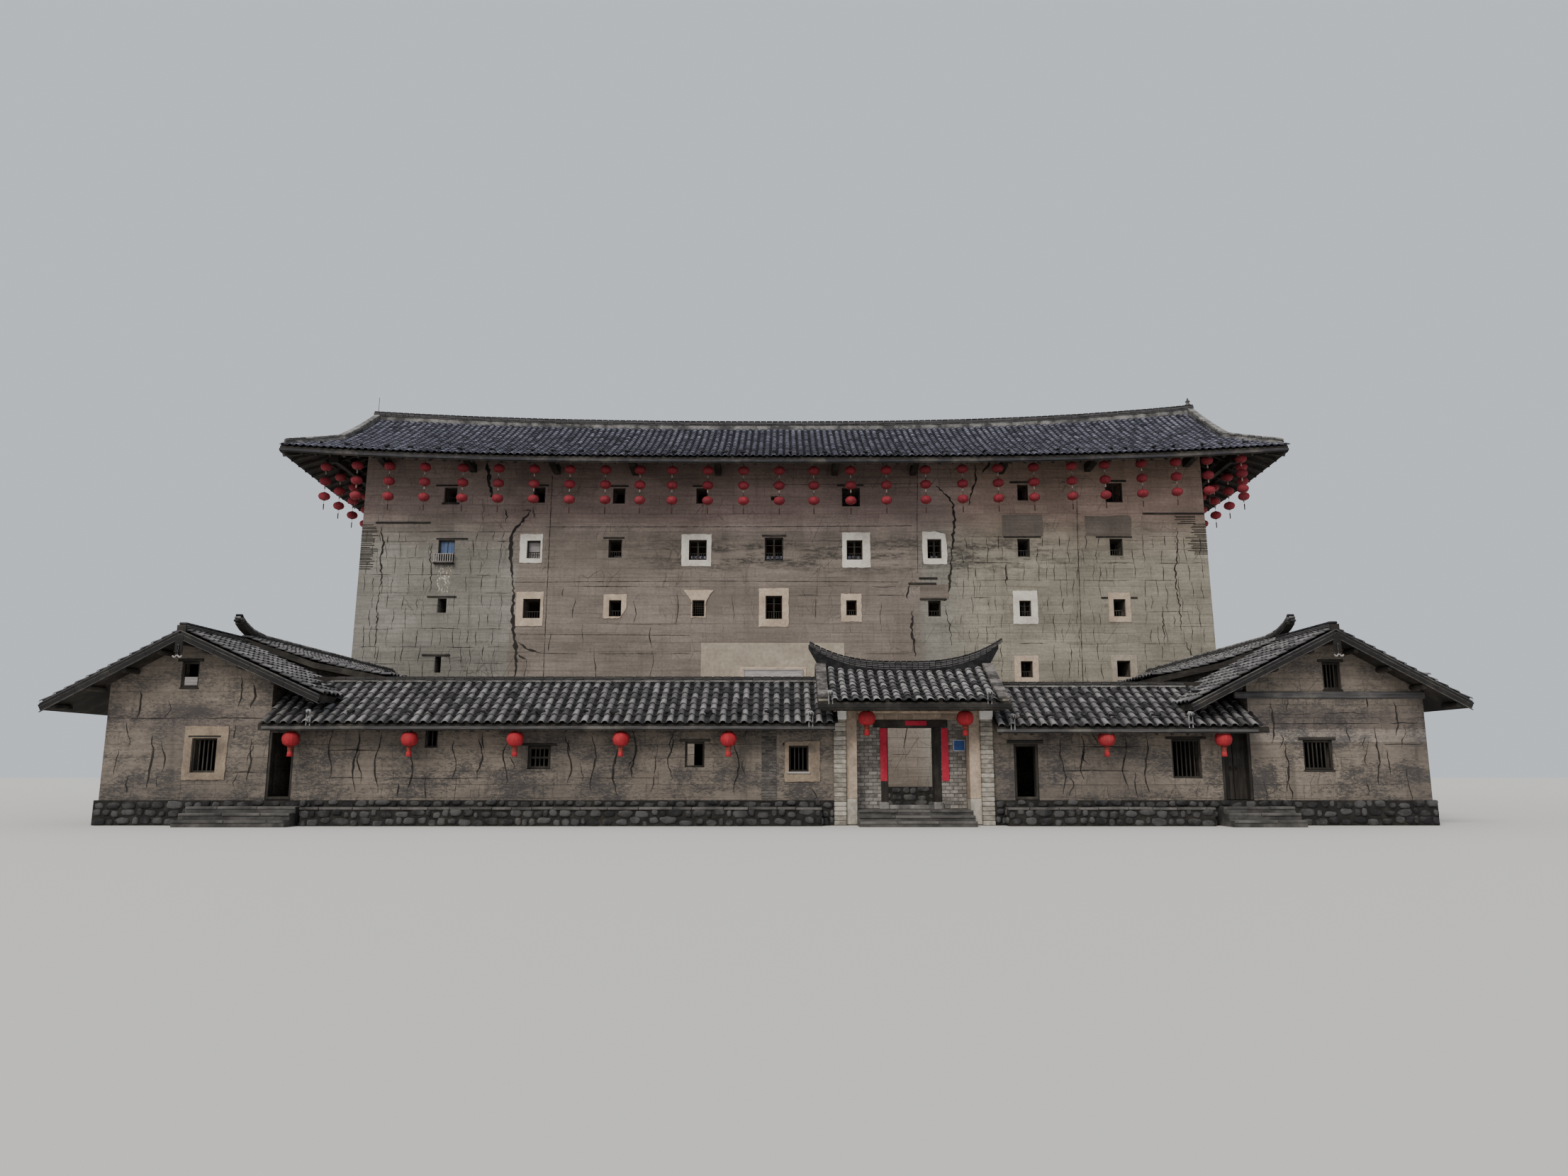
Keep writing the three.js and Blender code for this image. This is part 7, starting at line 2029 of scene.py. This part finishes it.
def dressPlinths():
    proud, top = 0.12, earthBlock["plinthTop"]
    half, front, rear = earthBlock["halfWidth"] + proud, facadeY - proud, backY + proud
    shape = Shape(251)
    for place, u0, u1 in ((faceAt("y", front, -1), -half, half), (faceAt("y", rear, 1), -half, half),
                          (faceAt("x", -half, -1), -rear, -front), (faceAt("x", half, 1), front, rear)):
        layStones(shape, place, u0, u1, 0.0, top, **mainStones)
    shape.build("plinthStones", [rubbleStone])

    shape = Shape(253)
    face, back, high, low = podiumFace, podium["back"], podium["top"], podium["stepTop"]
    under, out = low - podium["slab"], podium["stepOut"]
    for x0, x1, b0, b1 in podiumRuns:
        plane = faceAt("y", face, -1)
        layStones(shape, plane, x0, b0, 0.0, high)
        layStones(shape, plane, b1, x1, 0.0, high)
        layStones(shape, plane, b0, b1, low, high, 0.3, 0.185)
        layStones(shape, faceAt("y", face - out, -1), b0, b1, 0.0, under, 0.32, 0.2)
        layStones(shape, faceAt("x", b0, -1), -face, out - face, 0.0, under)
        layStones(shape, faceAt("x", b1, 1), face - out, face, 0.0, under)
    layStones(shape, faceAt("x", podium["left"], -1), -back, -face, 0.0, high)
    layStones(shape, faceAt("x", podium["right"], 1), face, back, 0.0, high)
    for u0, u1 in podium["rearFaces"]:
        layStones(shape, faceAt("y", back, 1), u0, u1, 0.0, high)
    shape.build("podiumStones", [rubbleStone])


# Slabs over a strip: along x from x0 to x1, with a nose past y0.
def laySlabs(shape, x0, x1, y0, y1, top, thick=0.06, length=0.8):
    draw = shape.random
    x = x0
    while x < x1 - 0.01:
        end = min(x + length * draw.uniform(0.7, 1.3), x1)
        end = x1 if x1 - end < 0.2 else end
        lift = draw.uniform(-0.006, 0.006)
        shape.chamfered(x + 0.006, end - 0.006, y0 - draw.uniform(0.005, 0.03), y1, top - thick + lift,
                        top + 0.01 + lift, cut=0.012)
        x = end


cornerSteps = {"runs": ((-16.0, -13.05), (11.75, 13.66)), "going": 0.32, "count": 3}
gateSteps = {"from": 1.99, "to": 5.07, "going": 0.3, "count": 3, "threshold": 0.55}


def dressSteps():
    shape = Shape(255)
    for _, _, b0, b1 in podiumRuns:
        laySlabs(shape, b0 - 0.02, b1 + 0.02, podiumFace - podium["stepOut"] - 0.02, podiumFace,
                 podium["stepTop"], 0.055, 0.7)
    going, count = cornerSteps["going"], cornerSteps["count"]
    for x0, x1 in cornerSteps["runs"]:
        for i in range(count):
            top = podium["top"] * (count - i) / (count + 1)
            laySlabs(shape, x0, x1, podiumFace - (i + 1) * going, podiumFace - i * going, top, length=1.1)
    going, count = gateSteps["going"], gateSteps["count"]
    for i in range(count):
        y = lowFace - (i + 1) * going
        deep = going + (gateSteps["threshold"] if i == 0 else 0.0)
        top = gateParts["floor"] * (count - i) / count
        laySlabs(shape, gateSteps["from"], gateSteps["to"], y, y + deep, top, length=1.0)
    shape.build("stepSlabs", [dressedStone])


dressPlinths()
dressSteps()


# Floors of the galleries, and the rails over each as level, height and half depth.
galleries = {"floors": (4.56, 7.15, 9.73, 12.14), "post": 0.22, "pitch": 0.2,
             "rails": ((0.95, 0.08, 0.06), (0.66, 0.05, 0.035), (0.1, 0.06, 0.04))}


# Rails and balusters of one side of the courtyard galleries: along is a run, at places across.
def railings(shape, along, start, end, line, bays):
    def put(a0, a1, half, z0, z1, slot, make=shape.box):
        if along == "x":
            make(a0, a1, line - half, line + half, z0, z1, slot=slot)
        else:
            make(line - half, line + half, a0, a1, z0, z1, slot=slot)

    pitch = (end - start - galleries["post"]) / bays
    across = 1 if along == "x" else 2
    for floor in galleries["floors"]:
        for bay in range(bays):
            a0, a1 = start + bay * pitch + galleries["post"] + 0.002, start + (bay + 1) * pitch - 0.002
            for z, high, deep in galleries["rails"]:
                put(a0, a1, deep, floor + z, floor + z + high, across, shape.chamfered)
            count = round((a1 - a0) / galleries["pitch"])
            for k in range(1, count):
                a = a0 + (a1 - a0) * k / count
                put(a - 0.02, a + 0.02, 0.02, floor + 0.16, floor + 0.66, 0)
            for k in range(1, round(count / 3)):
                a = a0 + (a1 - a0) * k * 3 / count
                put(a - 0.025, a + 0.025, 0.022, floor + 0.71, floor + 0.95, 0)


courtRafter = {"pitch": 0.6, "stock": (0.08, 0.1), "drop": 0.31, "reach": 1.5, "halfWidth": 10.2, "ends": 7.6,
               "fascia": (0.035, 0.16), "fasciaDrop": 0.22}


def dressCourt():
    shape = Shape(261)
    post = galleries["post"]
    lineY, lineX = courtY + post / 2, courtX - post / 2
    for y in (lineY, 2 * centreY - lineY):
        railings(shape, "x", -courtX, courtX, y, 5)
    for x in (-lineX, lineX):
        railings(shape, "y", courtY + post, 2 * centreY - courtY - post, x, 4)
    shape.build("courtRailings", [timberUp, timberAcross, timberDeep])

    rafters = Shape(263)
    half, ends, pitch, drop = (courtRafter[part] for part in ("halfWidth", "ends", "pitch", "drop"))
    fascia = {"raised": -courtRafter["fasciaDrop"], "cut": 0.006}
    innerY = ridgeLineY + mainRoof["innerRun"]
    for back in (False, True):
        flip = flipFor(back)
        for x in np.arange(-half, half + 0.1, pitch):
            places = [(x, flip(y), levelAt(mainHeight, x, flip(y)) - drop)
                      for y in (innerY - 0.03, innerY - courtRafter["reach"])]
            rafters.bar(*places, *courtRafter["stock"])
        y = flip(innerY + 0.02)
        line = roofLine(mainHeight, (-half - 0.2, y), (half + 0.2, y), 12)
        follow(rafters, line, *courtRafter["fascia"], slot=1, **fascia)
    innerX = eaveX - mainRoof["run"] - mainRoof["innerRun"]
    for side in (-1, 1):
        for y in np.arange(ends, 2 * centreY - ends + 0.1, pitch):
            places = [(side * x, y, levelAt(sideHeight, x, y) - drop)
                      for x in (innerX + 0.03, innerX + courtRafter["reach"])]
            rafters.bar(*places, *courtRafter["stock"], slot=1)
        x = side * (innerX - 0.02)
        line = roofLine(sideHeight, (x, ends - 0.3), (x, 2 * centreY - ends + 0.3), 8)
        follow(rafters, line, *courtRafter["fascia"], **fascia)
    rafters.build("courtRafters", [timberDeep, timberAcross])


mainDoor = {"x": -0.45, "half": 0.95, "foot": 0.8, "top": 3.6, "jamb": 0.26, "head": 0.3, "deep": 0.5}


def frameMainDoor():
    shape = Shape(265, onFront)
    x, half, foot, top = (mainDoor[part] for part in ("x", "half", "foot", "top"))
    jamb, head, deep = mainDoor["jamb"], mainDoor["head"], mainDoor["deep"]
    inside = top - 0.004
    for side in (-1, 1):
        edges = sorted(x + side * (half - inset) for inset in (0.004, jamb))
        shape.chamfered(*edges, -0.05, deep, foot, inside, cut=0.02)
    shape.chamfered(x - half - 0.3, x + half + 0.3, -0.06, 0.02, top + 0.002, top + head, cut=0.02)
    shape.chamfered(x - half + jamb, x + half - jamb, 0.0, deep, top - jamb, inside, cut=0.02)
    shape.build("mainDoorFrame", [dressedStone])


dressCourt()
frameMainDoor()


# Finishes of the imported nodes. Those in pairedFinish come once for each side.
sides = ("left", "right")
nodeFinish = {
    "main_plinth": mortarBed, "floor_1": dressedStone, "eave_beams": timberAcross, "gate_lintel": limePanel,
    "gate_roof": timberDeep, "gate_ridge": roofTile, "gate_steps": dressedStone, "gate_lanterns": timberUp,
    "lantern_strings_front": timberUp,
}
for number in (2, 3, 4, 5):
    nodeFinish["floor_" + str(number)] = floorBoards
for end in ("front", "back"):
    nodeFinish[end + "_wall"] = earthWall
    nodeFinish["gallery_" + end] = timberUp
    nodeFinish["main_roof_" + end] = timberDeep
    nodeFinish["main_ridge_" + end] = ridgeLime
pairedFinish = {
    "gallery": timberUp, "main_roof": timberAcross, "lantern_strings": timberUp, "podium": mortarBed,
    "range_walls": earthLow, "range_roof": timberDeep, "front_house_walls": earthLow,
    "front_house_roof": timberAcross, "rear_house_walls": earthLow, "rear_house_roof": timberAcross,
    "corner_steps": dressedStone, "gate_side": brickJoint, "corner_door_leaf": timberUp,
    "range_lanterns": timberUp,
}
for side in sides:
    nodeFinish[side + "_wall"] = earthWall
    for name, material in pairedFinish.items():
        nodeFinish[name + "_" + side] = material
for name, material in nodeFinish.items():
    nodes[name].data.materials.clear()
    nodes[name].data.materials.append(material)
print("stage: node finishes,", len(nodeFinish))


viewpoint = {"place": (0.0, -22.635, 0.725), "tilt": 99.76, "lens": 24.41, "sensor": 36.0, "reach": 500.0}
studio = {"floorHalf": 90.0, "floorColour": (0.62, 0.6, 0.57), "floorRoughness": 0.9, "floorZ": -0.002,
          "sky": (0.86, 0.92, 1.0), "skyStrength": 0.75, "sunStrength": 2.6, "sunColour": (1.0, 0.95, 0.87),
          "sunSpread": 30.0, "sunTurn": (48, 0, -28)}


def placeCamera():
    data = bpy.data.cameras.new("camera")
    data.lens = viewpoint["lens"]
    data.sensor_width = viewpoint["sensor"]
    data.clip_end = viewpoint["reach"]
    camera = bpy.data.objects.new("camera", data)
    camera.location = viewpoint["place"]
    camera.rotation_euler = (math.radians(viewpoint["tilt"]), 0, 0)
    bpy.context.scene.collection.objects.link(camera)
    bpy.context.scene.camera = camera


def makeFloor():
    half, z = studio["floorHalf"], studio["floorZ"]
    mesh = bpy.data.meshes.new("floor")
    mesh.from_pydata([(-half, -half, z), (half, -half, z), (half, half, z), (-half, half, z)], [],
                     [(0, 1, 2, 3)])
    floor = bpy.data.objects.new("floor", mesh)
    bpy.context.scene.collection.objects.link(floor)
    material = bpy.data.materials.new("pale floor")
    material.use_nodes = True
    shader = material.node_tree.nodes["Principled BSDF"]
    shader.inputs["Base Color"].default_value = (*studio["floorColour"], 1)
    shader.inputs["Roughness"].default_value = studio["floorRoughness"]
    mesh.materials.append(material)


def makeLight():
    world = bpy.data.worlds.new("studio")
    world.use_nodes = True
    background = world.node_tree.nodes["Background"]
    background.inputs["Color"].default_value = (*studio["sky"], 1)
    background.inputs["Strength"].default_value = studio["skyStrength"]
    bpy.context.scene.world = world
    light = bpy.data.lights.new("key", "SUN")
    light.energy = studio["sunStrength"]
    light.color = studio["sunColour"]
    light.angle = math.radians(studio["sunSpread"])
    sun = bpy.data.objects.new("key", light)
    sun.rotation_euler = [math.radians(v) for v in studio["sunTurn"]]
    bpy.context.scene.collection.objects.link(sun)


placeCamera()
makeFloor()
makeLight()
print("stage: camera and light")
